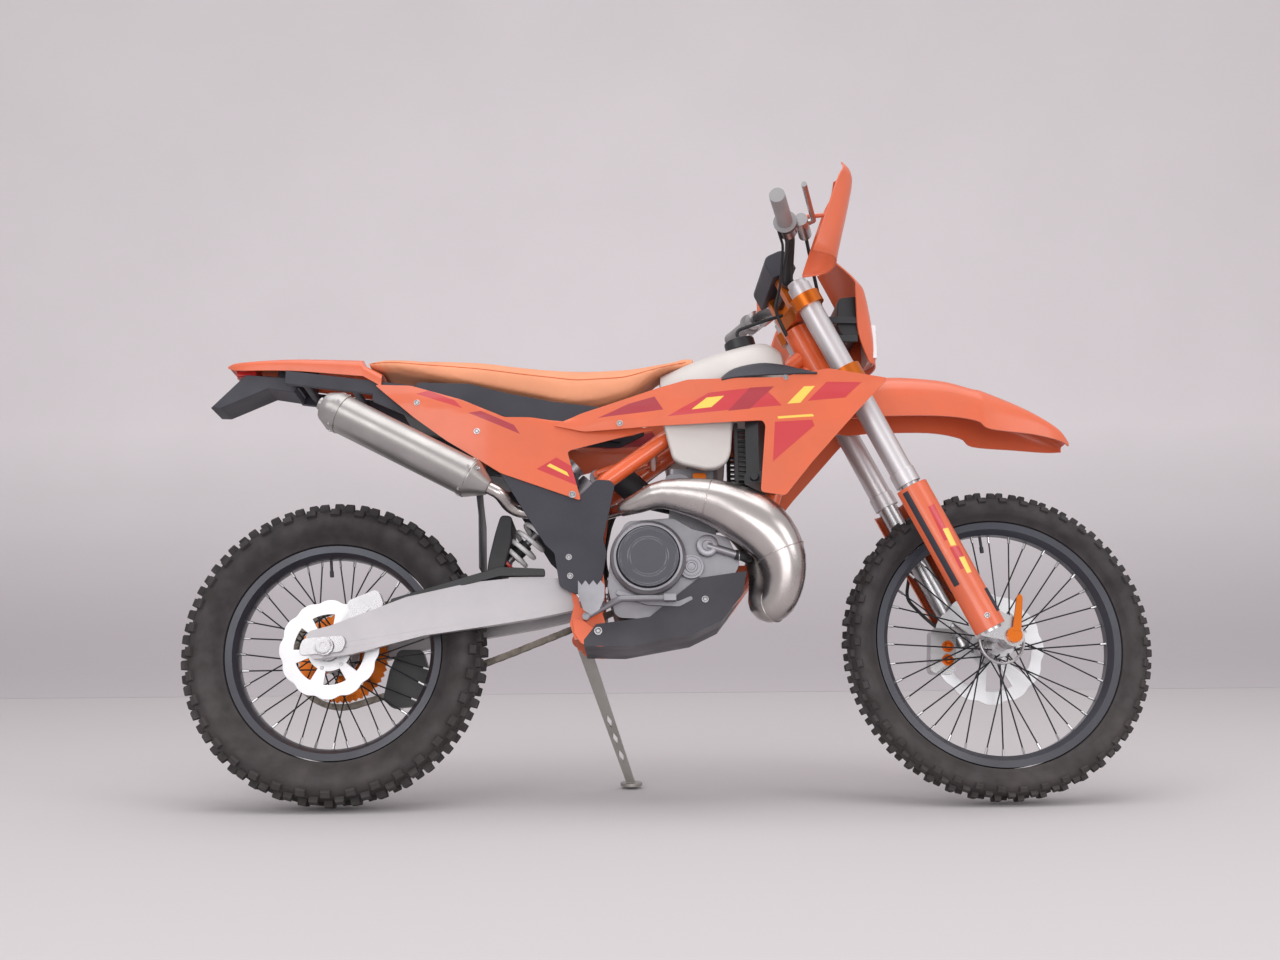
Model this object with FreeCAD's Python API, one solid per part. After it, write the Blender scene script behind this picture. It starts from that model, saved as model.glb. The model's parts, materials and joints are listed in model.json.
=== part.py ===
import FreeCAD, Part
import math
import os

# Enduro motorcycle. Every piece is drawn on the upright bike: X forward from the rear axle's
# line, Y to the left, Z up from the ground under upright wheels. The whole bike is then leaned
# onto its side stand and moved so that the middle of its footprint is the origin.

# Overall layout
WHEELBASE = 1488.0
REAR_AXLE_HEIGHT = 342.0
FRONT_AXLE_HEIGHT = 351.0
RAKE_DEG = 26.1
CLAMP_OFFSET = 22.0
AXLE_LEAD = 35.0
LEAN_DEG = 11.04
STEER_DEG = 3.3
PIVOT_X = 560.0
PIVOT_HEIGHT = 458.0
OVERRUN = 400.0
SEAT_GAP = 0.3
CORNER_SHARE = 0.45
SAME_WAY = 0.01

# Wheels: radius, half width and facets of the knobbly tyres
REAR_RADIUS = 342.0
REAR_TYRE_HALF = 64.0
REAR_PITCHES = 30
FRONT_RADIUS = 351.0
FRONT_TYRE_HALF = 46.0
FRONT_PITCHES = 34
KNOB_HEIGHT_REAR = 15.0
KNOB_HEIGHT_FRONT = 12.0
TYRE_SECTION_SHARES = ((1.0, 0.0), (0.98, 0.60), (0.58, 0.88), (0.34, 0.97))
SIDE_BLOCKS = (2, 6)
MIDDLE_BLOCKS = (4,)
OUTER_KNOB_SHARE = 0.86
BEAD_GAP = 0.45
REAR_RIM_RADIUS = 241.0
REAR_RIM_HALF = 31.0
FRONT_RIM_RADIUS = 278.0
FRONT_RIM_HALF = 25.0
RIM_FLANGE = 12.0
RIM_FLANGE_WALL = 5.0
RIM_WELL = 15.0
RIM_NIPPLE_HALF = 11.0
SPOKE_COUNT = 36
SPOKE_SIZE = 3.6
SPOKE_CROSS_DEG = 38.0
SPOKE_RIM_OFFSET = 6.0
SPOKE_TIP_GAP = 0.9
SPOKE_SEAT_GAP = 1.4
DISC_END_GAP = 0.3
FLANGE_WALL = 4.0
REAR_FLANGE_RADIUS = 46.0
REAR_FLANGE_Y = 36.0
FRONT_FLANGE_RADIUS = 34.0
FRONT_FLANGE_Y = 34.0
REAR_HUB_RADIUS = 27.0
FRONT_HUB_RADIUS = 20.0
AXLE_RADIUS = 12.5
AXLE_RUNNING_GAP = 0.05

# Brake discs and rear sprocket
REAR_DISC_RADIUS = 110.0
REAR_DISC_Y = -70.0
FRONT_DISC_RADIUS = 130.0
FRONT_DISC_Y = 62.0
DISC_WALL = 4.0
DISC_WAVES = 12
DISC_WAVE_DEPTH = 6.0
DISC_BAND = 24.0
DISC_ARM_WIDTH = 16.0
DISC_ARMS = 6
CHAIN_PITCH = 15.875
CHAIN_LINE_Y = 82.0
CHAIN_HEIGHT = 15.0
CHAIN_OUTER_HALF = 9.5
CHAIN_INNER_HALF = 6.5
CHAIN_CLEARANCE = 1.5
REAR_TEETH = 45
FRONT_TEETH = 13
SPROCKET_WALL = 6.0
SPROCKET_GAP = 1.2
SPROCKET_TOOTH = 6.0
SPROCKET_BAND = 26.0
COUNTERSHAFT_X = 628.0
COUNTERSHAFT_HEIGHT = 480.0
CHAIN_SAG_X = 328.0
CHAIN_SAG_HEIGHT = 325.0
CHAIN_SAG_RADIUS = 400.0

# Fork, clamps and head
FORK_HALF = 104.0
FORK_TUBE_RADIUS = 26.5
FORK_TUBE_LOW = 400.0
FORK_TUBE_TOP = 925.0
FORK_COLLAR_RADIUS = 29.0
FORK_COLLAR_LENGTH = 34.0
FORK_CAP_RADIUS = 22.0
FORK_CAP_HEIGHT = 12.0
STANCHION_RADIUS = 24.0
STANCHION_SEAL = 12.0
LUG_TOP = 96.0
LUG_LOW = 30.0
LUG_RADIUS = 29.0
LUG_EYE_RADIUS = 24.0
LUG_WIDTH = 40.0
LOWER_CLAMP_LOW = 660.0
LOWER_CLAMP_WALL = 42.0
UPPER_CLAMP_LOW = 868.0
UPPER_CLAMP_WALL = 30.0
CLAMP_BOSS_WALL = 9.0
CLAMP_WEB_DEPTH = 46.0
STEM_RADIUS = 15.0
STEM_GAP = 0.5
HEAD_RADIUS = 29.0
GUARD_SHELL_RADIUS = 39.0
GUARD_SHELL_WALL = 3.0
GUARD_SHELL_LOW = 36.0
GUARD_SHELL_TOP = 392.0
GUARD_SHELL_FROM_DEG = -165.0
GUARD_SHELL_TO_DEG = 25.0
FRONT_AXLE_HEAD = 17.0
AXLE_HEAD_WALL = 9.0

# Handlebar and what it carries
BAR_RADIUS = 14.0
BAR_TIP_RADIUS = 11.0
BAR_CLAMP_HEIGHT = 54.0
BAR_CLAMP_LEAD = 12.0
BAR_CLAMP_HALF = 62.0
BAR_KNEE_Y = 215.0
BAR_KNEE_RISE = 48.0
BAR_KNEE_BACK = 8.0
BAR_END_Y = 405.0
BAR_END_RISE = 78.0
BAR_END_BACK = 42.0
BAR_BEND = 60.0
GRIP_RADIUS = 17.0
GRIP_LENGTH = 120.0
GRIP_FLANGE_RADIUS = 26.0
GRIP_FLANGE_WALL = 5.0
GRIP_FIT = 0.3
PERCH_WIDTH = 26.0
PERCH_RADIUS = 21.0
PERCH_Y = 262.0
LEVER_LENGTH = 165.0
LEVER_RADIUS = 6.0
LEVER_REACH = 62.0
LEVER_DROP = 8.0
MASTER_LENGTH = 74.0
MASTER_RADIUS = 15.0
MASTER_LEAD_SHARE = 0.55
MASTER_IN_SHARE = 0.6
BRAKE_HOSE_RADIUS = 4.0
BRAKE_HOSE_BEND = 55.0
BRAKE_HOSE_RUN = 30.0
BRAKE_HOSE_PLACES = (
    (75.0, -90.0, 945.0), (78.0, 30.0, 838.0), (74.0, 152.0, 738.0), (30.0, 152.0, 620.0),
    (30.0, 152.0, 270.0), (-36.0, 132.0, 190.0), (-34.0, 84.0, 130.0), (-20.0, 74.0, 88.0),
)
THROTTLE_RADIUS = 3.0
THROTTLE_BEND = 45.0
THROTTLE_START_Y = 284.5
THROTTLE_STARTS = ((-14.6, -19.4), (-22.9, -9.6))
THROTTLE_RUN = 70.0
THROTTLE_PLACES = ((-26.0, -120.0, 934.0), (-38.0, -48.0, 912.0), (-36.0, -30.0, 850.0))
THROTTLE_PITCH = 8.0
BREATHER_RADIUS = 4.0
BREATHER_BEND = 24.0
BREATHER_RISE = 26.0
BREATHER_TOP = (-62.0, 0.0, 918.0)
BREATHER_END = (-8.0, 0.0, 909.0)
HAND_GUARD_WALL = 4.0
HAND_GUARD_STATIONS = (
    (1117.0, 1090.0, 60.0, 262.0, 400.0), (1146.0, 1096.0, 57.0, 244.0, 410.0),
    (1272.0, 1126.0, 42.0, 240.0, 414.0), (1309.0, 1127.0, 26.0, 256.0, 404.0),
    (1334.0, 1113.0, 10.0, 290.0, 380.0),
)
HAND_GUARD_PLAN_SHARES = ((-1.0, 0.0), (-0.25, 0.13), (0.0, 0.34), (0.0, 0.66), (-0.25, 0.87), (-1.0, 1.0))
GUARD_RING_Y = 236.0
GUARD_RING_WIDTH = 12.0
GUARD_RING_RADIUS = 17.0
GUARD_STAY_RADIUS = 5.0
GUARD_STAY_KNEE = (1008.0, 236.0, 1271.0)
GUARD_STAY_END = (1106.0, 258.0, 1272.0)
GUARD_STAY_BEND = 16.0
BAR_PAD_HALF = 96.0
BAR_PAD_DEPTH = 62.0
BAR_PAD_HEIGHT = 56.0
BAR_PAD_CORNER = 20.0

# Headlight mask and front fender, in the steering's own upright place
MASK_WALL = 3.5
MASK_CORNER_SHARE = 0.75
MASK_NOSE_SHARE = 0.3
MASK_DEPTH_SHARE = 0.3
LENS_DEPTH = 16.0
FENDER_WALL = 3.5

# Side stand
STAND_PIVOT_X = 546.0
STAND_PIVOT_Y = 123.0
STAND_PIVOT_HEIGHT = 388.0
STAND_FOOT_X = 661.0
STAND_FOOT_Y = 257.0
STAND_FOOT_HEIGHT = 56.0
STAND_WIDTH = 30.0
STAND_WALL = 9.0
STAND_HOLES = 3
STAND_TAPER_SHARE = 0.32
STAND_HOLE_FROM_SHARE = 0.56
STAND_HOLE_STEP_SHARE = 0.12
STAND_HOLE_LENGTH = 34.0
STAND_HOLE_WIDTH = 12.0
STAND_EYE_RADIUS = 18.0
STAND_EYE_WALL = 16.0
STAND_BOLT_RADIUS = 8.0
STAND_BOLT_HEAD = 6.0
STAND_BOLT_HEAD_RADIUS = 13.0
STAND_BOLT_GAP = 0.05
STAND_SIDE_GAP = 0.4
STAND_FOOT_RADIUS = 26.0
STAND_FOOT_WALL = 8.0
STAND_FOLD_BACK = 0.985
STAND_FOLD_OUT = 0.10
STAND_FOLD_UP = 0.14

# Engine
CASE_BACK = 612.0
CASE_LENGTH = 293.0
CASE_LOW = 398.0
CASE_HEIGHT = 227.0
CASE_SHARES = ((0.0, 0.317), (0.034, 0.714), (0.147, 0.969), (0.505, 1.0), (0.642, 0.89),
               (0.915, 0.802), (1.0, 0.537), (0.915, 0.317), (0.642, 0.119), (0.3, 0.0),
               (0.061, 0.018))
CASE_CORNER = 22.0
CASE_RIGHT_Y = -104.0
CASE_LEFT_Y = 72.0
CLUTCH_X = 702.0
CLUTCH_HEIGHT = 531.0
CLUTCH_RADIUS = 82.0
CLUTCH_FACE_RADIUS = 66.0
CLUTCH_Y = -138.0
COVER_STEP = 10.0
ROUND_COVER_X = 796.0
ROUND_COVER_HEIGHT = 513.0
ROUND_COVER_RADIUS = 27.0
ROUND_COVER_Y = -120.0
PUMP_X = 833.0
PUMP_HEIGHT = 559.0
PUMP_RADIUS = 24.0
PUMP_Y = -116.0
PUMP_SPOUT_RADIUS = 9.0
PUMP_SPOUT_END_X = 896.0
PUMP_SPOUT_DROP = 20.0
IGNITION_X = 800.0
IGNITION_HEIGHT = 505.0
IGNITION_RADIUS = 66.0
IGNITION_Y = 104.0
CYLINDER_X = 805.0
CYLINDER_LOW = 585.0
CYLINDER_TOP = 716.0
CYLINDER_HALF = 52.0
CYLINDER_HEAD_HEIGHT = 34.0
CYLINDER_HEAD_HALF = 58.0
CYLINDER_CORNER = 16.0
PLUG_RADIUS = 11.0
PLUG_HEIGHT = 30.0
EXHAUST_BOSS_RADIUS = 27.0
EXHAUST_BOSS_LENGTH = 12.0
EXHAUST_PORT_HEIGHT = 640.0
INTAKE_RADIUS = 27.0
INTAKE_BELL_RADIUS = 32.0
INTAKE_X = 690.0
INTAKE_RISE = 115.0
INTAKE_END_X = 640.0
INTAKE_END_RISE = 45.0

# Exhaust: stations of the expansion chamber as (x, y, z, radius), then the silencer
CHAMBER_STATIONS = (
    (866.0, -4.0, 640.0, 21.0), (905.0, -34.0, 604.0, 23.0), (938.0, -58.0, 556.0, 26.0),
    (954.0, -74.0, 505.0, 29.0), (956.0, -90.0, 460.0, 33.0), (957.0, -108.0, 431.0, 36.0),
    (972.0, -126.0, 423.0, 37.0), (988.0, -140.0, 440.0, 39.0), (998.0, -150.0, 482.0, 44.0),
    (990.0, -153.0, 536.0, 53.0), (953.0, -152.0, 590.0, 61.0), (895.0, -150.0, 628.0, 58.0),
    (831.0, -148.0, 654.0, 48.0), (737.0, -141.0, 670.0, 32.0), (680.0, -122.0, 655.0, 23.0),
    (645.0, -95.0, 648.0, 17.0),
)
CHAMBER_STEPS = 3
TAIL_PIPE_RADIUS = 14.0
TAIL_PIPE_BEND = 60.0
TAIL_PIPE_PLACES = (
    (603.0, -52.0, 645.0), (545.0, -63.0, 642.0), (455.0, -81.0, 642.0), (400.0, -90.0, 648.0),
)
TAIL_PIPE_RUN = 26.0
SILENCER_FRONT = (352.0, -131.0, 690.0)
SILENCER_BACK = (-16.0, -131.0, 882.0)
SILENCER_WIDE = 52.0
SILENCER_TALL = 44.0
SILENCER_NOSE = 44.0
SILENCER_NECK_RADIUS = 20.0
SILENCER_CAP = 26.0
SILENCER_END_SHARE = 0.72
SILENCER_OUTLET_RADIUS = 15.0
SILENCER_OUTLET = 14.0
SILENCER_SIDES = 16

# Main frame
TUBE_RADIUS = 15.0
BEAM_RADIUS = 19.0
DOWN_TUBE_RADIUS = 19.0
FRAME_BEND = 70.0
HEAD_TUBE_GAP = 4.0
HEAD_TUBE_LOW = LOWER_CLAMP_LOW + LOWER_CLAMP_WALL + HEAD_TUBE_GAP
HEAD_TUBE_TOP = UPPER_CLAMP_LOW - HEAD_TUBE_GAP
BACKBONE_SHARE = 0.595
DOWN_TUBE_SHARE = 0.449
BACKBONE_START = HEAD_TUBE_LOW + (HEAD_TUBE_TOP - HEAD_TUBE_LOW) * BACKBONE_SHARE
DOWN_TUBE_START = HEAD_TUBE_LOW + (HEAD_TUBE_TOP - HEAD_TUBE_LOW) * DOWN_TUBE_SHARE
SPLIT_X = 880.0
SPLIT_HEIGHT = 882.0
BEAM_Y = 92.0
BEAM_TOP_X = 748.0
BEAM_TOP_HEIGHT = 812.0
BEAM_LOW_X = 592.0
BEAM_LOW_HEIGHT = 700.0
FORK_X = 934.0
FORK_HEIGHT = 508.0
RAIL_Y = 84.0
RAIL_FRONT_X = 880.0
RAIL_FRONT_HEIGHT = 438.0
RAIL_KNEE_X = 835.0
RAIL_KNEE_HEIGHT = 400.0
HANGER_LENGTH = 50.0
HANGER_Z = 521.0
HANGER_WIDTH = 28.0
HANGER_HEIGHT = 24.0
BEAM_FOOT_HEIGHT = 560.0
RAIL_LOW_X = 600.0
RAIL_LOW_HEIGHT = 362.0
PLATE_Y = 100.0
PLATE_WALL = 12.0
PLATE_BACK = 530.0
PLATE_LENGTH = 84.0
PLATE_LOW = 356.0
PLATE_HEIGHT = 330.0
PLATE_SHARES = ((0.12, 0.0), (0.0, 0.10), (0.10, 0.22), (0.0, 0.36), (0.10, 0.56), (0.46, 1.0),
                (1.0, 1.0), (0.80, 0.60), (0.92, 0.34), (0.86, 0.16), (1.0, 0.04), (0.9, 0.0))
PIVOT_RADIUS = 11.0
PIVOT_HEAD_RADIUS = 16.0
PIVOT_HEAD = 5.0

# Subframe, swingarm, shock
SUBFRAME_WALL = 14.0
SUBFRAME_Y = 78.0
SUBFRAME_TOP_FRONT = (640.0, 868.0)
SUBFRAME_TOP_BACK = (-120.0, 966.0)
SUBFRAME_LOW_FRONT = (548.0, 716.0)
SUBFRAME_LOW_BACK = (80.0, 924.0)
SUBFRAME_BEAM = 30.0
SUBFRAME_CROSS_RADIUS = 9.0
SUBFRAME_CROSS_SHARES = (0.15, 0.45, 0.8, 0.95)
TAIL_POST_X = -82.0
TAIL_POST_LENGTH = 20.0
TAIL_POST_HALF = 40.0
SWINGARM_BACK = -47.0
SWINGARM_LENGTH = 639.0
SWINGARM_LOW = 315.0
SWINGARM_HEIGHT = 181.0
SWINGARM_SHARES = ((0.0, 0.171), (0.016, 0.337), (0.086, 0.403), (0.343, 0.757), (0.567, 0.939),
                   (0.729, 1.0), (0.887, 0.989), (0.975, 0.939), (0.99, 0.691), (0.909, 0.591),
                   (0.784, 0.497), (0.593, 0.387), (0.405, 0.287), (0.163, 0.061), (0.031, 0.0))
SWINGARM_CORNER = 12.0
SWINGARM_REAR_INNER = 95.0
SWINGARM_KNEE_X = 125.0
SWINGARM_REAR_OUTER = 118.0
SWINGARM_FRONT_INNER = 50.0
SWINGARM_FRONT_OUTER = 80.0
SWINGARM_BRIDGE_X = 390.0
SWINGARM_BRIDGE_HEIGHT = 452.0
SWINGARM_BRIDGE_LENGTH = 90.0
SWINGARM_BRIDGE_TALL = 60.0
ADJUSTER_WALL = 5.0
AXLE_NUT_RADIUS = 17.0
AXLE_NUT_WALL = 12.0
SHOCK_FOOT = (360.0, -6.0, 524.0)
SHOCK_TOP = (588.0, -6.0, 742.0)
SHOCK_BODY_RADIUS = 27.0
SHOCK_ROD_RADIUS = 9.0
SHOCK_EYE_RADIUS = 17.0
SHOCK_EYE_WIDTH = 26.0
SHOCK_BODY_SHARE = 0.50
SHOCK_BODY_END = 20.0
SHOCK_PIN_RADIUS = 8.0
SHOCK_CROSS_SHARE = 0.205
SHOCK_CROSS_RADIUS = 12.0
SHOCK_EAR_Y = 40.3
SHOCK_EAR_WALL = 8.0
CLEVIS_RISE = 12.0
SHOCK_CAN_RADIUS = 25.0
SHOCK_CAN_LENGTH = 92.0
SHOCK_CAN_X = 540.0
SHOCK_CAN_Y = -44.0
SHOCK_CAN_HEIGHT = 762.0
SPRING_RADIUS = 40.0
SPRING_WIRE = 11.0
SPRING_TURNS = 6
SPRING_FROM_SHARE = 0.10
SPRING_TO_SHARE = 0.66
SPRING_GAP = 0.4
WIRE_FACE_SHARES = (0.25, 0.75)

# Tank, radiators, bodywork
TANK_TOP_STATIONS = (
    (735.0, 26.0, 60.0, 880.0, 985.0), (800.0, 52.0, 96.0, 862.0, 1010.0),
    (890.0, 66.0, 108.0, 868.0, 1040.0), (975.0, 58.0, 104.0, 870.0, 1060.0),
    (1020.0, 34.0, 76.0, 900.0, 1040.0),
)
TANK_LOBE_BACK = 728.0
TANK_LOBE_LENGTH = 167.0
TANK_LOBE_LOW = 727.0
TANK_LOBE_HEIGHT = 150.0
TANK_LOBE_SHARES = ((0.0, 1.0), (1.0, 1.0), (0.958, 0.244), (0.754, 0.0), (0.281, 0.1), (0.12, 0.45))
TANK_LOBE_CORNER = 24.0
TANK_LOBE_INNER_Y = 116.0
TANK_LOBE_OUTER_Y = 140.0
TANK_SHELF_LOW = 846.0
TANK_SHELF_TOP = 872.0
TANK_SHELF_Y = 70.0
TANK_WAIST_SHARE = 0.55
TANK_FOOT_SHARE = 0.9
CAP_X = 929.0
CAP_RADIUS = 36.0
CAP_HEIGHT = 26.0
RADIATOR_X = 960.0
RADIATOR_Y = 112.0
RADIATOR_HEIGHT = 777.0
RADIATOR_DEPTH = 32.0
RADIATOR_WIDTH = 108.0
RADIATOR_TALL = 175.0
RADIATOR_TANK = 24.0
RADIATOR_TURN_DEG = 30.0
RADIATOR_BOSS_X = 935.0
RADIATOR_BOSS_RADIUS = 8.0
RADIATOR_BOSS_Y = 140.0
RADIATOR_STAY_X = 992.0
RADIATOR_STAY_Y = 70.0
RADIATOR_STAY_RADIUS = 5.0
SHROUD_BACK = 492.0
SHROUD_LENGTH = 747.0
SHROUD_LOW = 655.0
SHROUD_HEIGHT = 291.0
SHROUD_SHARES = ((0.0, 0.615), (0.086, 0.711), (0.321, 0.893), (0.404, 0.945), (0.675, 0.928),
                 (0.822, 1.0), (1.0, 0.928), (0.9, 0.653), (0.762, 0.258), (0.681, 0.0),
                 (0.61, 0.034), (0.629, 0.55), (0.621, 0.588), (0.32, 0.584), (0.095, 0.56))
SHROUD_PLAN_SHARES = ((0.0, 0.0), (0.32, 0.42), (0.62, 0.96), (0.80, 1.0), (1.0, 0.86))
SHROUD_REAR_Y = 125.0
SHROUD_BULGE = 58.0
SHROUD_WALL = 4.0
PANEL_BACK = 85.0
PANEL_LENGTH = 638.0
PANEL_LOW = 662.0
PANEL_HEIGHT = 281.0
PANEL_SHARES = ((0.0, 1.0), (0.129, 0.982), (0.315, 0.847), (0.467, 0.69), (0.563, 0.687),
                (0.629, 0.662), (1.0, 0.591), (0.688, 0.406), (0.737, 0.0), (0.458, 0.228),
                (0.263, 0.509), (0.143, 0.715))
PANEL_PLAN_SHARES = ((0.0, 0.0), (0.25, 0.6), (0.42, 0.98), (0.75, 1.0), (1.0, 0.86))
PANEL_REAR_Y = 97.0
PANEL_BULGE = 23.5
PANEL_WALL = 4.0
SEAT_STATIONS = (
    (60.0, 70.0, 1000.0, 1017.0), (150.0, 92.0, 980.0, 1014.0), (328.0, 96.0, 940.0, 1008.0),
    (435.0, 92.0, 917.0, 996.0), (545.0, 84.0, 896.0, 990.0), (651.0, 74.0, 922.0, 995.0),
    (736.0, 62.0, 990.0, 1006.0),
)
SEAT_NOSE = (812.0, 40.0, 1014.3, 1025.0)
SEAT_SHOULDER_SHARE = 0.6
SEAT_CROWN_SHARE = 0.6
SEAT_SIDE_SHARE = 0.98
FENDER_TAIL_STATIONS = (
    (-266.0, 40.0, 1004.0, 1012.0), (-235.0, 56.0, 992.0, 1020.0), (-111.0, 76.0, 984.0, 1021.0),
    (52.0, 92.0, 965.0, 1014.0), (59.0, 92.0, 964.0, 999.7), (100.0, 92.0, 940.0, 978.0),
)
REAR_FENDER_WALL = 4.0
CHANNEL_SHOULDER_SHARE = 0.28
CHANNEL_CROWN_SHARE = 0.62
CHANNEL_INNER_SHARE = 0.4
AIR_BOX_BACK = 150.0
AIR_BOX_LENGTH = 330.0
AIR_BOX_LOW = 725.0
AIR_BOX_HEIGHT = 190.0
AIR_BOX_SHARES = ((0.0, 0.80), (0.0, 1.0), (1.0, 0.76), (1.0, 0.33), (0.85, 0.0), (0.57, 0.05), (0.57, 0.54))
PLATE_HOLDER_BACK = -299.0
PLATE_HOLDER_LENGTH = 203.0
PLATE_HOLDER_LOW = 905.0
PLATE_HOLDER_HEIGHT = 84.0
PLATE_HOLDER_SHARES = ((0.0, 0.011), (0.117, 0.0), (0.64, 0.554), (0.937, 0.435), (1.0, 0.837),
                       (0.377, 0.95))
PLATE_HOLDER_HALF = 45.0
LAMP_LENGTH = 46.0
LAMP_LOW = 986.0
LAMP_TOP = 1012.0
LAMP_HALF = 30.0
LAMP_X = -226.0
PLATE_POST_X = -125.0
PLATE_POST_LENGTH = 50.0
PLATE_POST_HALF = 36.0
PLATE_POST_LOW = 955.0
FLAP_SHARES = ((0.0, 1.0), (0.4, 0.62), (0.83, 0.41), (1.0, 0.0))
FLAP_BACK = 312.0
FLAP_LENGTH = 18.0
FLAP_LOW = 521.0
FLAP_HEIGHT = 300.0
FLAP_WALL = 4.0
SKID_BACK = 561.0
SKID_LENGTH = 358.0
SKID_LOW = 338.0
SKID_HEIGHT = 164.0
SKID_SHARES = ((0.0, 0.012), (0.0, 0.091), (0.075, 0.299), (0.399, 0.39), (0.701, 0.909), (1.0, 1.0),
               (0.972, 0.707), (0.844, 0.348), (0.665, 0.159), (0.251, 0.0))
SKID_HALF = 114.5
SKID_WALL = 7.0
GUARD_BACK = 362.0
GUARD_LENGTH = 270.0
GUARD_LOW = 452.0
GUARD_HEIGHT = 295.0
GUARD_SHARES = ((0.0, 1.0), (0.196, 0.959), (0.678, 0.722), (0.841, 0.881), (1.0, 0.868),
                (0.896, 0.417), (0.926, 0.315), (0.874, 0.061), (0.681, 0.0), (0.541, 0.061),
                (0.496, 0.315), (0.419, 0.383))
GUARD_CORNER = 16.0
GUARD_WALL = 4.0
PEG_X = 580.0
PEG_HEIGHT = 436.0
PEG_INNER_Y = 128.0
PEG_OUTER_Y = 214.0
PEG_LENGTH = 52.0
PEG_TALL = 30.0
PEG_PIN_RADIUS = 8.0
PEG_END_LENGTH = 56.0
PEG_END_LOW = 392.0
PEG_END_HEIGHT = 74.0
PEG_END_WALL = 5.0
PEG_END_SHARES = ((0.0, 0.62), (0.0, 1.0), (0.14, 0.86), (0.28, 1.0), (0.42, 0.86), (0.58, 1.0), (0.72, 0.86),
                  (0.86, 1.0), (1.0, 0.86), (1.0, 0.5), (0.8, 0.14), (0.5, 0.0), (0.2, 0.14))
PEDAL_RADIUS = 7.0
PEDAL_PIVOT = (566.0, -126.0, 402.0)
PEDAL_KNEE = (642.0, -150.0, 437.0)
PEDAL_TIP = (748.0, -152.0, 437.0)
PEDAL_PAD = 26.0
SHIFT_PIVOT = (650.0, 118.0, 425.0)
SHIFT_KNEE = (700.0, 128.0, 432.0)
SHIFT_TIP = (760.0, 138.0, 446.0)
SHIFT_PAD_LENGTH = 34.0
CONTROL_BEND = 30.0
GUIDE_BACK = 96.0
GUIDE_LENGTH = 110.0
GUIDE_LOW = 232.0
GUIDE_HEIGHT = 126.0
GUIDE_SHARES = ((0.0, 0.10), (0.12, 0.62), (0.30, 1.0), (0.80, 1.0), (1.0, 0.46), (0.92, 0.0),
                (0.2, -0.06))
GUIDE_HALF = 14.0
GUIDE_CORNER = 14.0
CALIPER_WIDTH = 36.0
CALIPER_SLOT = 14.0
CALIPER_CORNER = 12.0
CALIPER_CLEARANCE = 5.0
REAR_CALIPER_LENGTH = 74.0
REAR_CALIPER_HEIGHT = 43.0
REAR_CALIPER_X = 79.0
REAR_CALIPER_RISE = 98.0
REAR_CALIPER_TILT_DEG = 21.9
REAR_STAY_FROM_Y = -94.7
REAR_STAY_TO_Y = -87.0
REAR_STAY_HALF = 15.0
REAR_STAY_RADIUS = 26.0
FRONT_CALIPER_LENGTH = 104.0
FRONT_CALIPER_HEIGHT = 58.0
FRONT_CALIPER_BACK = 110.0
FRONT_CALIPER_DROP = 8.0
FRONT_CALIPER_TILT_DEG = 94.0
FRONT_STAY_LENGTH = 60.0
FRONT_STAY_TALL = 24.0
FRONT_STAY_WIDTH = 11.0
COUNTER_SHAFT_RADIUS = 14.0
COUNTER_SHAFT_END = 88.0

# Places on the steering, ahead of and along its axis
FRONT_FENDER_STATIONS = (
    (1128.0, 60.0, 868.0, 909.4), (1186.0, 66.0, 862.0, 937.8), (1246.0, 68.0, 868.0, 972.0),
    (1378.0, 66.0, 870.0, 966.0), (1456.0, 70.0, 858.0, 946.0), (1486.0, 72.0, 838.0, 938.0),
    (1585.0, 66.0, 828.0, 896.0), (1654.0, 50.0, 818.0, 856.0), (1684.0, 26.0, 812.0, 826.0),
)
MASK_STATIONS = (
    (1003.0, 1219.0, 1242.0, 54.0), (1064.0, 1190.0, 1240.0, 84.0), (1157.0, 1184.0, 1224.0, 104.0),
    (1192.0, 1180.0, 1206.0, 100.0), (1268.0, 1128.0, 1146.0, 60.0),
)
LENS_LOW = 1016.0
LENS_TOP = 1098.0
LENS_X = 1238.0
LENS_HALF = 48.0
LENS_BULGE = 13.0
MASK_TAB_HEIGHTS = (1040.0, 1085.0)
MASK_TAB_TALL = 16.0
MASK_TAB_BACK = 1090.0
MASK_TAB_FRONT = 1200.0
MASK_TAB_Y = 86.0

X_WAY = FreeCAD.Vector(1, 0, 0)
Y_WAY = FreeCAD.Vector(0, 1, 0)
Z_WAY = FreeCAD.Vector(0, 0, 1)
ORIGIN = FreeCAD.Vector(0, 0, 0)


def point(x, y, z):
    return FreeCAD.Vector(x, y, z)


def placed(shape, where, turn=None):
    """A copy of the shape, turned about the origin and then moved."""
    copy = shape.copy()
    copy.Placement = FreeCAD.Placement(where, turn or FreeCAD.Rotation()).multiply(copy.Placement)
    return copy


def mirrored(shape):
    return shape.mirror(ORIGIN, Y_WAY)


def face_of(corners):
    return Part.Face(Part.makePolygon(corners + [corners[0]]))


def slab(outline, y_from, y_to, radius=0):
    """A flat piece with a side outline of (x, z) points, from one Y to another."""
    corners = [point(x, y_from, z) for x, z in outline]
    wire = rounded_wire(corners, radius) if radius else Part.makePolygon(corners + [corners[0]])
    return Part.Face(wire).extrude(point(0, y_to - y_from, 0))


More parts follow.
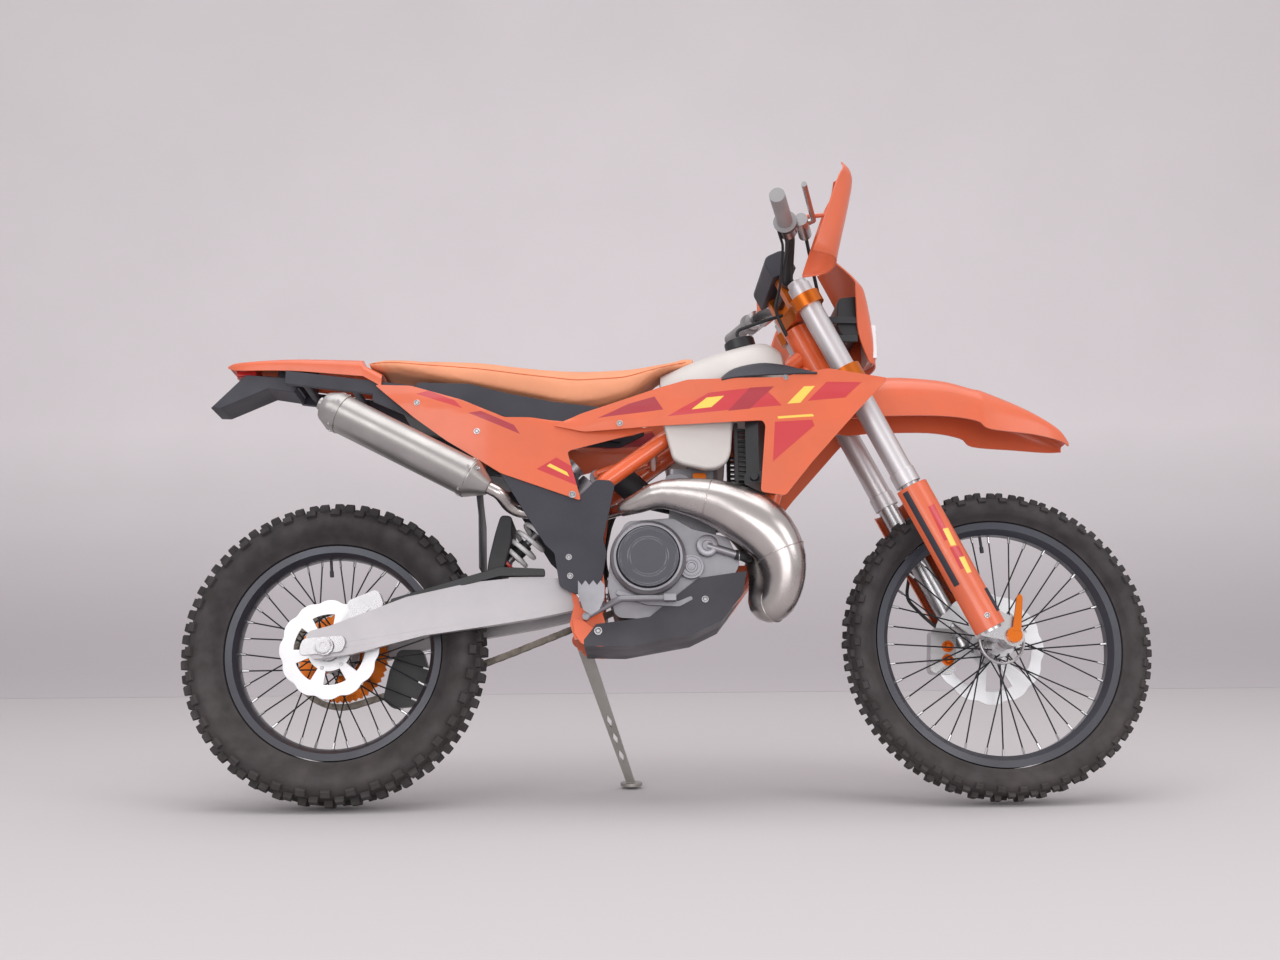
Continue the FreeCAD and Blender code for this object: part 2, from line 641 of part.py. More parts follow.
def rounded_wire(corners, radius):
    """A closed wire through the corners, each one rounded as far as its two sides allow."""
    arcs = []
    for index, corner in enumerate(corners):
        back = corners[index - 1] - corner
        ahead = corners[(index + 1) % len(corners)] - corner
        limit = CORNER_SHARE * min(back.Length, ahead.Length)
        half_turn = back.getAngle(ahead) / 2
        back.normalize()
        ahead.normalize()
        reach = min(radius / math.tan(half_turn), limit)
        fitted = reach * math.tan(half_turn)
        middle_way = back + ahead
        middle_way.normalize()
        centre = corner + middle_way * (fitted / math.sin(half_turn))
        arcs.append((corner + back * reach, centre - middle_way * fitted, corner + ahead * reach))
    edges = []
    for index, arc in enumerate(arcs):
        following = arcs[(index + 1) % len(arcs)]
        edges.append(Part.Arc(*arc).toShape())
        edges.append(Part.LineSegment(arc[2], following[0]).toShape())
    return Part.Wire(edges)


def spread(shares, back, low, length, height):
    """Outline points from shares of a length and a height."""
    return [(back + length * along, low + height * up) for along, up in shares]


def rod(start, end, radius):
    way = end - start
    return Part.makeCylinder(radius, way.Length, start, way)


def box_at(centre, length, width, height):
    corner = centre - point(length / 2, width / 2, height / 2)
    return Part.makeBox(length, width, height, corner)


def bent_path(points, bend):
    """Straight runs joined by tangent arcs, as one wire."""
    edges = []
    last = points[0]
    for index in range(1, len(points) - 1):
        corner = points[index]
        back = points[index - 1] - corner
        ahead = points[index + 1] - corner
        limit = CORNER_SHARE * min(back.Length, ahead.Length)
        half_turn = back.getAngle(ahead) / 2
        back.normalize()
        ahead.normalize()
        reach = min(bend / math.tan(half_turn), limit)
        fitted = reach * math.tan(half_turn)
        middle_way = back + ahead
        middle_way.normalize()
        centre = corner + middle_way * (fitted / math.sin(half_turn))
        start = corner + back * reach
        end = corner + ahead * reach
        edges.append(Part.LineSegment(last, start).toShape())
        edges.append(Part.Arc(start, centre - middle_way * fitted, end).toShape())
        last = end
    edges.append(Part.LineSegment(last, points[-1]).toShape())
    return Part.Wire(edges)


def bent_tube(points, bend, radius):
    path = bent_path(points, bend)
    circle = Part.Wire(Part.makeCircle(radius, points[0], points[1] - points[0]))
    return path.makePipe(Part.Face(circle))


def edges_along(shape, way):
    """The straight edges of a block that run along one way."""
    return [edge for edge in shape.Edges if edge.tangentAt(edge.FirstParameter).cross(way).Length < SAME_WAY]


def lathe(profile, centre=ORIGIN, way=Y_WAY):
    """A turned piece from (along, radius) points, about an axis through the centre."""
    across = X_WAY if abs(way.x) < abs(way.y) + abs(way.z) else Z_WAY
    across = (across - way * across.dot(way))
    across.normalize()
    corners = [centre + way * along + across * radius for along, radius in profile]
    return face_of(corners).revolve(centre, way, 360)


def loft(sections, ruled=True):
    wires = [Part.makePolygon(section + [section[0]]) for section in sections]
    return Part.makeLoft(wires, True, ruled)


def joined(shapes):
    solid = shapes[0].multiFuse(shapes[1:]) if len(shapes) > 1 else shapes[0]
    return solid.removeSplitter()


def solid_from(quads):
    """A closed solid from its flat outer faces."""
    shell = Part.makeShell([face_of(quad) for quad in quads])
    shell.sewShape()
    solid = Part.makeSolid(shell)
    if solid.Volume < 0:
        solid.reverse()
    return solid


def head_turn():
    return FreeCAD.Rotation(Y_WAY, -RAKE_DEG)


def head_base():
    """The point of the steering axis nearest the front axle."""
    rake = math.radians(RAKE_DEG)
    lead = CLAMP_OFFSET + AXLE_LEAD
    return point(WHEELBASE - lead * math.cos(rake), 0, FRONT_AXLE_HEIGHT - lead * math.sin(rake))


def head_point(ahead, side, up):
    """A place of the steering, given ahead of, beside and along the steering axis."""
    return head_base() + head_turn().multVec(point(ahead, side, up))


def steered(shape):
    """Turns what is drawn on straight steering to where the steering rests."""
    axis = head_turn().multVec(Z_WAY)
    return shape.copy().rotate(head_base(), axis, STEER_DEG)


def head_placed(shape):
    """Moves what is drawn about an upright steering axis onto the raked one."""
    return placed(shape, head_base(), head_turn())


def tyre(radius, half, knob, pitches, rim_radius, rim_half, centre):
    """A tyre with knobs: side knobs on every even facet, a middle one on every odd facet."""
    bead = (rim_radius + BEAD_GAP) / math.cos(math.pi / (2 * pitches))
    base = radius - knob
    inner_half = rim_half - BEAD_GAP
    wall_radius = (bead + base) / 2
    comb = [(half * wide, wall_radius + (base - wall_radius) * up) for wide, up in TYRE_SECTION_SHARES]
    profile = [(-inner_half, bead)] + [(-y, r) for y, r in comb]
    profile += [(y, r) for y, r in reversed(comb)] + [(inner_half, bead)]
    facets = 2 * pitches

    def raised(index):
        low_y, low_r = profile[index]
        high_y, high_r = profile[index + 1]
        if index in MIDDLE_BLOCKS:
            return (low_y, radius), (high_y, radius)
        outer_first = abs(low_y) > abs(high_y)
        low_up = knob * (OUTER_KNOB_SHARE if outer_first else 1)
        high_up = knob * (1 if outer_first else OUTER_KNOB_SHARE)
        return (low_y, low_r + low_up), (high_y, high_r + high_up)

    def at(spot, facet):
        angle = math.radians(360.0 * facet / facets)
        y, r = spot
        return centre + point(r * math.cos(angle), y, r * math.sin(angle))

    quads = []
    for facet in range(facets):
        blocks = SIDE_BLOCKS if facet % 2 == 0 else MIDDLE_BLOCKS
        for index in range(len(profile)):
            first = profile[index]
            second = profile[(index + 1) % len(profile)]
            chain = [first, second]
            if index in blocks:
                top_first, top_second = raised(index)
                chain = [first, top_first, top_second, second]
                for edge in (facet, facet + 1):
                    quads.append([at(spot, edge) for spot in chain])
            for low, high in zip(chain, chain[1:]):
                quads.append([at(low, facet), at(high, facet), at(high, facet + 1), at(low, facet + 1)])
    return solid_from(quads)


def rim(rim_radius, rim_half, centre):
    seat = rim_radius - RIM_FLANGE
    well = seat - RIM_WELL
    half = [(rim_half, rim_radius), (rim_half, seat - FLANGE_WALL), (RIM_NIPPLE_HALF, well)]
    inner = [(rim_half - RIM_FLANGE_WALL, seat)]
    right = [(-y, r) for y, r in reversed(half)]
    profile = inner + half + right + [(-inner[0][0], seat)]
    return lathe(profile, centre)


def wheel_spokes(rim_radius, flange_radius, flange_y, centre):
    """Laced spokes: alternate sides of the rim, and alternate faces of each hub flange."""
    tip_radius = rim_radius - RIM_FLANGE - RIM_WELL - SPOKE_TIP_GAP
    hole_radius = flange_radius - FLANGE_WALL
    reach = FLANGE_WALL / 2 + SPOKE_SEAT_GAP + SPOKE_SIZE / 2
    solids = []
    for index in range(SPOKE_COUNT):
        side = 1 if index % 2 else -1
        lead = 1 if (index // 2) % 2 else -1
        rim_angle = math.radians(360.0 * index / SPOKE_COUNT)
        hub_angle = rim_angle + math.radians(SPOKE_CROSS_DEG) * lead
        start = point(hole_radius * math.cos(hub_angle), side * (flange_y + lead * reach),
                      hole_radius * math.sin(hub_angle))
        end = point(tip_radius * math.cos(rim_angle), side * SPOKE_RIM_OFFSET,
                    tip_radius * math.sin(rim_angle))
        solids.append(square_rod(centre + start, centre + end, SPOKE_SIZE))
    return Part.makeCompound(solids)


def square_rod(start, end, size):
    way = end - start
    across = way.cross(Y_WAY)
    across.normalize()
    other = way.cross(across)
    other.normalize()
    half = size / 2
    corners = [start + across * (a * half) + other * (b * half)
               for a, b in ((-1, -1), (1, -1), (1, 1), (-1, 1))]
    return face_of(corners).extrude(way)


def brake_disc(radius, y, hub_radius, centre):
    """A wavy disc on arms, with open windows between its band and its middle."""
    crest = []
    for wave in range(2 * DISC_WAVES):
        angle = math.pi * wave / DISC_WAVES
        out = radius if wave % 2 == 0 else radius - DISC_WAVE_DEPTH
        crest.append(point(out * math.cos(angle), 0, out * math.sin(angle)))
    blank = Part.Face(Part.makePolygon(crest + [crest[0]])).extrude(point(0, DISC_WALL, 0))
    window = Part.makeCylinder(radius - DISC_BAND, DISC_WALL, ORIGIN, Y_WAY)
    band = blank.cut(window)
    middle = Part.makeCylinder(hub_radius + DISC_ARM_WIDTH, DISC_WALL, ORIGIN, Y_WAY)
    arms = []
    for arm in range(DISC_ARMS):
        bar = box_at(point(radius / 2, DISC_WALL / 2, 0), radius - DISC_BAND, DISC_WALL, DISC_ARM_WIDTH)
        bar.rotate(ORIGIN, Y_WAY, 360.0 * arm / DISC_ARMS)
        arms.append(bar)
    whole = joined([band, middle] + arms)
    bore = Part.makeCylinder(hub_radius, DISC_WALL, ORIGIN, Y_WAY)
    return placed(whole.cut(bore), centre + point(0, y - DISC_WALL / 2, 0))


def pitch_radius(teeth):
    return CHAIN_PITCH / (2 * math.sin(math.pi / teeth))


def sprocket(teeth, centre, bore):
    tip = pitch_radius(teeth) - CHAIN_HEIGHT / 2 - SPROCKET_GAP
    root = tip - SPROCKET_TOOTH
    rim_points = []
    for step in range(2 * teeth):
        angle = math.pi * step / teeth
        out = tip if step % 2 == 0 else root
        rim_points.append(point(out * math.cos(angle), 0, out * math.sin(angle)))
    blank = face_of(rim_points).extrude(point(0, SPROCKET_WALL, 0))
    blank = blank.cut(Part.makeCylinder(bore, SPROCKET_WALL, ORIGIN, Y_WAY))
    return placed(blank, centre - point(0, SPROCKET_WALL / 2, 0))


def tangent_angle(first, second, first_radius, second_radius, side):
    """Angle of the touching points of a belt on two round wheels, above (1) or below (-1)."""
    way = second - first
    lean = math.atan2(way.z, way.x)
    tilt = math.acos((first_radius - second_radius) / way.Length)
    return lean + side * tilt


def on_circle(centre, radius, angle):
    return centre + point(radius * math.cos(angle), 0, radius * math.sin(angle))


def chain_route():
    """Points of the chain's pitch line, evenly spaced along the whole loop."""
    rear = point(0, CHAIN_LINE_Y, REAR_AXLE_HEIGHT)
    front = point(COUNTERSHAFT_X, CHAIN_LINE_Y, COUNTERSHAFT_HEIGHT)
    sag = point(CHAIN_SAG_X, CHAIN_LINE_Y, CHAIN_SAG_HEIGHT)
    rear_pitch = pitch_radius(REAR_TEETH)
    front_pitch = pitch_radius(FRONT_TEETH)
    top = tangent_angle(rear, front, rear_pitch, front_pitch, 1)
    rear_low = tangent_angle(rear, sag, rear_pitch, 0, -1)
    front_low = tangent_angle(sag, front, 0, front_pitch, -1)
    upper_run = Part.LineSegment(on_circle(rear, rear_pitch, top), on_circle(front, front_pitch, top))
    front_mid = (top + front_low) / 2
    nose = Part.Arc(on_circle(front, front_pitch, top), on_circle(front, front_pitch, front_mid),
                    on_circle(front, front_pitch, front_low))
    low_front = on_circle(front, front_pitch, front_low)
    low_rear = on_circle(rear, rear_pitch, rear_low)
    lower_run = bent_path([low_front, sag, low_rear], CHAIN_SAG_RADIUS)
    rear_mid = (rear_low + top) / 2 - math.pi
    tail = Part.Arc(low_rear, on_circle(rear, rear_pitch, rear_mid), on_circle(rear, rear_pitch, top))
    loop = Part.Wire([upper_run.toShape(), nose.toShape()] + lower_run.Edges + [tail.toShape()])
    links = 2 * round(loop.Length / CHAIN_PITCH / 2)
    return loop.discretize(Number=links + 1)[:-1]


def drive_chain():
    """One loop of alternating wide and narrow links, mitred where the chain bends."""
    pins = chain_route()
    count = len(pins)
    sections = []
    for index, pin in enumerate(pins):
        along = pins[(index + 1) % count] - pins[index - 1]
        along.normalize()
        out = point(-along.z, 0, along.x) * (CHAIN_HEIGHT / 2)
        sections.append((pin - out, pin + out))

    def corner(section, level, half):
        spot = sections[section % count][level]
        return spot + point(0, half, 0)

    quads = []
    wide, narrow = CHAIN_OUTER_HALF, CHAIN_INNER_HALF
    for link in range(count):
        half = wide if link % 2 else narrow
        steps = [-wide, -narrow, narrow, wide] if link % 2 else [-narrow, narrow]
        for level in (0, 1):
            near = [corner(link, level, step) for step in steps]
            far = [corner(link + 1, level, step) for step in reversed(steps)]
            quads.append(near + far)
        for side in (-half, half):
            quads.append([corner(link, 0, side), corner(link, 1, side),
                          corner(link + 1, 1, side), corner(link + 1, 0, side)])
        for side in (-1, 1):
            quads.append([corner(link, 0, side * narrow), corner(link, 1, side * narrow),
                          corner(link, 1, side * wide), corner(link, 0, side * wide)])
    return solid_from(quads)


def hub(hub_radius, flange_radius, flange_y, right_end, left_end, centre):
    half_wall = FLANGE_WALL / 2
    profile = [(right_end, AXLE_RADIUS + AXLE_RUNNING_GAP), (right_end, hub_radius)]
    for side in (-1, 1):
        middle = side * flange_y
        profile += [(middle - half_wall, hub_radius), (middle - half_wall, flange_radius),
                    (middle + half_wall, flange_radius), (middle + half_wall, hub_radius)]
    profile += [(left_end, hub_radius), (left_end, AXLE_RADIUS + AXLE_RUNNING_GAP)]
    return lathe(profile, centre)


def rear_centre():
    return point(0, 0, REAR_AXLE_HEIGHT)


def front_centre():
    return point(WHEELBASE, 0, FRONT_AXLE_HEIGHT)


def wheel_nodes():
    rear = rear_centre()
    front = front_centre()
    half_disc = DISC_WALL / 2
    sprocket_face = CHAIN_LINE_Y - SPROCKET_WALL / 2
    nodes = {
        "rear_tyre": tyre(REAR_RADIUS, REAR_TYRE_HALF, KNOB_HEIGHT_REAR, REAR_PITCHES,
                          REAR_RIM_RADIUS, REAR_RIM_HALF, rear),
        "rear_rim": rim(REAR_RIM_RADIUS, REAR_RIM_HALF, rear),
        "rear_spokes": wheel_spokes(REAR_RIM_RADIUS, REAR_FLANGE_RADIUS, REAR_FLANGE_Y, rear),
        "rear_hub": hub(REAR_HUB_RADIUS, REAR_FLANGE_RADIUS, REAR_FLANGE_Y,
                        REAR_DISC_Y - half_disc, sprocket_face + SPROCKET_WALL, rear),
        "rear_disc": brake_disc(REAR_DISC_RADIUS, REAR_DISC_Y, REAR_HUB_RADIUS, rear),
        "rear_sprocket": rear_sprocket(rear),
        "front_tyre": tyre(FRONT_RADIUS, FRONT_TYRE_HALF, KNOB_HEIGHT_FRONT, FRONT_PITCHES,
                           FRONT_RIM_RADIUS, FRONT_RIM_HALF, front),
        "front_rim": rim(FRONT_RIM_RADIUS, FRONT_RIM_HALF, front),
        "front_spokes": wheel_spokes(FRONT_RIM_RADIUS, FRONT_FLANGE_RADIUS, FRONT_FLANGE_Y, front),
        "front_hub": hub(FRONT_HUB_RADIUS, FRONT_FLANGE_RADIUS, FRONT_FLANGE_Y,
                         -FRONT_DISC_Y - half_disc, FRONT_DISC_Y + half_disc, front),
        "front_disc": brake_disc(FRONT_DISC_RADIUS, FRONT_DISC_Y, FRONT_HUB_RADIUS, front),
    }
    return nodes


def rear_sprocket(centre):
    plate = sprocket(REAR_TEETH, centre + point(0, CHAIN_LINE_Y, 0), REAR_HUB_RADIUS)
    tip = pitch_radius(REAR_TEETH) - CHAIN_HEIGHT / 2 - SPROCKET_GAP
    windows = []
    ring_in = REAR_HUB_RADIUS + DISC_ARM_WIDTH
    ring_out = tip - SPROCKET_BAND
    for arm in range(DISC_ARMS):
        start = 360.0 * arm / DISC_ARMS
        hole = Part.makeCylinder((ring_out - ring_in) / 2, OVERRUN, ORIGIN, Y_WAY)
        middle = point((ring_out + ring_in) / 2, -OVERRUN / 2, 0)
        hole.translate(middle)
        hole.rotate(ORIGIN, Y_WAY, start)
        windows.append(placed(hole, centre + point(0, CHAIN_LINE_Y, 0)))
    return plate.cut(Part.makeCompound(windows))


def fork_tubes():
    solids = []
    for side in (-1, 1):
        foot = point(CLAMP_OFFSET, side * FORK_HALF, FORK_TUBE_LOW)
        tube = Part.makeCylinder(FORK_TUBE_RADIUS, FORK_TUBE_TOP - FORK_TUBE_LOW, foot)
        collar = Part.makeCylinder(FORK_COLLAR_RADIUS, FORK_COLLAR_LENGTH, foot)
        cap = Part.makeCylinder(FORK_CAP_RADIUS, FORK_TUBE_TOP - FORK_TUBE_LOW + FORK_CAP_HEIGHT, foot)
        bore = Part.makeCylinder(STANCHION_RADIUS + SEAT_GAP, STANCHION_SEAL, foot)
        solids.append(joined([tube, collar, cap]).cut(bore))
    return head_placed(Part.makeCompound(solids))


def fork_legs():
    """Chromed legs that end in cast lugs round the axle."""
    solids = []
    for side in (-1, 1):
        top = FORK_TUBE_LOW + STANCHION_SEAL - SEAT_GAP
        base = point(CLAMP_OFFSET, side * FORK_HALF, LUG_LOW)
        leg = Part.makeCylinder(STANCHION_RADIUS, top - LUG_LOW, base)
        sleeve = Part.makeCylinder(LUG_RADIUS, LUG_TOP - LUG_LOW, base)
        eye_at = point(CLAMP_OFFSET + AXLE_LEAD, side * FORK_HALF - LUG_WIDTH / 2, 0)
        eye = Part.makeCylinder(LUG_EYE_RADIUS, LUG_WIDTH, eye_at, Y_WAY)
        back = CLAMP_OFFSET - LUG_RADIUS
        front = CLAMP_OFFSET + AXLE_LEAD + LUG_EYE_RADIUS
        web = [(back, LUG_TOP - LUG_RADIUS), (back, LUG_LOW), (CLAMP_OFFSET + AXLE_LEAD - LUG_EYE_RADIUS, 0),
               (front, 0), (front, LUG_LOW), (CLAMP_OFFSET + LUG_RADIUS, LUG_TOP - LUG_RADIUS)]
        half = LUG_WIDTH / 2
        plate = slab(web, side * FORK_HALF - half, side * FORK_HALF + half)
        hole = Part.makeCylinder(AXLE_RADIUS, LUG_WIDTH, eye_at, Y_WAY)
        solids.append(joined([leg, sleeve, plate, eye]).cut(hole))
    return head_placed(Part.makeCompound(solids))


def front_axle():
    centre = head_point(CLAMP_OFFSET + AXLE_LEAD, 0, 0)
    right = point(0, -FORK_HALF - LUG_WIDTH / 2 - AXLE_HEAD_WALL, 0)
    left = point(0, FORK_HALF + LUG_WIDTH / 2 + AXLE_HEAD_WALL, 0)
    shaft = rod(centre + right, centre + left, AXLE_RADIUS)
    heads = [rod(centre + end, centre + end - point(0, AXLE_HEAD_WALL * side, 0), FRONT_AXLE_HEAD)
             for end, side in ((right, -1), (left, 1))]
    spacers = []
    disc_face = FRONT_DISC_Y + DISC_WALL / 2 + DISC_END_GAP
    lug_face = FORK_HALF - LUG_WIDTH / 2
    for side in (-1, 1):
        spacers.append(rod(centre + point(0, side * disc_face, 0), centre + point(0, side * lug_face, 0),
                           FRONT_AXLE_HEAD))
    return joined([shaft] + heads + spacers)


def clamp_plate(low, wall, front):
    """One bridge of the triple clamp: two split bosses, a stem boss and the web between."""
    outer = FORK_TUBE_RADIUS + SEAT_GAP + CLAMP_BOSS_WALL
    bosses = [Part.makeCylinder(outer, wall, point(CLAMP_OFFSET, side * FORK_HALF, low)) for side in (-1, 1)]
    stem = Part.makeCylinder(STEM_RADIUS + CLAMP_BOSS_WALL, wall, point(0, 0, low))
    web = [(front, -FORK_HALF), (front, FORK_HALF), (front - CLAMP_WEB_DEPTH, FORK_HALF),
           (-STEM_RADIUS - CLAMP_BOSS_WALL, STEM_RADIUS), (-STEM_RADIUS - CLAMP_BOSS_WALL, -STEM_RADIUS),
           (front - CLAMP_WEB_DEPTH, -FORK_HALF)]
    plate = face_of([point(x, y, low) for x, y in web]).extrude(point(0, 0, wall))
    body = joined(bosses + [stem, plate])
    holes = [Part.makeCylinder(FORK_TUBE_RADIUS, wall, point(CLAMP_OFFSET, side * FORK_HALF, low))
             for side in (-1, 1)]
    return body.cut(Part.makeCompound(holes))


def triple_clamps():
    front = CLAMP_OFFSET + CLAMP_WEB_DEPTH / 2
    lower = clamp_plate(LOWER_CLAMP_LOW, LOWER_CLAMP_WALL, front)
    upper = clamp_plate(UPPER_CLAMP_LOW, UPPER_CLAMP_WALL, front)
    stem_length = UPPER_CLAMP_LOW + UPPER_CLAMP_WALL - LOWER_CLAMP_LOW
    stem = Part.makeCylinder(STEM_RADIUS, stem_length, point(0, 0, LOWER_CLAMP_LOW))
    top = UPPER_CLAMP_LOW + UPPER_CLAMP_WALL
    posts = []
    for side in (-1, 1):
        middle = point(BAR_CLAMP_LEAD, side * BAR_CLAMP_HALF, top)
        post = Part.makeBox(2 * BAR_RADIUS + CLAMP_BOSS_WALL, PERCH_WIDTH,
                            BAR_CLAMP_HEIGHT + BAR_RADIUS + CLAMP_BOSS_WALL / 2,
                            middle - point(BAR_RADIUS + CLAMP_BOSS_WALL / 2, PERCH_WIDTH / 2, 0))
        posts.append(post)
    bar_bore = Part.makeCylinder(BAR_RADIUS, OVERRUN,
                                 point(BAR_CLAMP_LEAD, -OVERRUN / 2, top + BAR_CLAMP_HEIGHT), Y_WAY)
    return head_placed(joined([lower, upper, stem] + posts).cut(bar_bore))


def bar_places(side):
    """Corner points of one half of the handlebar, from the middle outwards."""
    top = UPPER_CLAMP_LOW + UPPER_CLAMP_WALL + BAR_CLAMP_HEIGHT
    return [point(BAR_CLAMP_LEAD, 0, top), point(BAR_CLAMP_LEAD, side * (BAR_CLAMP_HALF + PERCH_WIDTH), top),
            point(BAR_CLAMP_LEAD + BAR_KNEE_BACK, side * BAR_KNEE_Y, top + BAR_KNEE_RISE),
            point(BAR_CLAMP_LEAD - BAR_END_BACK, side * BAR_END_Y, top + BAR_END_RISE)]


def handlebar():
    left = list(reversed(bar_places(1)))[:-1]
    tube = bent_tube(left + bar_places(-1)[1:], BAR_BEND, BAR_TIP_RADIUS)
    middle = bar_places(1)[1]
    sleeve = rod(point(middle.x, -middle.y, middle.z), middle, BAR_RADIUS)
    return head_placed(joined([tube, sleeve]))


def bar_spot(side, y):
    """A place on the bar's outer run and the way outwards along it."""
    knee, end = bar_places(side)[2:]
    way = end - knee
    share = (y - abs(knee.y)) / (abs(end.y) - abs(knee.y))
    spot = knee + way * share
    way.normalize()
    return spot, way


def grips():
    solids = []
    for side in (-1, 1):
        end, way = bar_spot(side, BAR_END_Y)
        inner = end - way * GRIP_LENGTH
        sleeve = rod(inner, end + way * GRIP_FLANGE_WALL, GRIP_RADIUS)
        flange = rod(inner, inner + way * GRIP_FLANGE_WALL, GRIP_FLANGE_RADIUS)
        bore = rod(inner, end + way * GRIP_FIT, BAR_TIP_RADIUS + GRIP_FIT)
        solids.append(joined([sleeve, flange]).cut(bore))
    return head_placed(Part.makeCompound(solids))


def master_ends(side):
    """Inner and outer end of the master cylinder, which lies ahead of the bar."""
    spot, way = bar_spot(side, PERCH_Y)
    middle = spot + point(LEVER_REACH * MASTER_LEAD_SHARE, 0, -LEVER_DROP)
    inner = middle - way * (MASTER_LENGTH * MASTER_IN_SHARE)
    return inner, inner + way * MASTER_LENGTH


def brake_hose(calliper, legs, guards):
    """From the right master cylinder, across ahead of the clamps and down the left leg to the caliper."""
    start, outer = master_ends(-1)
    way = start - outer
    way.normalize()
    route = [start + way * SEAT_GAP, start + way * BRAKE_HOSE_RUN]
    route += [point(*place) for place in BRAKE_HOSE_PLACES]
    hose = head_placed(bent_tube(route, BRAKE_HOSE_BEND, BRAKE_HOSE_RADIUS))
    return hose.cut(calliper).cut(legs).cut(guards)


def throttle_cables():
    """Two cables from the throttle under the bar and down behind the upper clamp."""
    spot, way = bar_spot(-1, THROTTLE_START_Y)
    solids = []
    for index, (ahead, up) in enumerate(THROTTLE_STARTS):
        start = spot + point(ahead, 0, up)
        aside = point(0, -THROTTLE_PITCH * index, 0)
        route = [start, start - way * THROTTLE_RUN] + [point(*place) + aside for place in THROTTLE_PLACES]
        solids.append(bent_tube(route, THROTTLE_BEND, THROTTLE_RADIUS))
    return head_placed(Part.makeCompound(solids))


def breather_hose():
    """A thin hose from the tank cap forward to above the steering stem."""
    base, way = cap_seat()
    start = base + way * (CAP_HEIGHT + SEAT_GAP)
    route = [start, start + way * BREATHER_RISE, head_point(*BREATHER_TOP), head_point(*BREATHER_END)]
    return bent_tube(route, BREATHER_BEND, BREATHER_RADIUS)


def hand_controls():
    """Each side: a perch round the bar, a master cylinder and a lever along the grip."""
    solids = []
    for side in (-1, 1):
        spot, way = bar_spot(side, PERCH_Y)
        perch = rod(spot - way * (PERCH_WIDTH / 2), spot + way * (PERCH_WIDTH / 2), PERCH_RADIUS)
        bore = rod(spot - way * PERCH_WIDTH, spot + way * PERCH_WIDTH, BAR_TIP_RADIUS + GRIP_FIT)
        ahead = point(LEVER_REACH * MASTER_LEAD_SHARE, 0, -LEVER_DROP)
        inner, outer = master_ends(side)
        master = rod(outer, inner, MASTER_RADIUS)
        link = rod(spot, spot + ahead, PERCH_RADIUS / 2)
        pivot = spot + point(LEVER_REACH, 0, -LEVER_DROP)
        tip = pivot + way * LEVER_LENGTH
        lever = rod(spot + ahead, pivot, LEVER_RADIUS).fuse(rod(pivot, tip, LEVER_RADIUS))
        solids.append(joined([perch, link, master, lever]).cut(bore))
    return head_placed(Part.makeCompound(solids))


def hand_guards():
    """Curved shields ahead of the levers, each on a stay from a ring round the bar."""
    solids = []
    for side in (-1, 1):
        sections = []
        for height, front, depth, inner_y, outer_y in HAND_GUARD_STATIONS:
            wide = outer_y - inner_y
            plan = [(front + depth * back, inner_y + wide * out) for back, out in HAND_GUARD_PLAN_SHARES]
            ring = [point(x, side * y, height) for x, y in plan]
            ring += [point(x - HAND_GUARD_WALL, side * y, height) for x, y in reversed(plan)]
            sections.append(ring)
        shield = loft(sections)
        spot, way = bar_spot(side, GUARD_RING_Y)
        half_ring = way * (GUARD_RING_WIDTH / 2)
        ring = rod(spot - half_ring, spot + half_ring, GUARD_RING_RADIUS)
        bore = rod(spot - way * GUARD_RING_WIDTH, spot + way * GUARD_RING_WIDTH, BAR_TIP_RADIUS + GRIP_FIT)
        start = head_base() + head_turn().multVec(spot)
        knee_x, knee_y, knee_z = GUARD_STAY_KNEE
        end_x, end_y, end_z = GUARD_STAY_END
        stay = bent_tube([start, point(knee_x, side * knee_y, knee_z), point(end_x, side * end_y, end_z)],
                         GUARD_STAY_BEND, GUARD_STAY_RADIUS)
        whole = joined([shield, stay, head_placed(ring)])
        solids.append(whole.cut(head_placed(bore)))
    return Part.makeCompound(solids)


def bar_pad():
    middle = bar_places(1)[0] + point(0, 0, BAR_RADIUS + CLAMP_BOSS_WALL / 2 + SEAT_GAP)
    half, depth, height = BAR_PAD_HALF, BAR_PAD_DEPTH, BAR_PAD_HEIGHT
    block = Part.makeBox(depth, 2 * half, height, middle - point(depth / 2, half, 0))
    along_y = [edge for edge in edges_along(block, Y_WAY) if edge.CenterOfMass.z > middle.z + height / 2]
    return head_placed(block.makeFillet(BAR_PAD_CORNER, along_y))


def fork_guards(legs):
    """Shells round the front and outside of each leg."""
    solids = []
    for side in (-1, 1):
        outer = Part.makeCylinder(GUARD_SHELL_RADIUS, GUARD_SHELL_TOP - GUARD_SHELL_LOW, ORIGIN, Z_WAY,
                                  GUARD_SHELL_TO_DEG - GUARD_SHELL_FROM_DEG)
        inner = Part.makeCylinder(GUARD_SHELL_RADIUS - GUARD_SHELL_WALL, GUARD_SHELL_TOP, ORIGIN, Z_WAY)
        shell = outer.cut(inner)
        shell.rotate(ORIGIN, Z_WAY, GUARD_SHELL_FROM_DEG)
        if side > 0:
            shell = mirrored(shell)
        solids.append(placed(shell, point(CLAMP_OFFSET, side * FORK_HALF, GUARD_SHELL_LOW)))
    return head_placed(Part.makeCompound(solids)).cut(legs)


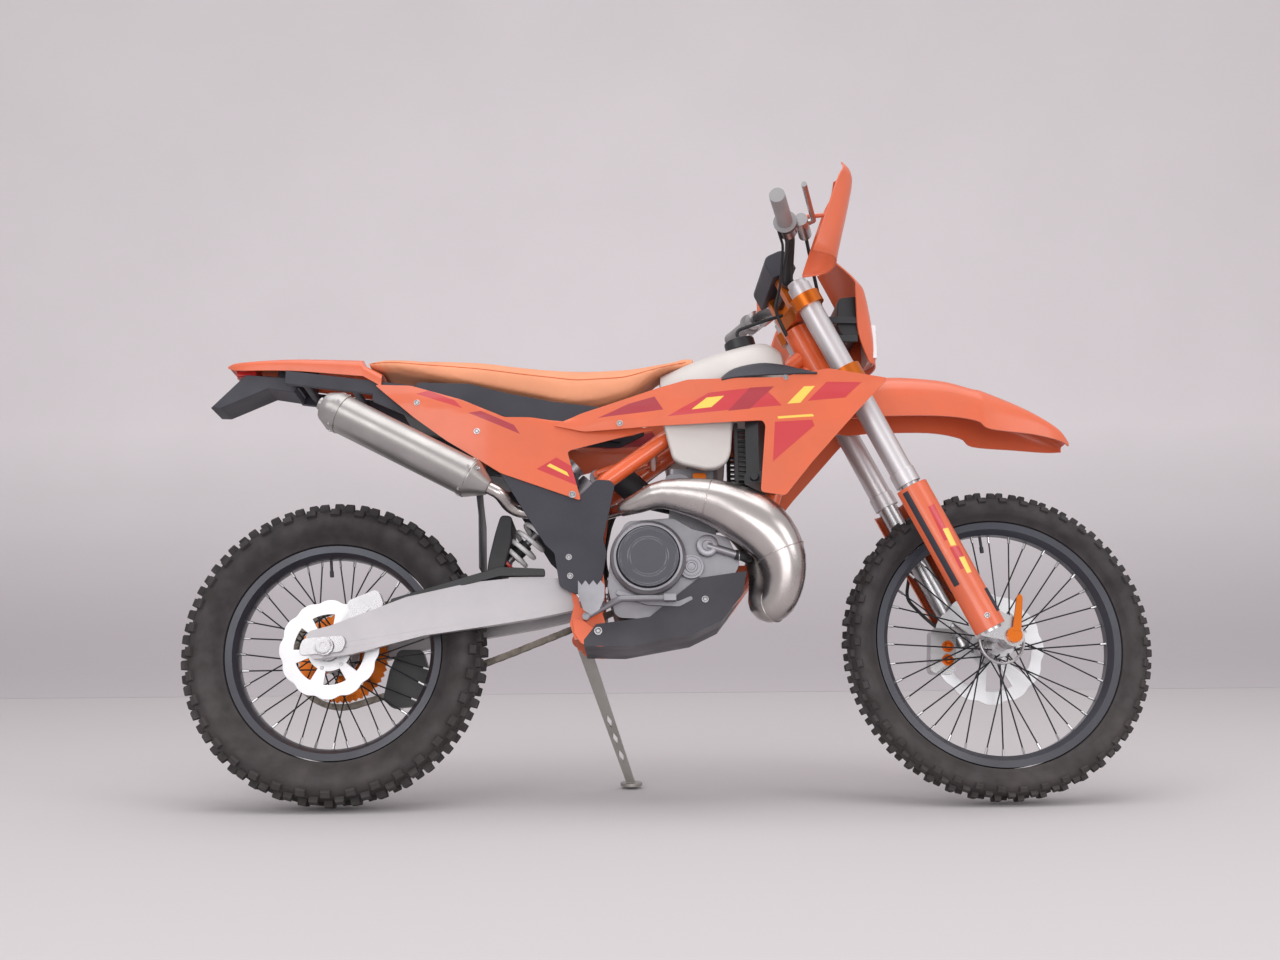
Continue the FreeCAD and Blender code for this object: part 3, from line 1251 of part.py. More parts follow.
def channel(stations, wall):
    """An upside-down trough through (x, half width, low edge, crown) stations."""
    outer = []
    inner = []
    for x, half, low, crown in stations:
        shoulder = crown - (crown - low) * CHANNEL_SHOULDER_SHARE
        flat = half * CHANNEL_CROWN_SHARE
        outer.append([point(x, -half, low), point(x, -half, shoulder), point(x, -flat, crown),
                      point(x, flat, crown), point(x, half, shoulder), point(x, half, low)])
        half_in = half - wall
        low_in = low - wall
        flat_in = half_in * CHANNEL_CROWN_SHARE
        shoulder_in = shoulder - wall * CHANNEL_INNER_SHARE
        inner.append([point(x, -half_in, low_in), point(x, -half_in, shoulder_in),
                      point(x, -flat_in, crown - wall), point(x, flat_in, crown - wall),
                      point(x, half_in, shoulder_in), point(x, half_in, low_in)])
    return loft(outer).cut(loft(inner))


def front_fender():
    return channel(FRONT_FENDER_STATIONS, FENDER_WALL)


def mask_section(z, back, front, half, corner_back):
    """One level of the mask: back edges, corners and a flat nose."""
    corner = front - corner_back
    side = half * MASK_CORNER_SHARE
    nose = half * MASK_NOSE_SHARE
    return [point(back, -half, z), point(corner, -side, z), point(front, -nose, z),
            point(front, nose, z), point(corner, side, z), point(back, half, z)]


def headlight_mask():
    outer = []
    inner = []
    for z, back, front, half in MASK_STATIONS:
        corner_back = (front - back) * MASK_DEPTH_SHARE
        outer.append(mask_section(z, back, front, half, corner_back))
        inner.append(mask_section(z, back - MASK_WALL, front - MASK_WALL, half - MASK_WALL, corner_back))
    shell = loft(outer).cut(loft(inner))
    window = box_at(point(LENS_X, 0, (LENS_LOW + LENS_TOP) / 2), OVERRUN, 2 * LENS_HALF, LENS_TOP - LENS_LOW)
    tabs = []
    for side in (-1, 1):
        for height in MASK_TAB_HEIGHTS:
            tabs.append(Part.makeBox(MASK_TAB_FRONT - MASK_TAB_BACK, MASK_WALL, MASK_TAB_TALL,
                                     point(MASK_TAB_BACK, side * MASK_TAB_Y - MASK_WALL / 2, height)))
    bore = FORK_TUBE_RADIUS + SEAT_GAP
    tubes = [Part.makeCylinder(bore, FORK_TUBE_TOP, point(CLAMP_OFFSET, side * FORK_HALF, 0))
             for side in (-1, 1)]
    return joined([shell.cut(window)] + tabs).cut(head_placed(Part.makeCompound(tubes)))


def headlight_lens():
    tall = LENS_TOP - LENS_LOW - 2 * SEAT_GAP
    half = LENS_HALF - SEAT_GAP
    outline = [point(LENS_X - LENS_DEPTH, -half, 0), point(LENS_X, -half, 0),
               point(LENS_X + LENS_BULGE, 0, 0), point(LENS_X, half, 0), point(LENS_X - LENS_DEPTH, half, 0)]
    glass = face_of(outline).extrude(point(0, 0, tall))
    return placed(glass, point(0, 0, LENS_LOW + SEAT_GAP))


def caliper(length, height, centre, tilt_deg, axle, disc_radius):
    """A block that straddles the disc's edge, cut by the disc and the room it needs."""
    block = Part.makeBox(length, CALIPER_WIDTH, height, point(-length / 2, -CALIPER_WIDTH / 2, -height / 2))
    block = block.makeFillet(CALIPER_CORNER, edges_along(block, Y_WAY))
    block.rotate(ORIGIN, Y_WAY, -tilt_deg)
    slot = Part.makeCylinder(disc_radius + CALIPER_CLEARANCE, CALIPER_SLOT,
                             point(axle.x, centre.y - CALIPER_SLOT / 2, axle.z), Y_WAY)
    return placed(block, centre).cut(slot)


def rear_caliper():
    """The caliper over the disc and its stay, held between the arm and the axle's spacer."""
    axle = rear_centre()
    centre = axle + point(REAR_CALIPER_X, REAR_DISC_Y, REAR_CALIPER_RISE)
    block = caliper(REAR_CALIPER_LENGTH, REAR_CALIPER_HEIGHT, centre, REAR_CALIPER_TILT_DEG, axle,
                    REAR_DISC_RADIUS)
    near = axle + point(0, REAR_STAY_FROM_Y, 0)
    thick = REAR_STAY_TO_Y - REAR_STAY_FROM_Y
    eye = Part.makeCylinder(REAR_STAY_RADIUS, thick, near, Y_WAY)
    way = point(centre.x - axle.x, 0, centre.z - axle.z)
    way.normalize()
    across = point(-way.z, 0, way.x) * REAR_STAY_HALF
    far = near + point(REAR_CALIPER_X, 0, REAR_CALIPER_RISE)
    arm = face_of([near - across, near + across, far + across, far - across]).extrude(point(0, thick, 0))
    hole = Part.makeCylinder(AXLE_NUT_RADIUS + SEAT_GAP, thick, near, Y_WAY)
    return joined([block, eye, arm]).cut(hole)


def front_caliper(legs, guards):
    """The caliper behind the left leg, on two stays that end on the leg's lug."""
    centre = front_centre() + point(-FRONT_CALIPER_BACK, FRONT_DISC_Y, -FRONT_CALIPER_DROP)
    block = caliper(FRONT_CALIPER_LENGTH, FRONT_CALIPER_HEIGHT, centre, -FRONT_CALIPER_TILT_DEG,
                    front_centre(), FRONT_DISC_RADIUS)
    stays = []
    for level in (-1, 1):
        middle = centre + point(FRONT_STAY_LENGTH / 2, CALIPER_WIDTH / 2 - FRONT_STAY_WIDTH / 2 + SEAT_GAP,
                                (level + 1) * FRONT_STAY_TALL)
        stays.append(box_at(middle, FRONT_STAY_LENGTH, FRONT_STAY_WIDTH, FRONT_STAY_TALL))
    return joined([block] + stays).cut(legs).cut(guards)


def steering_nodes():
    legs = fork_legs()
    guards = fork_guards(legs)
    calliper = front_caliper(legs, guards)
    nodes = {
        "triple_clamps": triple_clamps(),
        "fork_tubes": fork_tubes(),
        "fork_legs": legs,
        "fork_guards": guards,
        "front_axle": front_axle(),
        "handlebar": handlebar(),
        "grips": grips(),
        "hand_controls": hand_controls(),
        "hand_guards": hand_guards(),
        "bar_pad": bar_pad(),
        "headlight_mask": headlight_mask(),
        "headlight_lens": headlight_lens(),
        "front_fender": front_fender(),
        "front_caliper": calliper,
        "brake_hose": brake_hose(calliper, legs, guards),
        "throttle_cables": throttle_cables(),
    }
    return nodes


def beam_tubes(extra):
    """Backbone and the two beams down to the side plates, as wide as asked for beyond their size."""
    split = point(SPLIT_X, 0, SPLIT_HEIGHT)
    tubes = [rod(head_point(0, 0, BACKBONE_START), split, BEAM_RADIUS + extra)]
    for side in (-1, 1):
        beam = [split, point(BEAM_TOP_X, side * BEAM_Y, BEAM_TOP_HEIGHT),
                point(BEAM_LOW_X, side * BEAM_Y, BEAM_LOW_HEIGHT),
                point(PLATE_BACK + PLATE_LENGTH / 2, side * BEAM_Y, BEAM_FOOT_HEIGHT)]
        tubes.append(bent_tube(beam, FRAME_BEND, BEAM_RADIUS + extra))
    return tubes


def lower_tubes(extra):
    """Down tube and the two rails under the engine, as wide as asked for beyond their size."""
    low = head_point(0, 0, DOWN_TUBE_START)
    fork = point(FORK_X, 0, FORK_HEIGHT)
    tubes = [rod(low, fork, DOWN_TUBE_RADIUS + extra)]
    for side in (-1, 1):
        rail = [fork, point(RAIL_FRONT_X, side * RAIL_Y, RAIL_FRONT_HEIGHT),
                point(RAIL_KNEE_X, side * RAIL_Y, RAIL_KNEE_HEIGHT),
                point(RAIL_LOW_X, side * RAIL_Y, RAIL_LOW_HEIGHT)]
        tubes.append(bent_tube(rail, FRAME_BEND, TUBE_RADIUS + extra))
    return tubes


def down_tube_at(height):
    """Place of the down tube's middle line at a height."""
    low = head_point(0, 0, DOWN_TUBE_START)
    share = (height - FORK_HEIGHT) / (low.z - FORK_HEIGHT)
    return point(FORK_X + (low.x - FORK_X) * share, 0, height)


def main_frame(cases):
    """Head tube, backbone, two beams to the side plates, down tube, lower rails and stand bracket."""
    head = rod(head_point(0, 0, HEAD_TUBE_LOW), head_point(0, 0, HEAD_TUBE_TOP), HEAD_RADIUS)
    parts = [head] + lower_tubes(0) + beam_tubes(0)
    for side in (-1, 1):
        outline = spread(PLATE_SHARES, PLATE_BACK, PLATE_LOW, PLATE_LENGTH, PLATE_HEIGHT)
        near = side * (PLATE_Y - PLATE_WALL / 2)
        parts.append(slab(outline, near, near + side * PLATE_WALL))
    parts.append(rod(point(RAIL_LOW_X, -RAIL_Y, RAIL_LOW_HEIGHT), point(RAIL_LOW_X, RAIL_Y, RAIL_LOW_HEIGHT),
                     TUBE_RADIUS))
    reach = PLATE_Y + PLATE_WALL / 2 + PIVOT_HEAD
    parts.append(rod(point(PIVOT_X, -reach, PIVOT_HEIGHT), point(PIVOT_X, reach, PIVOT_HEIGHT), PIVOT_RADIUS))
    for side in (-1, 1):
        parts.append(rod(point(PIVOT_X, side * (reach - PIVOT_HEAD), PIVOT_HEIGHT),
                         point(PIVOT_X, side * reach, PIVOT_HEIGHT), PIVOT_HEAD_RADIUS))
    top = shock_ends()[1]
    cross_x = BEAM_TOP_X + (BEAM_LOW_X - BEAM_TOP_X) * SHOCK_CROSS_SHARE
    cross_z = BEAM_TOP_HEIGHT + (BEAM_LOW_HEIGHT - BEAM_TOP_HEIGHT) * SHOCK_CROSS_SHARE
    parts.append(rod(point(cross_x, -BEAM_Y, cross_z), point(cross_x, BEAM_Y, cross_z), SHOCK_CROSS_RADIUS))
    parts.append(rod(top - point(0, SHOCK_EAR_Y, 0), top + point(0, SHOCK_EAR_Y, 0), SHOCK_PIN_RADIUS))
    for side in (-1, 1):
        aside = top.y + side * SHOCK_EAR_Y
        parts.append(rod(point(top.x, aside, top.z), point(cross_x, aside, cross_z), SHOCK_EAR_WALL))
    hanger = point(CASE_BACK + CASE_LENGTH, 0, HANGER_Z)
    parts.append(box_at(hanger, HANGER_LENGTH, HANGER_WIDTH, HANGER_HEIGHT))
    parts.append(stand_bracket())
    stem_bore = rod(head_point(0, 0, 0), head_point(0, 0, HEAD_TUBE_TOP), STEM_RADIUS + STEM_GAP)
    return joined(parts).cut(stem_bore).cut(cases)


def engine_cases():
    outline = spread(CASE_SHARES, CASE_BACK, CASE_LOW, CASE_LENGTH, CASE_HEIGHT)
    body = slab(outline, CASE_RIGHT_Y, CASE_LEFT_Y, CASE_CORNER)
    shaft = drum(COUNTERSHAFT_X, CASE_LEFT_Y, COUNTER_SHAFT_END, COUNTERSHAFT_HEIGHT, COUNTER_SHAFT_RADIUS)
    return joined([body, shaft])


def drum(x, y_from, y_to, z, radius):
    return Part.makeCylinder(radius, abs(y_to - y_from), point(x, min(y_from, y_to), z), Y_WAY)


def engine_covers():
    """Clutch cover, round cover and water pump on the right, ignition cover on the left."""
    spout_y = (CASE_RIGHT_Y + PUMP_Y - PUMP_SPOUT_RADIUS) / 2
    spout = rod(point(PUMP_X, spout_y, PUMP_HEIGHT),
                point(PUMP_SPOUT_END_X, spout_y, PUMP_HEIGHT - PUMP_SPOUT_DROP), PUMP_SPOUT_RADIUS)
    right = joined([drum(CLUTCH_X, CASE_RIGHT_Y, CLUTCH_Y + COVER_STEP, CLUTCH_HEIGHT, CLUTCH_RADIUS),
                    drum(CLUTCH_X, CASE_RIGHT_Y, CLUTCH_Y, CLUTCH_HEIGHT, CLUTCH_FACE_RADIUS),
                    drum(ROUND_COVER_X, CASE_RIGHT_Y, ROUND_COVER_Y, ROUND_COVER_HEIGHT, ROUND_COVER_RADIUS),
                    drum(PUMP_X, CASE_RIGHT_Y, PUMP_Y, PUMP_HEIGHT, PUMP_RADIUS), spout])
    face_radius = IGNITION_RADIUS - COVER_STEP
    left = joined([drum(IGNITION_X, CASE_LEFT_Y, IGNITION_Y - COVER_STEP, IGNITION_HEIGHT, IGNITION_RADIUS),
                   drum(IGNITION_X, CASE_LEFT_Y, IGNITION_Y, IGNITION_HEIGHT, face_radius)])
    return Part.makeCompound([right, left])


def cylinder(cases):
    """Barrel, wider head with rounded corners, plug and the boss where the exhaust starts."""
    barrel_width = 2 * CYLINDER_HALF
    head_width = 2 * CYLINDER_HEAD_HALF
    tall = CYLINDER_TOP - CYLINDER_LOW
    barrel = box_at(point(0, 0, tall / 2), barrel_width, barrel_width, tall)
    head = box_at(point(0, 0, tall + CYLINDER_HEAD_HEIGHT / 2), head_width, head_width, CYLINDER_HEAD_HEIGHT)
    head = head.makeFillet(CYLINDER_CORNER, edges_along(head, Z_WAY))
    plug = Part.makeCylinder(PLUG_RADIUS, PLUG_HEIGHT, point(0, 0, tall + CYLINDER_HEAD_HEIGHT))
    level = EXHAUST_PORT_HEIGHT - CYLINDER_LOW
    port = rod(point(CYLINDER_HALF - EXHAUST_BOSS_LENGTH, 0, level),
               point(CYLINDER_HALF + EXHAUST_BOSS_LENGTH, 0, level), EXHAUST_BOSS_RADIUS)
    return placed(joined([barrel, head, plug, port]), point(CYLINDER_X, 0, CYLINDER_LOW)).cut(cases)


def between(before, start, end, after, share):
    """A value on the smooth line through four neighbours, part of the way from start to end."""
    leave = (end - before) / 2
    arrive = (after - start) / 2
    bend = 3 * (end - start) - 2 * leave - arrive
    twist = leave + arrive - 2 * (end - start)
    return start + share * (leave + share * (bend + share * twist))


def chamber_rings():
    """Circles along the chamber's line, all started on the same side so that the wall isn't twisted."""
    stations = []
    last = len(CHAMBER_STATIONS) - 1
    for index in range(last):
        near = [CHAMBER_STATIONS[min(max(index + move, 0), last)] for move in (-1, 0, 1, 2)]
        for step in range(CHAMBER_STEPS):
            stations.append([between(*values, step / CHAMBER_STEPS) for values in zip(*near)])
    stations.append(CHAMBER_STATIONS[-1])
    centres = [point(x, y, z) for x, y, z, radius in stations]
    across = Y_WAY
    rings = []
    for index, centre in enumerate(centres):
        ahead = centres[min(index + 1, len(centres) - 1)] - centres[max(index - 1, 0)]
        ahead.normalize()
        across = across - ahead * across.dot(ahead)
        across.normalize()
        circle = Part.makeCircle(stations[index][-1])
        turn = FreeCAD.Rotation(across, ahead.cross(across), ahead, "ZXY")
        circle.Placement = FreeCAD.Placement(centre, turn)
        rings.append(Part.Wire(circle))
    return rings


def expansion_chamber(barrel):
    """The swelling exhaust of a two-stroke, built from cone segments along its loop."""
    body = Part.makeLoft(chamber_rings(), True, True)
    start = point(*CHAMBER_STATIONS[-1][:3])
    end = point(*SILENCER_FRONT)
    way = point(*SILENCER_BACK) - end
    way.normalize()
    places = [point(*place) for place in TAIL_PIPE_PLACES]
    route = [start] + places + [end - way * TAIL_PIPE_RUN, end - way * SEAT_GAP]
    return body.fuse(bent_tube(route, TAIL_PIPE_BEND, TAIL_PIPE_RADIUS)).cut(barrel)


def silencer():
    """An oval can between a tapered nose and a stepped end cap."""
    start = point(*SILENCER_FRONT)
    end = point(*SILENCER_BACK)
    way = end - start
    length = way.Length
    way.normalize()
    across = Y_WAY
    up = way.cross(across)
    up.normalize()

    def ring(along, share):
        spots = []
        for side in range(SILENCER_SIDES):
            angle = 2 * math.pi * side / SILENCER_SIDES
            spots.append(start + way * along + across * (SILENCER_WIDE * share * math.cos(angle))
                         + up * (SILENCER_TALL * share * math.sin(angle)))
        return spots

    neck = SILENCER_NECK_RADIUS / SILENCER_WIDE
    body = loft([ring(0, neck), ring(SILENCER_NOSE, 1), ring(length - SILENCER_CAP, 1),
                 ring(length, SILENCER_END_SHARE)])
    outlet = rod(end, end + way * SILENCER_OUTLET, SILENCER_OUTLET_RADIUS)
    return joined([body, outlet])


def subframe():
    parts = []
    for side in (-1, 1):
        near = side * (SUBFRAME_Y - SUBFRAME_WALL / 2)
        for front, back in ((SUBFRAME_TOP_FRONT, SUBFRAME_TOP_BACK), (SUBFRAME_LOW_FRONT, SUBFRAME_LOW_BACK)):
            half = SUBFRAME_BEAM / 2
            outline = [(front[0], front[1] - half), (front[0], front[1] + half),
                       (back[0], back[1] + half), (back[0], back[1] - half)]
            parts.append(slab(outline, near, near + side * SUBFRAME_WALL))
    for share in SUBFRAME_CROSS_SHARES:
        x = SUBFRAME_TOP_FRONT[0] + (SUBFRAME_TOP_BACK[0] - SUBFRAME_TOP_FRONT[0]) * share
        z = SUBFRAME_TOP_FRONT[1] + (SUBFRAME_TOP_BACK[1] - SUBFRAME_TOP_FRONT[1]) * share
        parts.append(rod(point(x, -SUBFRAME_Y, z), point(x, SUBFRAME_Y, z), SUBFRAME_CROSS_RADIUS))
    crown = crown_at(FENDER_TAIL_STATIONS, TAIL_POST_X + TAIL_POST_LENGTH / 2) - REAR_FENDER_WALL - SEAT_GAP
    corner = point(TAIL_POST_X - TAIL_POST_LENGTH / 2, -TAIL_POST_HALF, SUBFRAME_TOP_BACK[1])
    parts.append(Part.makeBox(TAIL_POST_LENGTH, 2 * TAIL_POST_HALF, crown - corner.z, corner))
    return joined(parts)


def chain_space():
    """The room that the chain's two runs need beside the swingarm and in the guide."""
    reach = CHAIN_OUTER_HALF + CHAIN_CLEARANCE
    half = CHAIN_HEIGHT / 2 + CHAIN_CLEARANCE
    ahead = [pin for pin in chain_route() if 0 < pin.x < COUNTERSHAFT_X]
    ahead.sort(key=lambda pin: pin.x)
    rooms = []
    for upper in (True, False):
        run = [pin for pin in ahead if (pin.z > chain_middle(pin.x)) == upper]
        outline = [(pin.x, pin.z - half) for pin in run] + [(pin.x, pin.z + half) for pin in reversed(run)]
        rooms.append(slab(outline, CHAIN_LINE_Y - reach, CHAIN_LINE_Y + reach))
    return Part.makeCompound(rooms)


def chain_middle(x):
    """Height of the line from the rear axle to the front sprocket."""
    return REAR_AXLE_HEIGHT + (COUNTERSHAFT_HEIGHT - REAR_AXLE_HEIGHT) * x / COUNTERSHAFT_X


def swingarm():
    """Two deep arms that taper to the axle, with a bridge ahead of the tyre."""
    outline = spread(SWINGARM_SHARES, SWINGARM_BACK, SWINGARM_LOW, SWINGARM_LENGTH, SWINGARM_HEIGHT)
    front = SWINGARM_BACK + SWINGARM_LENGTH
    parts = []
    for side in (-1, 1):
        blank = slab(outline, 0, side * OVERRUN, SWINGARM_CORNER)
        plan = [(SWINGARM_BACK, SWINGARM_REAR_INNER), (SWINGARM_BACK, SWINGARM_REAR_OUTER),
                (front, SWINGARM_FRONT_OUTER), (front, SWINGARM_FRONT_INNER),
                (SWINGARM_KNEE_X, SWINGARM_REAR_INNER)]
        band = face_of([point(x, side * y, 0) for x, y in plan]).extrude(point(0, 0, OVERRUN * 2))
        parts.append(blank.common(band))
    bridge = box_at(point(SWINGARM_BRIDGE_X, 0, SWINGARM_BRIDGE_HEIGHT), SWINGARM_BRIDGE_LENGTH,
                    2 * (SWINGARM_FRONT_OUTER - SUBFRAME_WALL), SWINGARM_BRIDGE_TALL)
    parts.append(bridge)
    foot = shock_ends()[0]
    for side in (-1, 1):
        aside = foot.y + side * (SHOCK_EYE_WIDTH / 2 + SEAT_GAP + SHOCK_EAR_WALL / 2)
        tall = foot.z + CLEVIS_RISE - SWINGARM_BRIDGE_HEIGHT
        parts.append(box_at(point(foot.x, aside, SWINGARM_BRIDGE_HEIGHT + tall / 2),
                            3 * SHOCK_PIN_RADIUS, SHOCK_EAR_WALL, tall))
    reach = point(0, SHOCK_EYE_WIDTH / 2 + SHOCK_EAR_WALL, 0)
    parts.append(rod(foot - reach, foot + reach, SHOCK_PIN_RADIUS))
    pivot = Part.makeCylinder(PIVOT_RADIUS * 2, 2 * SWINGARM_FRONT_OUTER,
                              point(PIVOT_X, -SWINGARM_FRONT_OUTER, PIVOT_HEIGHT), Y_WAY)
    bores = [Part.makeCylinder(PIVOT_RADIUS, OVERRUN, point(PIVOT_X, -OVERRUN / 2, PIVOT_HEIGHT), Y_WAY),
             Part.makeCylinder(AXLE_RADIUS, OVERRUN, rear_centre() - point(0, OVERRUN / 2, 0), Y_WAY)]
    whole = joined(parts + [pivot]).cut(Part.makeCompound(bores))
    return whole.cut(chain_space())


def rear_axle():
    """The axle with its nut, its spacers and an adjuster block on each arm."""
    centre = rear_centre()
    end = SWINGARM_REAR_OUTER + ADJUSTER_WALL
    shaft = rod(centre - point(0, end, 0), centre + point(0, end, 0), AXLE_RADIUS)
    parts = [shaft]
    for side in (-1, 1):
        face = centre + point(0, side * end, 0)
        parts.append(rod(face, face + point(0, side * AXLE_NUT_WALL, 0), AXLE_NUT_RADIUS))
    spacer_right = rod(centre + point(0, REAR_DISC_Y - DISC_WALL / 2 - DISC_END_GAP, 0),
                       centre - point(0, SWINGARM_REAR_INNER, 0), AXLE_NUT_RADIUS)
    spacer_left = rod(centre + point(0, CHAIN_LINE_Y + SPROCKET_WALL / 2 + DISC_END_GAP, 0),
                      centre + point(0, SWINGARM_REAR_INNER, 0), AXLE_NUT_RADIUS)
    return joined(parts + [spacer_right, spacer_left])


def shock_ends():
    return point(*SHOCK_FOOT), point(*SHOCK_TOP)


def shock_absorber():
    foot, top = shock_ends()
    way = top - foot
    length = way.Length
    way.normalize()
    body_start = foot + way * (length * SHOCK_BODY_SHARE)
    parts = [rod(foot, top, SHOCK_ROD_RADIUS), rod(body_start, top - way * SHOCK_BODY_END, SHOCK_BODY_RADIUS)]
    for end in (foot, top):
        near = end - point(0, SHOCK_EYE_WIDTH / 2, 0)
        parts.append(Part.makeCylinder(SHOCK_EYE_RADIUS, SHOCK_EYE_WIDTH, near, Y_WAY))
    can_top = point(SHOCK_CAN_X, SHOCK_CAN_Y, SHOCK_CAN_HEIGHT)
    can = rod(can_top, can_top - way * SHOCK_CAN_LENGTH, SHOCK_CAN_RADIUS)
    neck = rod(can_top - way * (SHOCK_CAN_LENGTH / 2), top - way * (SHOCK_CAN_LENGTH / 2), SHOCK_ROD_RADIUS)
    bores = [Part.makeCylinder(SHOCK_PIN_RADIUS + SEAT_GAP, SHOCK_EYE_WIDTH,
                               end - point(0, SHOCK_EYE_WIDTH / 2, 0), Y_WAY) for end in (foot, top)]
    return joined(parts + [can, neck]).cut(Part.makeCompound(bores))


def shock_spring():
    """The spring's turns on its sleeve, as rings."""
    foot, top = shock_ends()
    way = top - foot
    length = way.Length
    way.normalize()
    start = length * SPRING_FROM_SHARE
    end = length * SPRING_TO_SHARE
    pitch = (end - start) / SPRING_TURNS
    inner = SHOCK_BODY_RADIUS + SPRING_GAP
    profile = [(start, inner)]
    for turn in range(SPRING_TURNS):
        low = start + pitch * turn
        wire_from = low + (pitch - SPRING_WIRE) / 2
        face = [(wire_from + SPRING_WIRE * share, SPRING_RADIUS) for share in WIRE_FACE_SHARES]
        profile += [(wire_from, SPRING_RADIUS - SPRING_WIRE)] + face
        profile += [(wire_from + SPRING_WIRE, SPRING_RADIUS - SPRING_WIRE)]
    profile += [(end, inner)]
    return lathe(profile, foot, way)


def intake(barrel):
    """Reed block, throttle body and boot, in line from the cylinder back to the air box."""
    middle = point(INTAKE_X, 0, CYLINDER_LOW + INTAKE_RISE)
    start = point(CYLINDER_X, 0, middle.z - INTAKE_RADIUS)
    end = point(INTAKE_END_X, 0, middle.z + INTAKE_END_RISE)
    stub = rod(start, middle, INTAKE_RADIUS)
    bell = rod(middle, end, INTAKE_BELL_RADIUS)
    return joined([stub, bell]).cut(barrel)


def fuel_tank():
    """A narrow top between the beams and a lobe that hangs down on each side of the engine."""
    sections = []
    for x, half_top, half_low, low, top in TANK_TOP_STATIONS:
        middle = low + (top - low) * TANK_WAIST_SHARE
        foot = half_low * TANK_FOOT_SHARE
        sections.append([point(x, -foot, low), point(x, foot, low), point(x, half_low, middle),
                         point(x, half_top, top), point(x, -half_top, top), point(x, -half_low, middle)])
    lobes = []
    outline = spread(TANK_LOBE_SHARES, TANK_LOBE_BACK, TANK_LOBE_LOW, TANK_LOBE_LENGTH, TANK_LOBE_HEIGHT)
    back = TANK_LOBE_BACK + TANK_LOBE_CORNER
    front = TANK_LOBE_BACK + TANK_LOBE_LENGTH
    shelf = [(back, TANK_SHELF_LOW), (front, TANK_SHELF_LOW), (front, TANK_SHELF_TOP), (back, TANK_SHELF_TOP)]
    for side in (-1, 1):
        lobes.append(slab(outline, side * TANK_LOBE_INNER_Y, side * TANK_LOBE_OUTER_Y, TANK_LOBE_CORNER))
        lobes.append(slab(shelf, side * TANK_SHELF_Y, side * TANK_LOBE_OUTER_Y))
    return joined([loft(sections)] + lobes).cut(Part.makeCompound(beam_tubes(SEAT_GAP)))


def cap_seat():
    """Where the tank cap sits on the tank, and the way it points."""
    rise = crown_at(TANK_TOP_STATIONS, CAP_X + CAP_RADIUS) - crown_at(TANK_TOP_STATIONS, CAP_X - CAP_RADIUS)
    way = point(-rise, 0, 2 * CAP_RADIUS)
    way.normalize()
    return point(CAP_X, 0, crown_at(TANK_TOP_STATIONS, CAP_X)) + way * SEAT_GAP, way


def tank_cap():
    base, way = cap_seat()
    return Part.makeCylinder(CAP_RADIUS, CAP_HEIGHT, base, way)


def crown_at(stations, x):
    """Height of a lofted piece's top at a place along the bike; stations start with x and end with top."""
    for first, second in zip(stations, stations[1:]):
        if first[0] <= x <= second[0]:
            share = (x - first[0]) / (second[0] - first[0])
            return first[-1] + (second[-1] - first[-1]) * share
    return stations[-1][-1]


def shroud_inside(x):
    """Distance of the shroud's inner face from the bike's middle, at a place along the bike."""
    plan = spread(SHROUD_PLAN_SHARES, SHROUD_BACK, SHROUD_REAR_Y, SHROUD_LENGTH, SHROUD_BULGE)
    return crown_at(plan, x) - SHROUD_WALL


def radiators():
    """Two cores with header tanks, turned outer edge back, on stays from the down tube."""
    solids = []
    for side in (-1, 1):
        core = box_at(ORIGIN, RADIATOR_DEPTH, RADIATOR_WIDTH, RADIATOR_TALL)
        for end in (-1, 1):
            level = end * (RADIATOR_TALL - RADIATOR_TANK) / 2
            core = core.fuse(box_at(point(0, 0, level), RADIATOR_DEPTH + CLAMP_BOSS_WALL, RADIATOR_WIDTH,
                                    RADIATOR_TANK))
        core = placed(core, point(RADIATOR_X, side * RADIATOR_Y, RADIATOR_HEIGHT),
                      FreeCAD.Rotation(Z_WAY, side * RADIATOR_TURN_DEG))
        extras = []
        for end in (-1, 1):
            level = RADIATOR_HEIGHT + end * (RADIATOR_TALL - RADIATOR_TANK) / 2
            outside = shroud_inside(RADIATOR_BOSS_X - RADIATOR_BOSS_RADIUS) - SEAT_GAP
            extras.append(rod(point(RADIATOR_BOSS_X, side * RADIATOR_BOSS_Y, level),
                              point(RADIATOR_BOSS_X, side * outside, level), RADIATOR_BOSS_RADIUS))
            extras.append(rod(point(RADIATOR_STAY_X, side * RADIATOR_STAY_Y, level), down_tube_at(level),
                              RADIATOR_STAY_RADIUS))
        low = point(FORK_X, 0, FORK_HEIGHT)
        tube = rod(head_point(0, 0, DOWN_TUBE_START), low, DOWN_TUBE_RADIUS + SEAT_GAP)
        solids.append(joined([core] + extras).cut(tube))
    return Part.makeCompound(solids)


def curved_panel(outline, plan, wall, side):
    """A panel with a side outline, bowed outwards along a plan line of (x, y) points."""
    inner = [(x, y - wall) for x, y in plan]
    corners = [point(x, side * y, 0) for x, y in plan + inner[::-1]]
    strip = face_of(corners).extrude(point(0, 0, OVERRUN * 3))
    blank = slab(outline, 0, side * OVERRUN)
    return strip.common(blank)


def shroud(side):
    outline = spread(SHROUD_SHARES, SHROUD_BACK, SHROUD_LOW, SHROUD_LENGTH, SHROUD_HEIGHT)
    plan = spread(SHROUD_PLAN_SHARES, SHROUD_BACK, SHROUD_REAR_Y, SHROUD_LENGTH, SHROUD_BULGE)
    return curved_panel(outline, plan, SHROUD_WALL, side)


def side_panel(side):
    outline = spread(PANEL_SHARES, PANEL_BACK, PANEL_LOW, PANEL_LENGTH, PANEL_HEIGHT)
    plan = spread(PANEL_PLAN_SHARES, PANEL_BACK, PANEL_REAR_Y, PANEL_LENGTH, PANEL_BULGE)
    return curved_panel(outline, plan, PANEL_WALL, side)


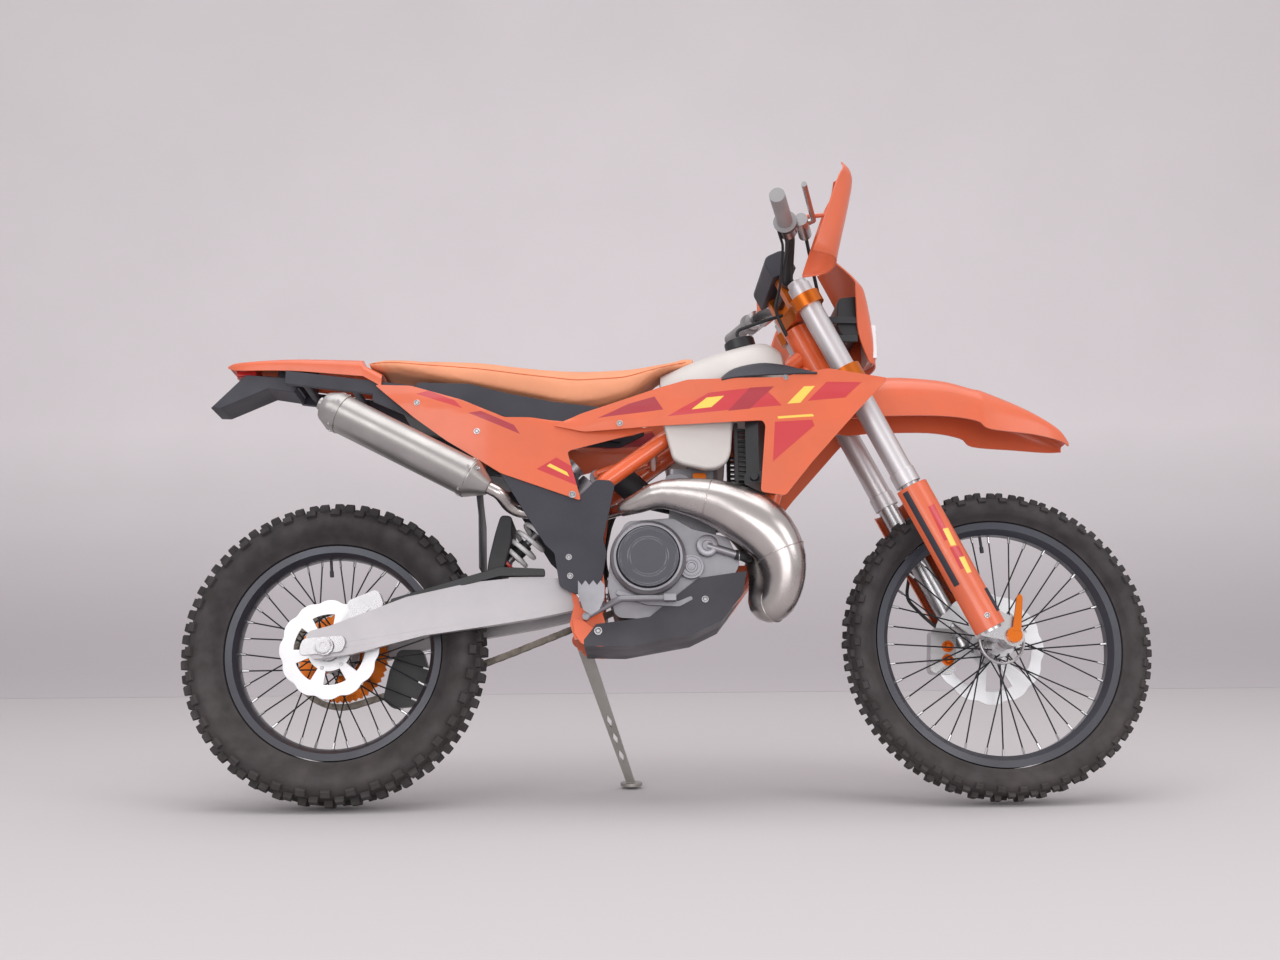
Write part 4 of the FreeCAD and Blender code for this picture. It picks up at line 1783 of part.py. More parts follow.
def seat():
    sections = []
    for x, half, low, top in SEAT_STATIONS + (SEAT_NOSE,):
        shoulder = low + (top - low) * SEAT_SHOULDER_SHARE
        side = half * SEAT_SIDE_SHARE
        crown = half * SEAT_CROWN_SHARE
        sections.append([point(x, -half, low), point(x, half, low), point(x, side, shoulder),
                         point(x, crown, top), point(x, -crown, top), point(x, -side, shoulder)])
    return loft(sections)


def rear_fender():
    return channel(FENDER_TAIL_STATIONS, REAR_FENDER_WALL)


def air_box():
    """The closed box under the seat, between the subframe's sides."""
    outline = spread(AIR_BOX_SHARES, AIR_BOX_BACK, AIR_BOX_LOW, AIR_BOX_LENGTH, AIR_BOX_HEIGHT)
    half = SUBFRAME_Y - SUBFRAME_WALL / 2 - SEAT_GAP
    return slab(outline, -half, half)


def plate_holder():
    outline = spread(PLATE_HOLDER_SHARES, PLATE_HOLDER_BACK, PLATE_HOLDER_LOW,
                     PLATE_HOLDER_LENGTH, PLATE_HOLDER_HEIGHT)
    body = slab(outline, -PLATE_HOLDER_HALF, PLATE_HOLDER_HALF)
    top = crown_at(FENDER_TAIL_STATIONS, PLATE_POST_X - PLATE_POST_LENGTH / 2) - REAR_FENDER_WALL - SEAT_GAP
    post = Part.makeBox(PLATE_POST_LENGTH, 2 * PLATE_POST_HALF, top - PLATE_POST_LOW,
                        point(PLATE_POST_X - PLATE_POST_LENGTH / 2, -PLATE_POST_HALF, PLATE_POST_LOW))
    return joined([body, post])


def tail_light():
    middle = point(LAMP_X, 0, (LAMP_LOW + LAMP_TOP) / 2)
    return box_at(middle, LAMP_LENGTH, 2 * LAMP_HALF, LAMP_TOP - LAMP_LOW)


def mud_flap():
    line = spread(FLAP_SHARES, FLAP_BACK, FLAP_LOW, FLAP_LENGTH, FLAP_HEIGHT)
    outline = line + [(x - FLAP_WALL, z) for x, z in reversed(line)]
    half = SUBFRAME_Y - SUBFRAME_WALL / 2 - SEAT_GAP
    return slab(outline, -half, half)


def skid_plate():
    """A trough under the engine, open on top."""
    outline = spread(SKID_SHARES, SKID_BACK, SKID_LOW, SKID_LENGTH, SKID_HEIGHT)
    block = slab(outline, -SKID_HALF, SKID_HALF)
    raised = [(x - SKID_WALL, z + SKID_WALL) for x, z in outline]
    raised[0] = (outline[0][0] - OVERRUN, outline[0][1] + SKID_WALL)
    raised[1] = (outline[0][0] - OVERRUN, outline[5][1] + OVERRUN)
    hollow = [raised[0], raised[1], (outline[5][0], outline[5][1] + OVERRUN)]
    hollow += [(x - SKID_WALL, z + SKID_WALL) for x, z in outline[5:]]
    inner = slab(hollow, -(SKID_HALF - SKID_WALL), SKID_HALF - SKID_WALL)
    return block.cut(inner).cut(Part.makeCompound(lower_tubes(SEAT_GAP)))


def frame_guards():
    outline = spread(GUARD_SHARES, GUARD_BACK, GUARD_LOW, GUARD_LENGTH, GUARD_HEIGHT)
    near = BEAM_Y + BEAM_RADIUS + SEAT_GAP
    solids = [slab(outline, side * near, side * (near + GUARD_WALL), GUARD_CORNER) for side in (-1, 1)]
    return Part.makeCompound(solids)


def foot_controls():
    """Both pegs, the brake pedal on the right plate and the shift lever on its shaft."""
    face = PLATE_Y + PLATE_WALL / 2 + SEAT_GAP
    solids = []
    for side in (-1, 1):
        middle = (PEG_INNER_Y + PEG_OUTER_Y) / 2
        peg = box_at(point(PEG_X, side * middle, PEG_HEIGHT), PEG_LENGTH, PEG_OUTER_Y - PEG_INNER_Y, PEG_TALL)
        hollow = box_at(point(PEG_X, side * middle, PEG_HEIGHT), PEG_LENGTH - PEG_PIN_RADIUS,
                        PEG_OUTER_Y - PEG_INNER_Y - PEG_PIN_RADIUS, OVERRUN)
        arm = rod(point(PEG_X, side * face, PEG_HEIGHT), point(PEG_X, side * PEG_INNER_Y, PEG_HEIGHT),
                  PEG_PIN_RADIUS)
        back = PEG_X - PEG_END_LENGTH / 2
        outline = spread(PEG_END_SHARES, back, PEG_END_LOW, PEG_END_LENGTH, PEG_END_HEIGHT)
        end = slab(outline, side * (PEG_OUTER_Y - PEG_END_WALL), side * PEG_OUTER_Y)
        solids.append(joined([peg.cut(hollow), arm, end]))
    pivot = point(*PEDAL_PIVOT)
    pedal = bent_tube([pivot, point(*PEDAL_KNEE), point(*PEDAL_TIP)], CONTROL_BEND, PEDAL_RADIUS)
    pad = box_at(point(*PEDAL_TIP), PEDAL_PAD, PEDAL_PAD, PEDAL_RADIUS * 2)
    pin = rod(point(pivot.x, -face, pivot.z), pivot - point(0, PEDAL_RADIUS, 0), PEG_PIN_RADIUS)
    solids.append(joined([pedal, pad, pin]))
    lever = point(*SHIFT_PIVOT)
    shift = bent_tube([lever, point(*SHIFT_KNEE), point(*SHIFT_TIP)], CONTROL_BEND, PEDAL_RADIUS)
    shaft = rod(point(lever.x, CASE_LEFT_Y + SEAT_GAP, lever.z), lever + point(0, PEDAL_RADIUS, 0),
                PEG_PIN_RADIUS)
    tip = point(*SHIFT_TIP)
    toe = rod(tip, tip + point(0, SHIFT_PAD_LENGTH, 0), PEDAL_RADIUS)
    solids.append(joined([shift, toe, shaft]))
    return Part.makeCompound(solids)


def front_sprocket():
    return sprocket(FRONT_TEETH, point(COUNTERSHAFT_X, CHAIN_LINE_Y, COUNTERSHAFT_HEIGHT),
                    COUNTER_SHAFT_RADIUS + SEAT_GAP)


def chain_guide(arm):
    outline = spread(GUIDE_SHARES, GUIDE_BACK, GUIDE_LOW, GUIDE_LENGTH, GUIDE_HEIGHT)
    block = slab(outline, CHAIN_LINE_Y - GUIDE_HALF, CHAIN_LINE_Y + GUIDE_HALF, GUIDE_CORNER)
    return block.cut(chain_space()).cut(arm)


def stand_ways():
    pivot = point(STAND_PIVOT_X, STAND_PIVOT_Y, STAND_PIVOT_HEIGHT)
    foot = point(STAND_FOOT_X, STAND_FOOT_Y, STAND_FOOT_HEIGHT)
    down = foot - pivot
    down.normalize()
    folded = point(-STAND_FOLD_BACK, STAND_FOLD_OUT, STAND_FOLD_UP)
    folded.normalize()
    axis = down.cross(folded)
    axis.normalize()
    return pivot, foot, down, folded, axis


def side_stand():
    """A flat leg with lozenge holes, an eye round its bolt and a foot that lies on the ground."""
    pivot, foot, down, folded, axis = stand_ways()
    across = axis.cross(down)
    length = (foot - pivot).Length
    back_face = axis * (STAND_WALL / 2)
    corners = [pivot + across * (STAND_WIDTH * end / 2) - back_face for end in (-1, 1)]
    corners += [foot + across * (STAND_WIDTH * end * STAND_TAPER_SHARE) - back_face for end in (1, -1)]
    leg = face_of(corners).extrude(axis * STAND_WALL)
    eye = rod(pivot - axis * (STAND_EYE_WALL / 2), pivot + axis * (STAND_EYE_WALL / 2), STAND_EYE_RADIUS)
    ground = upright_way()
    pad = rod(foot - ground * (STAND_FOOT_WALL / 2), foot + ground * (STAND_FOOT_WALL / 2), STAND_FOOT_RADIUS)
    holes = []
    for hole in range(STAND_HOLES):
        centre = pivot + down * (length * (STAND_HOLE_FROM_SHARE + STAND_HOLE_STEP_SHARE * hole))
        half = STAND_HOLE_LENGTH / 2
        wide = STAND_HOLE_WIDTH / 2
        rhomb = [centre + down * half, centre + across * wide, centre - down * half, centre - across * wide]
        rhomb = [spot - axis * STAND_WALL for spot in rhomb]
        holes.append(face_of(rhomb).extrude(axis * (2 * STAND_WALL)))
    reach = axis * STAND_EYE_WALL
    bore = rod(pivot - reach, pivot + reach, STAND_BOLT_RADIUS + STAND_BOLT_GAP)
    return joined([leg, eye, pad]).cut(Part.makeCompound(holes + [bore]))


def stand_bracket():
    """The boss beside the frame's left plate, the stand's bolt and its head."""
    pivot, foot, down, folded, axis = stand_ways()
    inner = STAND_EYE_WALL / 2 + STAND_SIDE_GAP
    boss = rod(pivot - axis * inner, pivot - axis * (inner + STAND_WALL), STAND_EYE_RADIUS)
    head = rod(pivot + axis * inner, pivot + axis * (inner + STAND_BOLT_HEAD), STAND_BOLT_HEAD_RADIUS)
    bolt = rod(pivot - axis * (inner + STAND_WALL), pivot + axis * (inner + STAND_BOLT_HEAD),
               STAND_BOLT_RADIUS)
    return joined([boss, head, bolt])


def upright_way():
    """The world's up, seen from the leaning bike."""
    lean = math.radians(LEAN_DEG)
    return point(0, -math.sin(lean), math.cos(lean))


def frame_nodes():
    arm = swingarm()
    cases = engine_cases()
    barrel = cylinder(cases)
    nodes = {
        "main_frame": main_frame(cases),
        "subframe": subframe(),
        "swingarm": arm,
        "rear_axle": rear_axle(),
        "shock_absorber": shock_absorber(),
        "shock_spring": shock_spring(),
        "engine_cases": cases,
        "engine_covers": engine_covers(),
        "cylinder": barrel,
        "intake": intake(barrel),
        "expansion_chamber": expansion_chamber(barrel),
        "silencer": silencer(),
        "fuel_tank": fuel_tank(),
        "tank_cap": tank_cap(),
        "breather_hose": breather_hose(),
        "radiators": radiators(),
        "shrouds": Part.makeCompound([shroud(-1), shroud(1)]),
        "side_panels": Part.makeCompound([side_panel(-1), side_panel(1)]),
        "seat": seat(),
        "air_box": air_box(),
        "rear_fender": rear_fender(),
        "plate_holder": plate_holder(),
        "tail_light": tail_light(),
        "mud_flap": mud_flap(),
        "skid_plate": skid_plate(),
        "frame_guards": frame_guards(),
        "foot_controls": foot_controls(),
        "drive_chain": drive_chain(),
        "front_sprocket": front_sprocket(),
        "chain_guide": chain_guide(arm),
        "rear_caliper": rear_caliper(),
    }
    return nodes


STEERED_WHEEL = ("front_tyre", "front_rim", "front_spokes", "front_hub", "front_disc")


def upright_nodes():
    """Every node on the upright bike, with the steering turned to where it rests."""
    nodes = frame_nodes()
    for name, shape in wheel_nodes().items():
        nodes[name] = steered(shape) if name in STEERED_WHEEL else shape
    for name, shape in steering_nodes().items():
        nodes[name] = steered(shape)
    nodes["side_stand"] = side_stand()
    return nodes


def resting_place(nodes):
    """The placement that leans the bike and puts the middle of its footprint at the origin."""
    lean = FreeCAD.Rotation(X_WAY, -LEAN_DEG)
    boxes = [placed(shape, ORIGIN, lean).BoundBox for shape in nodes.values()]
    low = min(box.ZMin for box in boxes)
    middle_x = (min(box.XMin for box in boxes) + max(box.XMax for box in boxes)) / 2
    middle_y = (min(box.YMin for box in boxes) + max(box.YMax for box in boxes)) / 2
    return FreeCAD.Placement(point(-middle_x, -middle_y, -low), lean)


def main():
    nodes = upright_nodes()
    place = resting_place(nodes)
    os.makedirs("parts", exist_ok=True)
    for name, shape in nodes.items():
        copy = placed(shape, place.Base, place.Rotation)
        copy.exportStep("parts/" + name + ".step")


if __name__ == "__main__":
    main()
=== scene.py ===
"""Looks of an enduro motorcycle on its side stand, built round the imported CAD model.

Every piece is modelled in millimetres on the upright bike, X forward from the rear axle, Y to the
left and Z up from the ground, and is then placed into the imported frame, where the bike leans and
its steering is turned a little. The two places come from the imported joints.
"""

import json
import logging
import math
from contextlib import contextmanager
from dataclasses import dataclass
from enum import Enum
from functools import cache
from typing import Callable, Iterable, Iterator, Optional, Sequence

import bmesh
import bpy
from mathutils import Matrix, Vector


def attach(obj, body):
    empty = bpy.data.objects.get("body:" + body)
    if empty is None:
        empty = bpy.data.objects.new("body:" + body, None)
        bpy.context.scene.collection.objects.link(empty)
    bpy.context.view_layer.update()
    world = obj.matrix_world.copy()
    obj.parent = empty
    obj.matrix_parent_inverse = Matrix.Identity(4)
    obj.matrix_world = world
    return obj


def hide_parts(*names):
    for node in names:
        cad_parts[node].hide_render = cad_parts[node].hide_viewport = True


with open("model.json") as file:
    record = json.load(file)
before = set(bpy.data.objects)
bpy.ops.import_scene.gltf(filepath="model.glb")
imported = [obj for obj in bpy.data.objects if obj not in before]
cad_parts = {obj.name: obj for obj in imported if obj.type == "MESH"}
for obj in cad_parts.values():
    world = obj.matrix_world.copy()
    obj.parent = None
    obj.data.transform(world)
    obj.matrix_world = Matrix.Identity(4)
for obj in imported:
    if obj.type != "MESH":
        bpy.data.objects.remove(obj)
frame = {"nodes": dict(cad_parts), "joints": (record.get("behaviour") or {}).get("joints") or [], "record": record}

LOG = logging.getLogger("enduro")
MM = 0.001
REAR_AXLE_HEIGHT = 342.0
RAKE_COS = 0.898
RAKE_SIN = 0.44
FULL_TURN = 2 * math.pi
STEERING_FOOT = (1436.8, 325.9)
END_FACE = 0.9
ROUND_DEG = 60.0
SHEET_DEG = 50.0
RIGHT, LEFT, BOTH = (-1,), (1,), (-1, 1)
NEIGHBOURS = (-1, 0, 1, 2)

Point = tuple[float, float, float]
Colour = tuple[int, int, int]


class Body(Enum):
    """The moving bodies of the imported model."""

    FRAME = "frame"
    STEERING = "steering"
    FRONT_WHEEL = "front_wheel"
    REAR_WHEEL = "rear_wheel"
    STAND = "side_stand"


@dataclass(frozen=True)
class Stance:
    """Where the upright bike, drawn in millimetres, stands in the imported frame.

    Args:
        leaned: place of what the frame carries.
        turned: place of what the steering carries.
    """

    leaned: Matrix
    turned: Matrix

    @classmethod
    def from_joints(cls, joints: Sequence[dict]) -> "Stance":
        """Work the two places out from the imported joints.

        Args:
            joints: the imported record's joints.

        Returns:
            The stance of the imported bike.
        """
        by_name = {joint["name"]: joint for joint in joints}
        rear, steer = by_name["rear_wheel_spin"], by_name["steering_turn"]
        left = Vector(rear["axis"]).normalized()
        axis = Vector(steer["axis"]).normalized()
        ahead = left.cross(axis).normalized()
        along = RAKE_COS * ahead - RAKE_SIN * axis
        upward = RAKE_SIN * ahead + RAKE_COS * axis
        basis = Matrix((along, left, upward)).transposed().to_4x4()
        origin = Vector(rear["pos_m"]) - upward * REAR_AXLE_HEIGHT * MM
        leaned = Matrix.Translation(origin) @ basis @ Matrix.Scale(MM, 4)
        front = Vector(by_name["front_wheel_spin"]["axis"]).normalized()
        angle = math.asin(-front.dot(ahead))
        pivot = Matrix.Translation(Vector(steer["pos_m"]))
        turn = pivot @ Matrix.Rotation(angle, 4, axis) @ pivot.inverted()
        return cls(leaned, turn @ leaned)

    def of(self, body: Body) -> Matrix:
        """The place of what a body carries."""
        return self.turned if body in (Body.STEERING, Body.FRONT_WHEEL) else self.leaned


# ---------------------------------------------------------------- bench


class Bench:
    """Modelling steps shared by all the pieces, done with Blender's own operators."""

    @staticmethod
    def free() -> None:
        """Deselect everything."""
        bpy.ops.object.select_all(action="DESELECT")

    @staticmethod
    def active(name: str) -> bpy.types.Object:
        """The object just added, renamed."""
        piece = bpy.context.active_object
        piece.name = name
        piece.data.name = name
        return piece

    @staticmethod
    def choose(pieces: Sequence[bpy.types.Object]) -> None:
        """Select these objects alone, the first of them active."""
        Bench.free()
        for piece in pieces:
            piece.select_set(True)
        bpy.context.view_layer.objects.active = pieces[0]

    @staticmethod
    @contextmanager
    def editing(piece: bpy.types.Object, select: str = "DESELECT") -> Iterator[None]:
        """Edit mode on one object, with all or nothing selected."""
        Bench.choose([piece])
        bpy.ops.object.mode_set(mode="EDIT")
        bpy.ops.mesh.select_all(action=select)
        yield
        bpy.ops.object.mode_set(mode="OBJECT")

    @staticmethod
    def pick(piece: bpy.types.Object, test: Callable[[Vector, Vector], bool]) -> None:
        """Select the faces of the object in edit mode whose centre and normal pass a test.

        Args:
            piece: the object in edit mode.
            test: takes a face's centre and normal.
        """
        bpy.ops.mesh.select_all(action="DESELECT")
        bpy.ops.object.mode_set(mode="OBJECT")
        for polygon in piece.data.polygons:
            polygon.select = test(polygon.center, polygon.normal)
        bpy.ops.object.mode_set(mode="EDIT")

    @staticmethod
    def box(name: str, centre: Point, size: Point) -> bpy.types.Object:
        """A box at its size and place, to be shaped further."""
        Bench.free()
        bpy.ops.mesh.primitive_cube_add(size=1, location=centre, scale=size)
        bpy.ops.object.transform_apply(location=True, rotation=True, scale=True)
        return Bench.active(name)

    @staticmethod
    def rod(name: str, start: Vector, end: Vector, radius: float, sides: int = 16) -> bpy.types.Object:
        """A round bar between two points, to be shaped further."""
        Bench.free()
        way = end - start
        turn = way.to_track_quat("Z", "Y").to_euler()
        bpy.ops.mesh.primitive_cylinder_add(
            vertices=sides, radius=radius, depth=way.length, location=(start + end) / 2, rotation=turn
        )
        bpy.ops.object.transform_apply(location=True, rotation=True, scale=True)
        return Bench.active(name)

    @staticmethod
    def linked(name: str, data: bpy.types.ID) -> bpy.types.Object:
        """A new object with this data, in the scene."""
        piece = bpy.data.objects.new(name, data)
        bpy.context.scene.collection.objects.link(piece)
        return piece

    @staticmethod
    def shell(name: str, points: Sequence[Point], faces: Sequence[Sequence[int]]) -> bpy.types.Object:
        """A piece from corner points and faces."""
        mesh = bpy.data.meshes.new(name)
        mesh.from_pydata([tuple(spot) for spot in points], [], [tuple(loop) for loop in faces])
        mesh.update()
        return Bench.linked(name, mesh)

    @staticmethod
    def drawn(name: str, rings: Sequence[Sequence[Point]], closed: bool = True) -> bpy.types.Object:
        """A skin extruded from one section to the next.

        Args:
            name: the piece's name.
            rings: sections of the same number of points.
            closed: whether each section is a loop with a face at both ends, or an open line.

        Returns:
            The skin, its faces turned outwards.
        """
        first = [tuple(spot) for spot in rings[0]]
        mesh = bpy.data.meshes.new(name)
        if closed:
            mesh.from_pydata(first, [], [tuple(range(len(first)))])
        else:
            mesh.from_pydata(first, [(i, i + 1) for i in range(len(first) - 1)], [])
        piece = Bench.linked(name, mesh)
        with Bench.editing(piece, "SELECT"):
            for before, after in zip(rings, rings[1:]):
                if closed:
                    bpy.ops.mesh.extrude_region_move()
                else:
                    bpy.ops.mesh.extrude_edges_move()
                Bench.reshape(piece, before, after)
            bpy.ops.mesh.select_all(action="SELECT")
            bpy.ops.mesh.normals_make_consistent(inside=False)
        return piece

    @staticmethod
    def reshape(piece: bpy.types.Object, before: Sequence[Point], after: Sequence[Point]) -> None:
        """Move the selected corners from one section's places to the next one's."""
        net = bmesh.from_edit_mesh(piece.data)
        spots = [Vector(spot) for spot in before]
        for corner in [vert for vert in net.verts if vert.select]:
            nearest = min(range(len(spots)), key=lambda k: (spots[k] - corner.co).length_squared)
            corner.co = after[nearest]
        bmesh.update_edit_mesh(piece.data)

    @staticmethod
    def plate(name: str, outline: Sequence[Point], way: Point) -> bpy.types.Object:
        """A flat outline extruded one way."""
        moved = [tuple(Vector(spot) + Vector(way)) for spot in outline]
        return Bench.drawn(name, [outline, moved])

    @staticmethod
    def merged(node: bpy.types.Object, name: str) -> bpy.types.Object:
        """A copy of a CAD node with its corners merged and its flat faces made whole."""
        piece = Bench.linked(name, node.data.copy())
        with Bench.editing(piece, "SELECT"):
            bpy.ops.mesh.remove_doubles(threshold=0.00002)
            bpy.ops.mesh.dissolve_limited(angle_limit=math.radians(0.6))
        return piece

    @staticmethod
    def spun(name: str, profile: Sequence[tuple[float, float]], steps: int, closed: bool = True) -> bpy.types.Object:
        """A profile spun once round the Y axis.

        Args:
            name: the piece's name.
            profile: pairs of place along Y and radius.
            steps: facets round the turn.
            closed: whether the profile's ends are joined.

        Returns:
            The ring, centred on the origin.
        """
        mesh = bpy.data.meshes.new(name)
        count = len(profile)
        edges = [(i, (i + 1) % count) for i in range(count if closed else count - 1)]
        mesh.from_pydata([(radius, y, 0) for y, radius in profile], edges, [])
        piece = Bench.linked(name, mesh)
        with Bench.editing(piece, "SELECT"):
            bpy.ops.mesh.spin(steps=steps, angle=FULL_TURN, center=(0, 0, 0), axis=(0, 1, 0))
            bpy.ops.mesh.select_all(action="SELECT")
            bpy.ops.mesh.remove_doubles(threshold=0.01)
            bpy.ops.mesh.normals_make_consistent(inside=False)
        return piece

    @staticmethod
    def cable(name: str, points: Sequence[Point], radius: float, sides: int = 4) -> bpy.types.Object:
        """A round tube along a smooth line, as a mesh."""
        curve = bpy.data.curves.new(name, "CURVE")
        curve.dimensions = "3D"
        spline = curve.splines.new("NURBS")
        spline.points.add(len(points) - 1)
        for control, spot in zip(spline.points, points):
            control.co = (*spot, 1)
        spline.order_u = 3
        spline.use_endpoint_u = True
        spline.resolution_u = 6
        curve.bevel_depth = radius
        curve.bevel_resolution = sides
        curve.use_fill_caps = True
        piece = Bench.linked(name, curve)
        Bench.choose([piece])
        bpy.ops.object.convert(target="MESH")
        return Bench.active(name)

    @staticmethod
    def walled(piece: bpy.types.Object, way: Point, wall: float, **values: object) -> None:
        """Turn an open sheet's faces so that on the whole they look one way, and thicken it behind them."""
        looks = sum(polygon.area * polygon.normal.dot(Vector(way)) for polygon in piece.data.polygons)
        if looks < 0:
            with Bench.editing(piece, "SELECT"):
                bpy.ops.mesh.flip_normals()
        Bench.modify(piece, "SOLIDIFY", thickness=wall, offset=-1.0, **values)

    @staticmethod
    def modify(piece: bpy.types.Object, kind: str, **values: object) -> None:
        """Add one modifier with these values and apply it."""
        Bench.choose([piece])
        modifier = piece.modifiers.new(kind.title(), kind)
        for key, value in values.items():
            setattr(modifier, key, value)
        bpy.ops.object.modifier_apply(modifier=modifier.name)

    @staticmethod
    def soften(piece: bpy.types.Object, width: float, segments: int = 2, angle_deg: float = 35.0) -> None:
        """Round the sharp edges and smooth the shading."""
        Bench.modify(
            piece,
            "BEVEL",
            width=width,
            segments=segments,
            limit_method="ANGLE",
            angle_limit=math.radians(angle_deg),
            use_clamp_overlap=True,
        )
        Bench.smooth(piece, max(angle_deg, 50.0))
        Bench.modify(piece, "WEIGHTED_NORMAL", keep_sharp=True, weight=50)

    @staticmethod
    def smooth(piece: bpy.types.Object, angle_deg: float = 35.0) -> None:
        """Shade a piece smooth up to an angle."""
        Bench.choose([piece])
        bpy.ops.object.shade_smooth_by_angle(angle=math.radians(angle_deg))

    @staticmethod
    def copies(master: bpy.types.Object, places: Iterable[Matrix], name: str) -> bpy.types.Object:
        """Copy a piece to each place and join the copies.

        Args:
            master: the piece that repeats; it is removed.
            places: where each copy goes.
            name: the name of the joined piece.

        Returns:
            The joined piece.
        """
        made = []
        for place in places:
            copy = master.copy()
            copy.data = master.data.copy()
            copy.data.transform(place)
            bpy.context.scene.collection.objects.link(copy)
            made.append(copy)
        bpy.data.objects.remove(master)
        return Bench.joined(made, name)

    @staticmethod
    def joined(pieces: Sequence[bpy.types.Object], name: str) -> bpy.types.Object:
        """Join pieces into one object."""
        Bench.choose(pieces)
        if len(pieces) > 1:
            bpy.ops.object.join()
        return Bench.active(name)

    @staticmethod
    def fit(piece: bpy.types.Object, place: Matrix) -> bpy.types.Object:
        """Move a piece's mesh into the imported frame."""
        piece.data.transform(place)
        piece.data.update()
        return piece


def rounded(ring: Sequence[Point], times: int = 2, closed: bool = True, share: float = 0.25) -> list[Vector]:
    """Cut a section's corners again and again, so that it turns smoothly."""
    spots = [Vector(spot) for spot in ring]
    for _ in range(times):
        count = len(spots)
        cut = [] if closed else [spots[0]]
        for index in range(count if closed else count - 1):
            start, end = spots[index], spots[(index + 1) % count]
            if closed or index > 0:
                cut.append(start.lerp(end, share))
            if closed or index < count - 2:
                cut.append(start.lerp(end, 1 - share))
        spots = cut if closed else cut + [spots[-1]]
    return spots


def filleted(ring: Sequence[Point], reach: float, steps: int = 4) -> list[Vector]:
    """Round an outline's corners over a fixed reach, less where its sides are short."""
    spots = [Vector(spot) for spot in ring]
    made = []
    for index, corner in enumerate(spots):
        back, ahead = spots[index - 1] - corner, spots[(index + 1) % len(spots)] - corner
        near = min(reach, 0.45 * back.length, 0.45 * ahead.length)
        start, end = back.normalized() * near, ahead.normalized() * near
        shares = [step / steps for step in range(steps + 1)]
        made += [corner + (1 - share) ** 2 * start + share**2 * end for share in shares]
    return made


def neighbours(items: Sequence, index: int) -> list:
    """The item at a place with the one before and the two after it, repeated at the ends."""
    return [items[min(max(index + move, 0), len(items) - 1)] for move in NEIGHBOURS]


def between(before: Vector, start: Vector, end: Vector, after: Vector, share: float) -> Vector:
    """A place, or a number, on the smooth line through four of them, between the middle two."""
    leave, arrive = (end - before) / 2, (after - start) / 2
    bend = 3 * (end - start) - 2 * leave - arrive
    twist = leave + arrive - 2 * (end - start)
    return start + share * (leave + share * (bend + share * twist))


def eased(rings: Sequence[Sequence[Vector]], steps: int) -> list[list[Vector]]:
    """Sections with more between them, on smooth lines through the given ones."""
    made = []
    for index in range(len(rings) - 1):
        near = neighbours(rings, index)
        for step in range(steps):
            made.append([between(*spots, step / steps) for spots in zip(*near)])
    made.append(list(rings[-1]))
    return made


def head_place() -> Matrix:
    """From places ahead of, beside and along the steering axis to the upright bike."""
    x, z = STEERING_FOOT
    return Matrix(((RAKE_COS, 0, -RAKE_SIN, x), (0, 1, 0, 0), (RAKE_SIN, 0, RAKE_COS, z), (0, 0, 0, 1)))


def toward(spot: Point, way: Point) -> Matrix:
    """A place whose Z axis points one way."""
    return Matrix.Translation(spot) @ Vector(way).to_track_quat("Z", "Y").to_matrix().to_4x4()


def around(radius: float, angle: float, aside: float = 0.0) -> Vector:
    """A place at a radius and an angle round an axis across the bike, from the +X side upwards."""
    return Vector((radius * math.cos(angle), aside, radius * math.sin(angle)))


def spin_place(angle: float, centre: Vector) -> Matrix:
    """A turn round the wheel axis through a centre, from the +X side upwards."""
    return Matrix.Translation(centre) @ Matrix.Rotation(-angle, 4, "Y")


# ---------------------------------------------------------------- finishes


def linear(colour: Colour) -> tuple[float, float, float, float]:
    """A display colour from 0 to 255 as a linear one."""
    shares = [part / 255 for part in colour]
    return (*[((s + 0.055) / 1.055) ** 2.4 if s > 0.04045 else s / 12.92 for s in shares], 1.0)


class Net:
    """A shader node tree, with short ways to add and join nodes."""

    def __init__(self, tree: bpy.types.NodeTree) -> None:
        """Work on this tree."""
        self.tree = tree

    def add(self, kind: str, **values: object) -> bpy.types.Node:
        """Add a node and set its inputs or its own settings."""
        node = self.tree.nodes.new(kind)
        for key, value in values.items():
            name = key.replace("_", " ")
            if name in node.inputs:
                node.inputs[name].default_value = value
            else:
                setattr(node, key, value)
        return node

    def join(self, source: bpy.types.NodeSocket, target: bpy.types.NodeSocket) -> None:
        """Link two sockets."""
        self.tree.links.new(source, target)


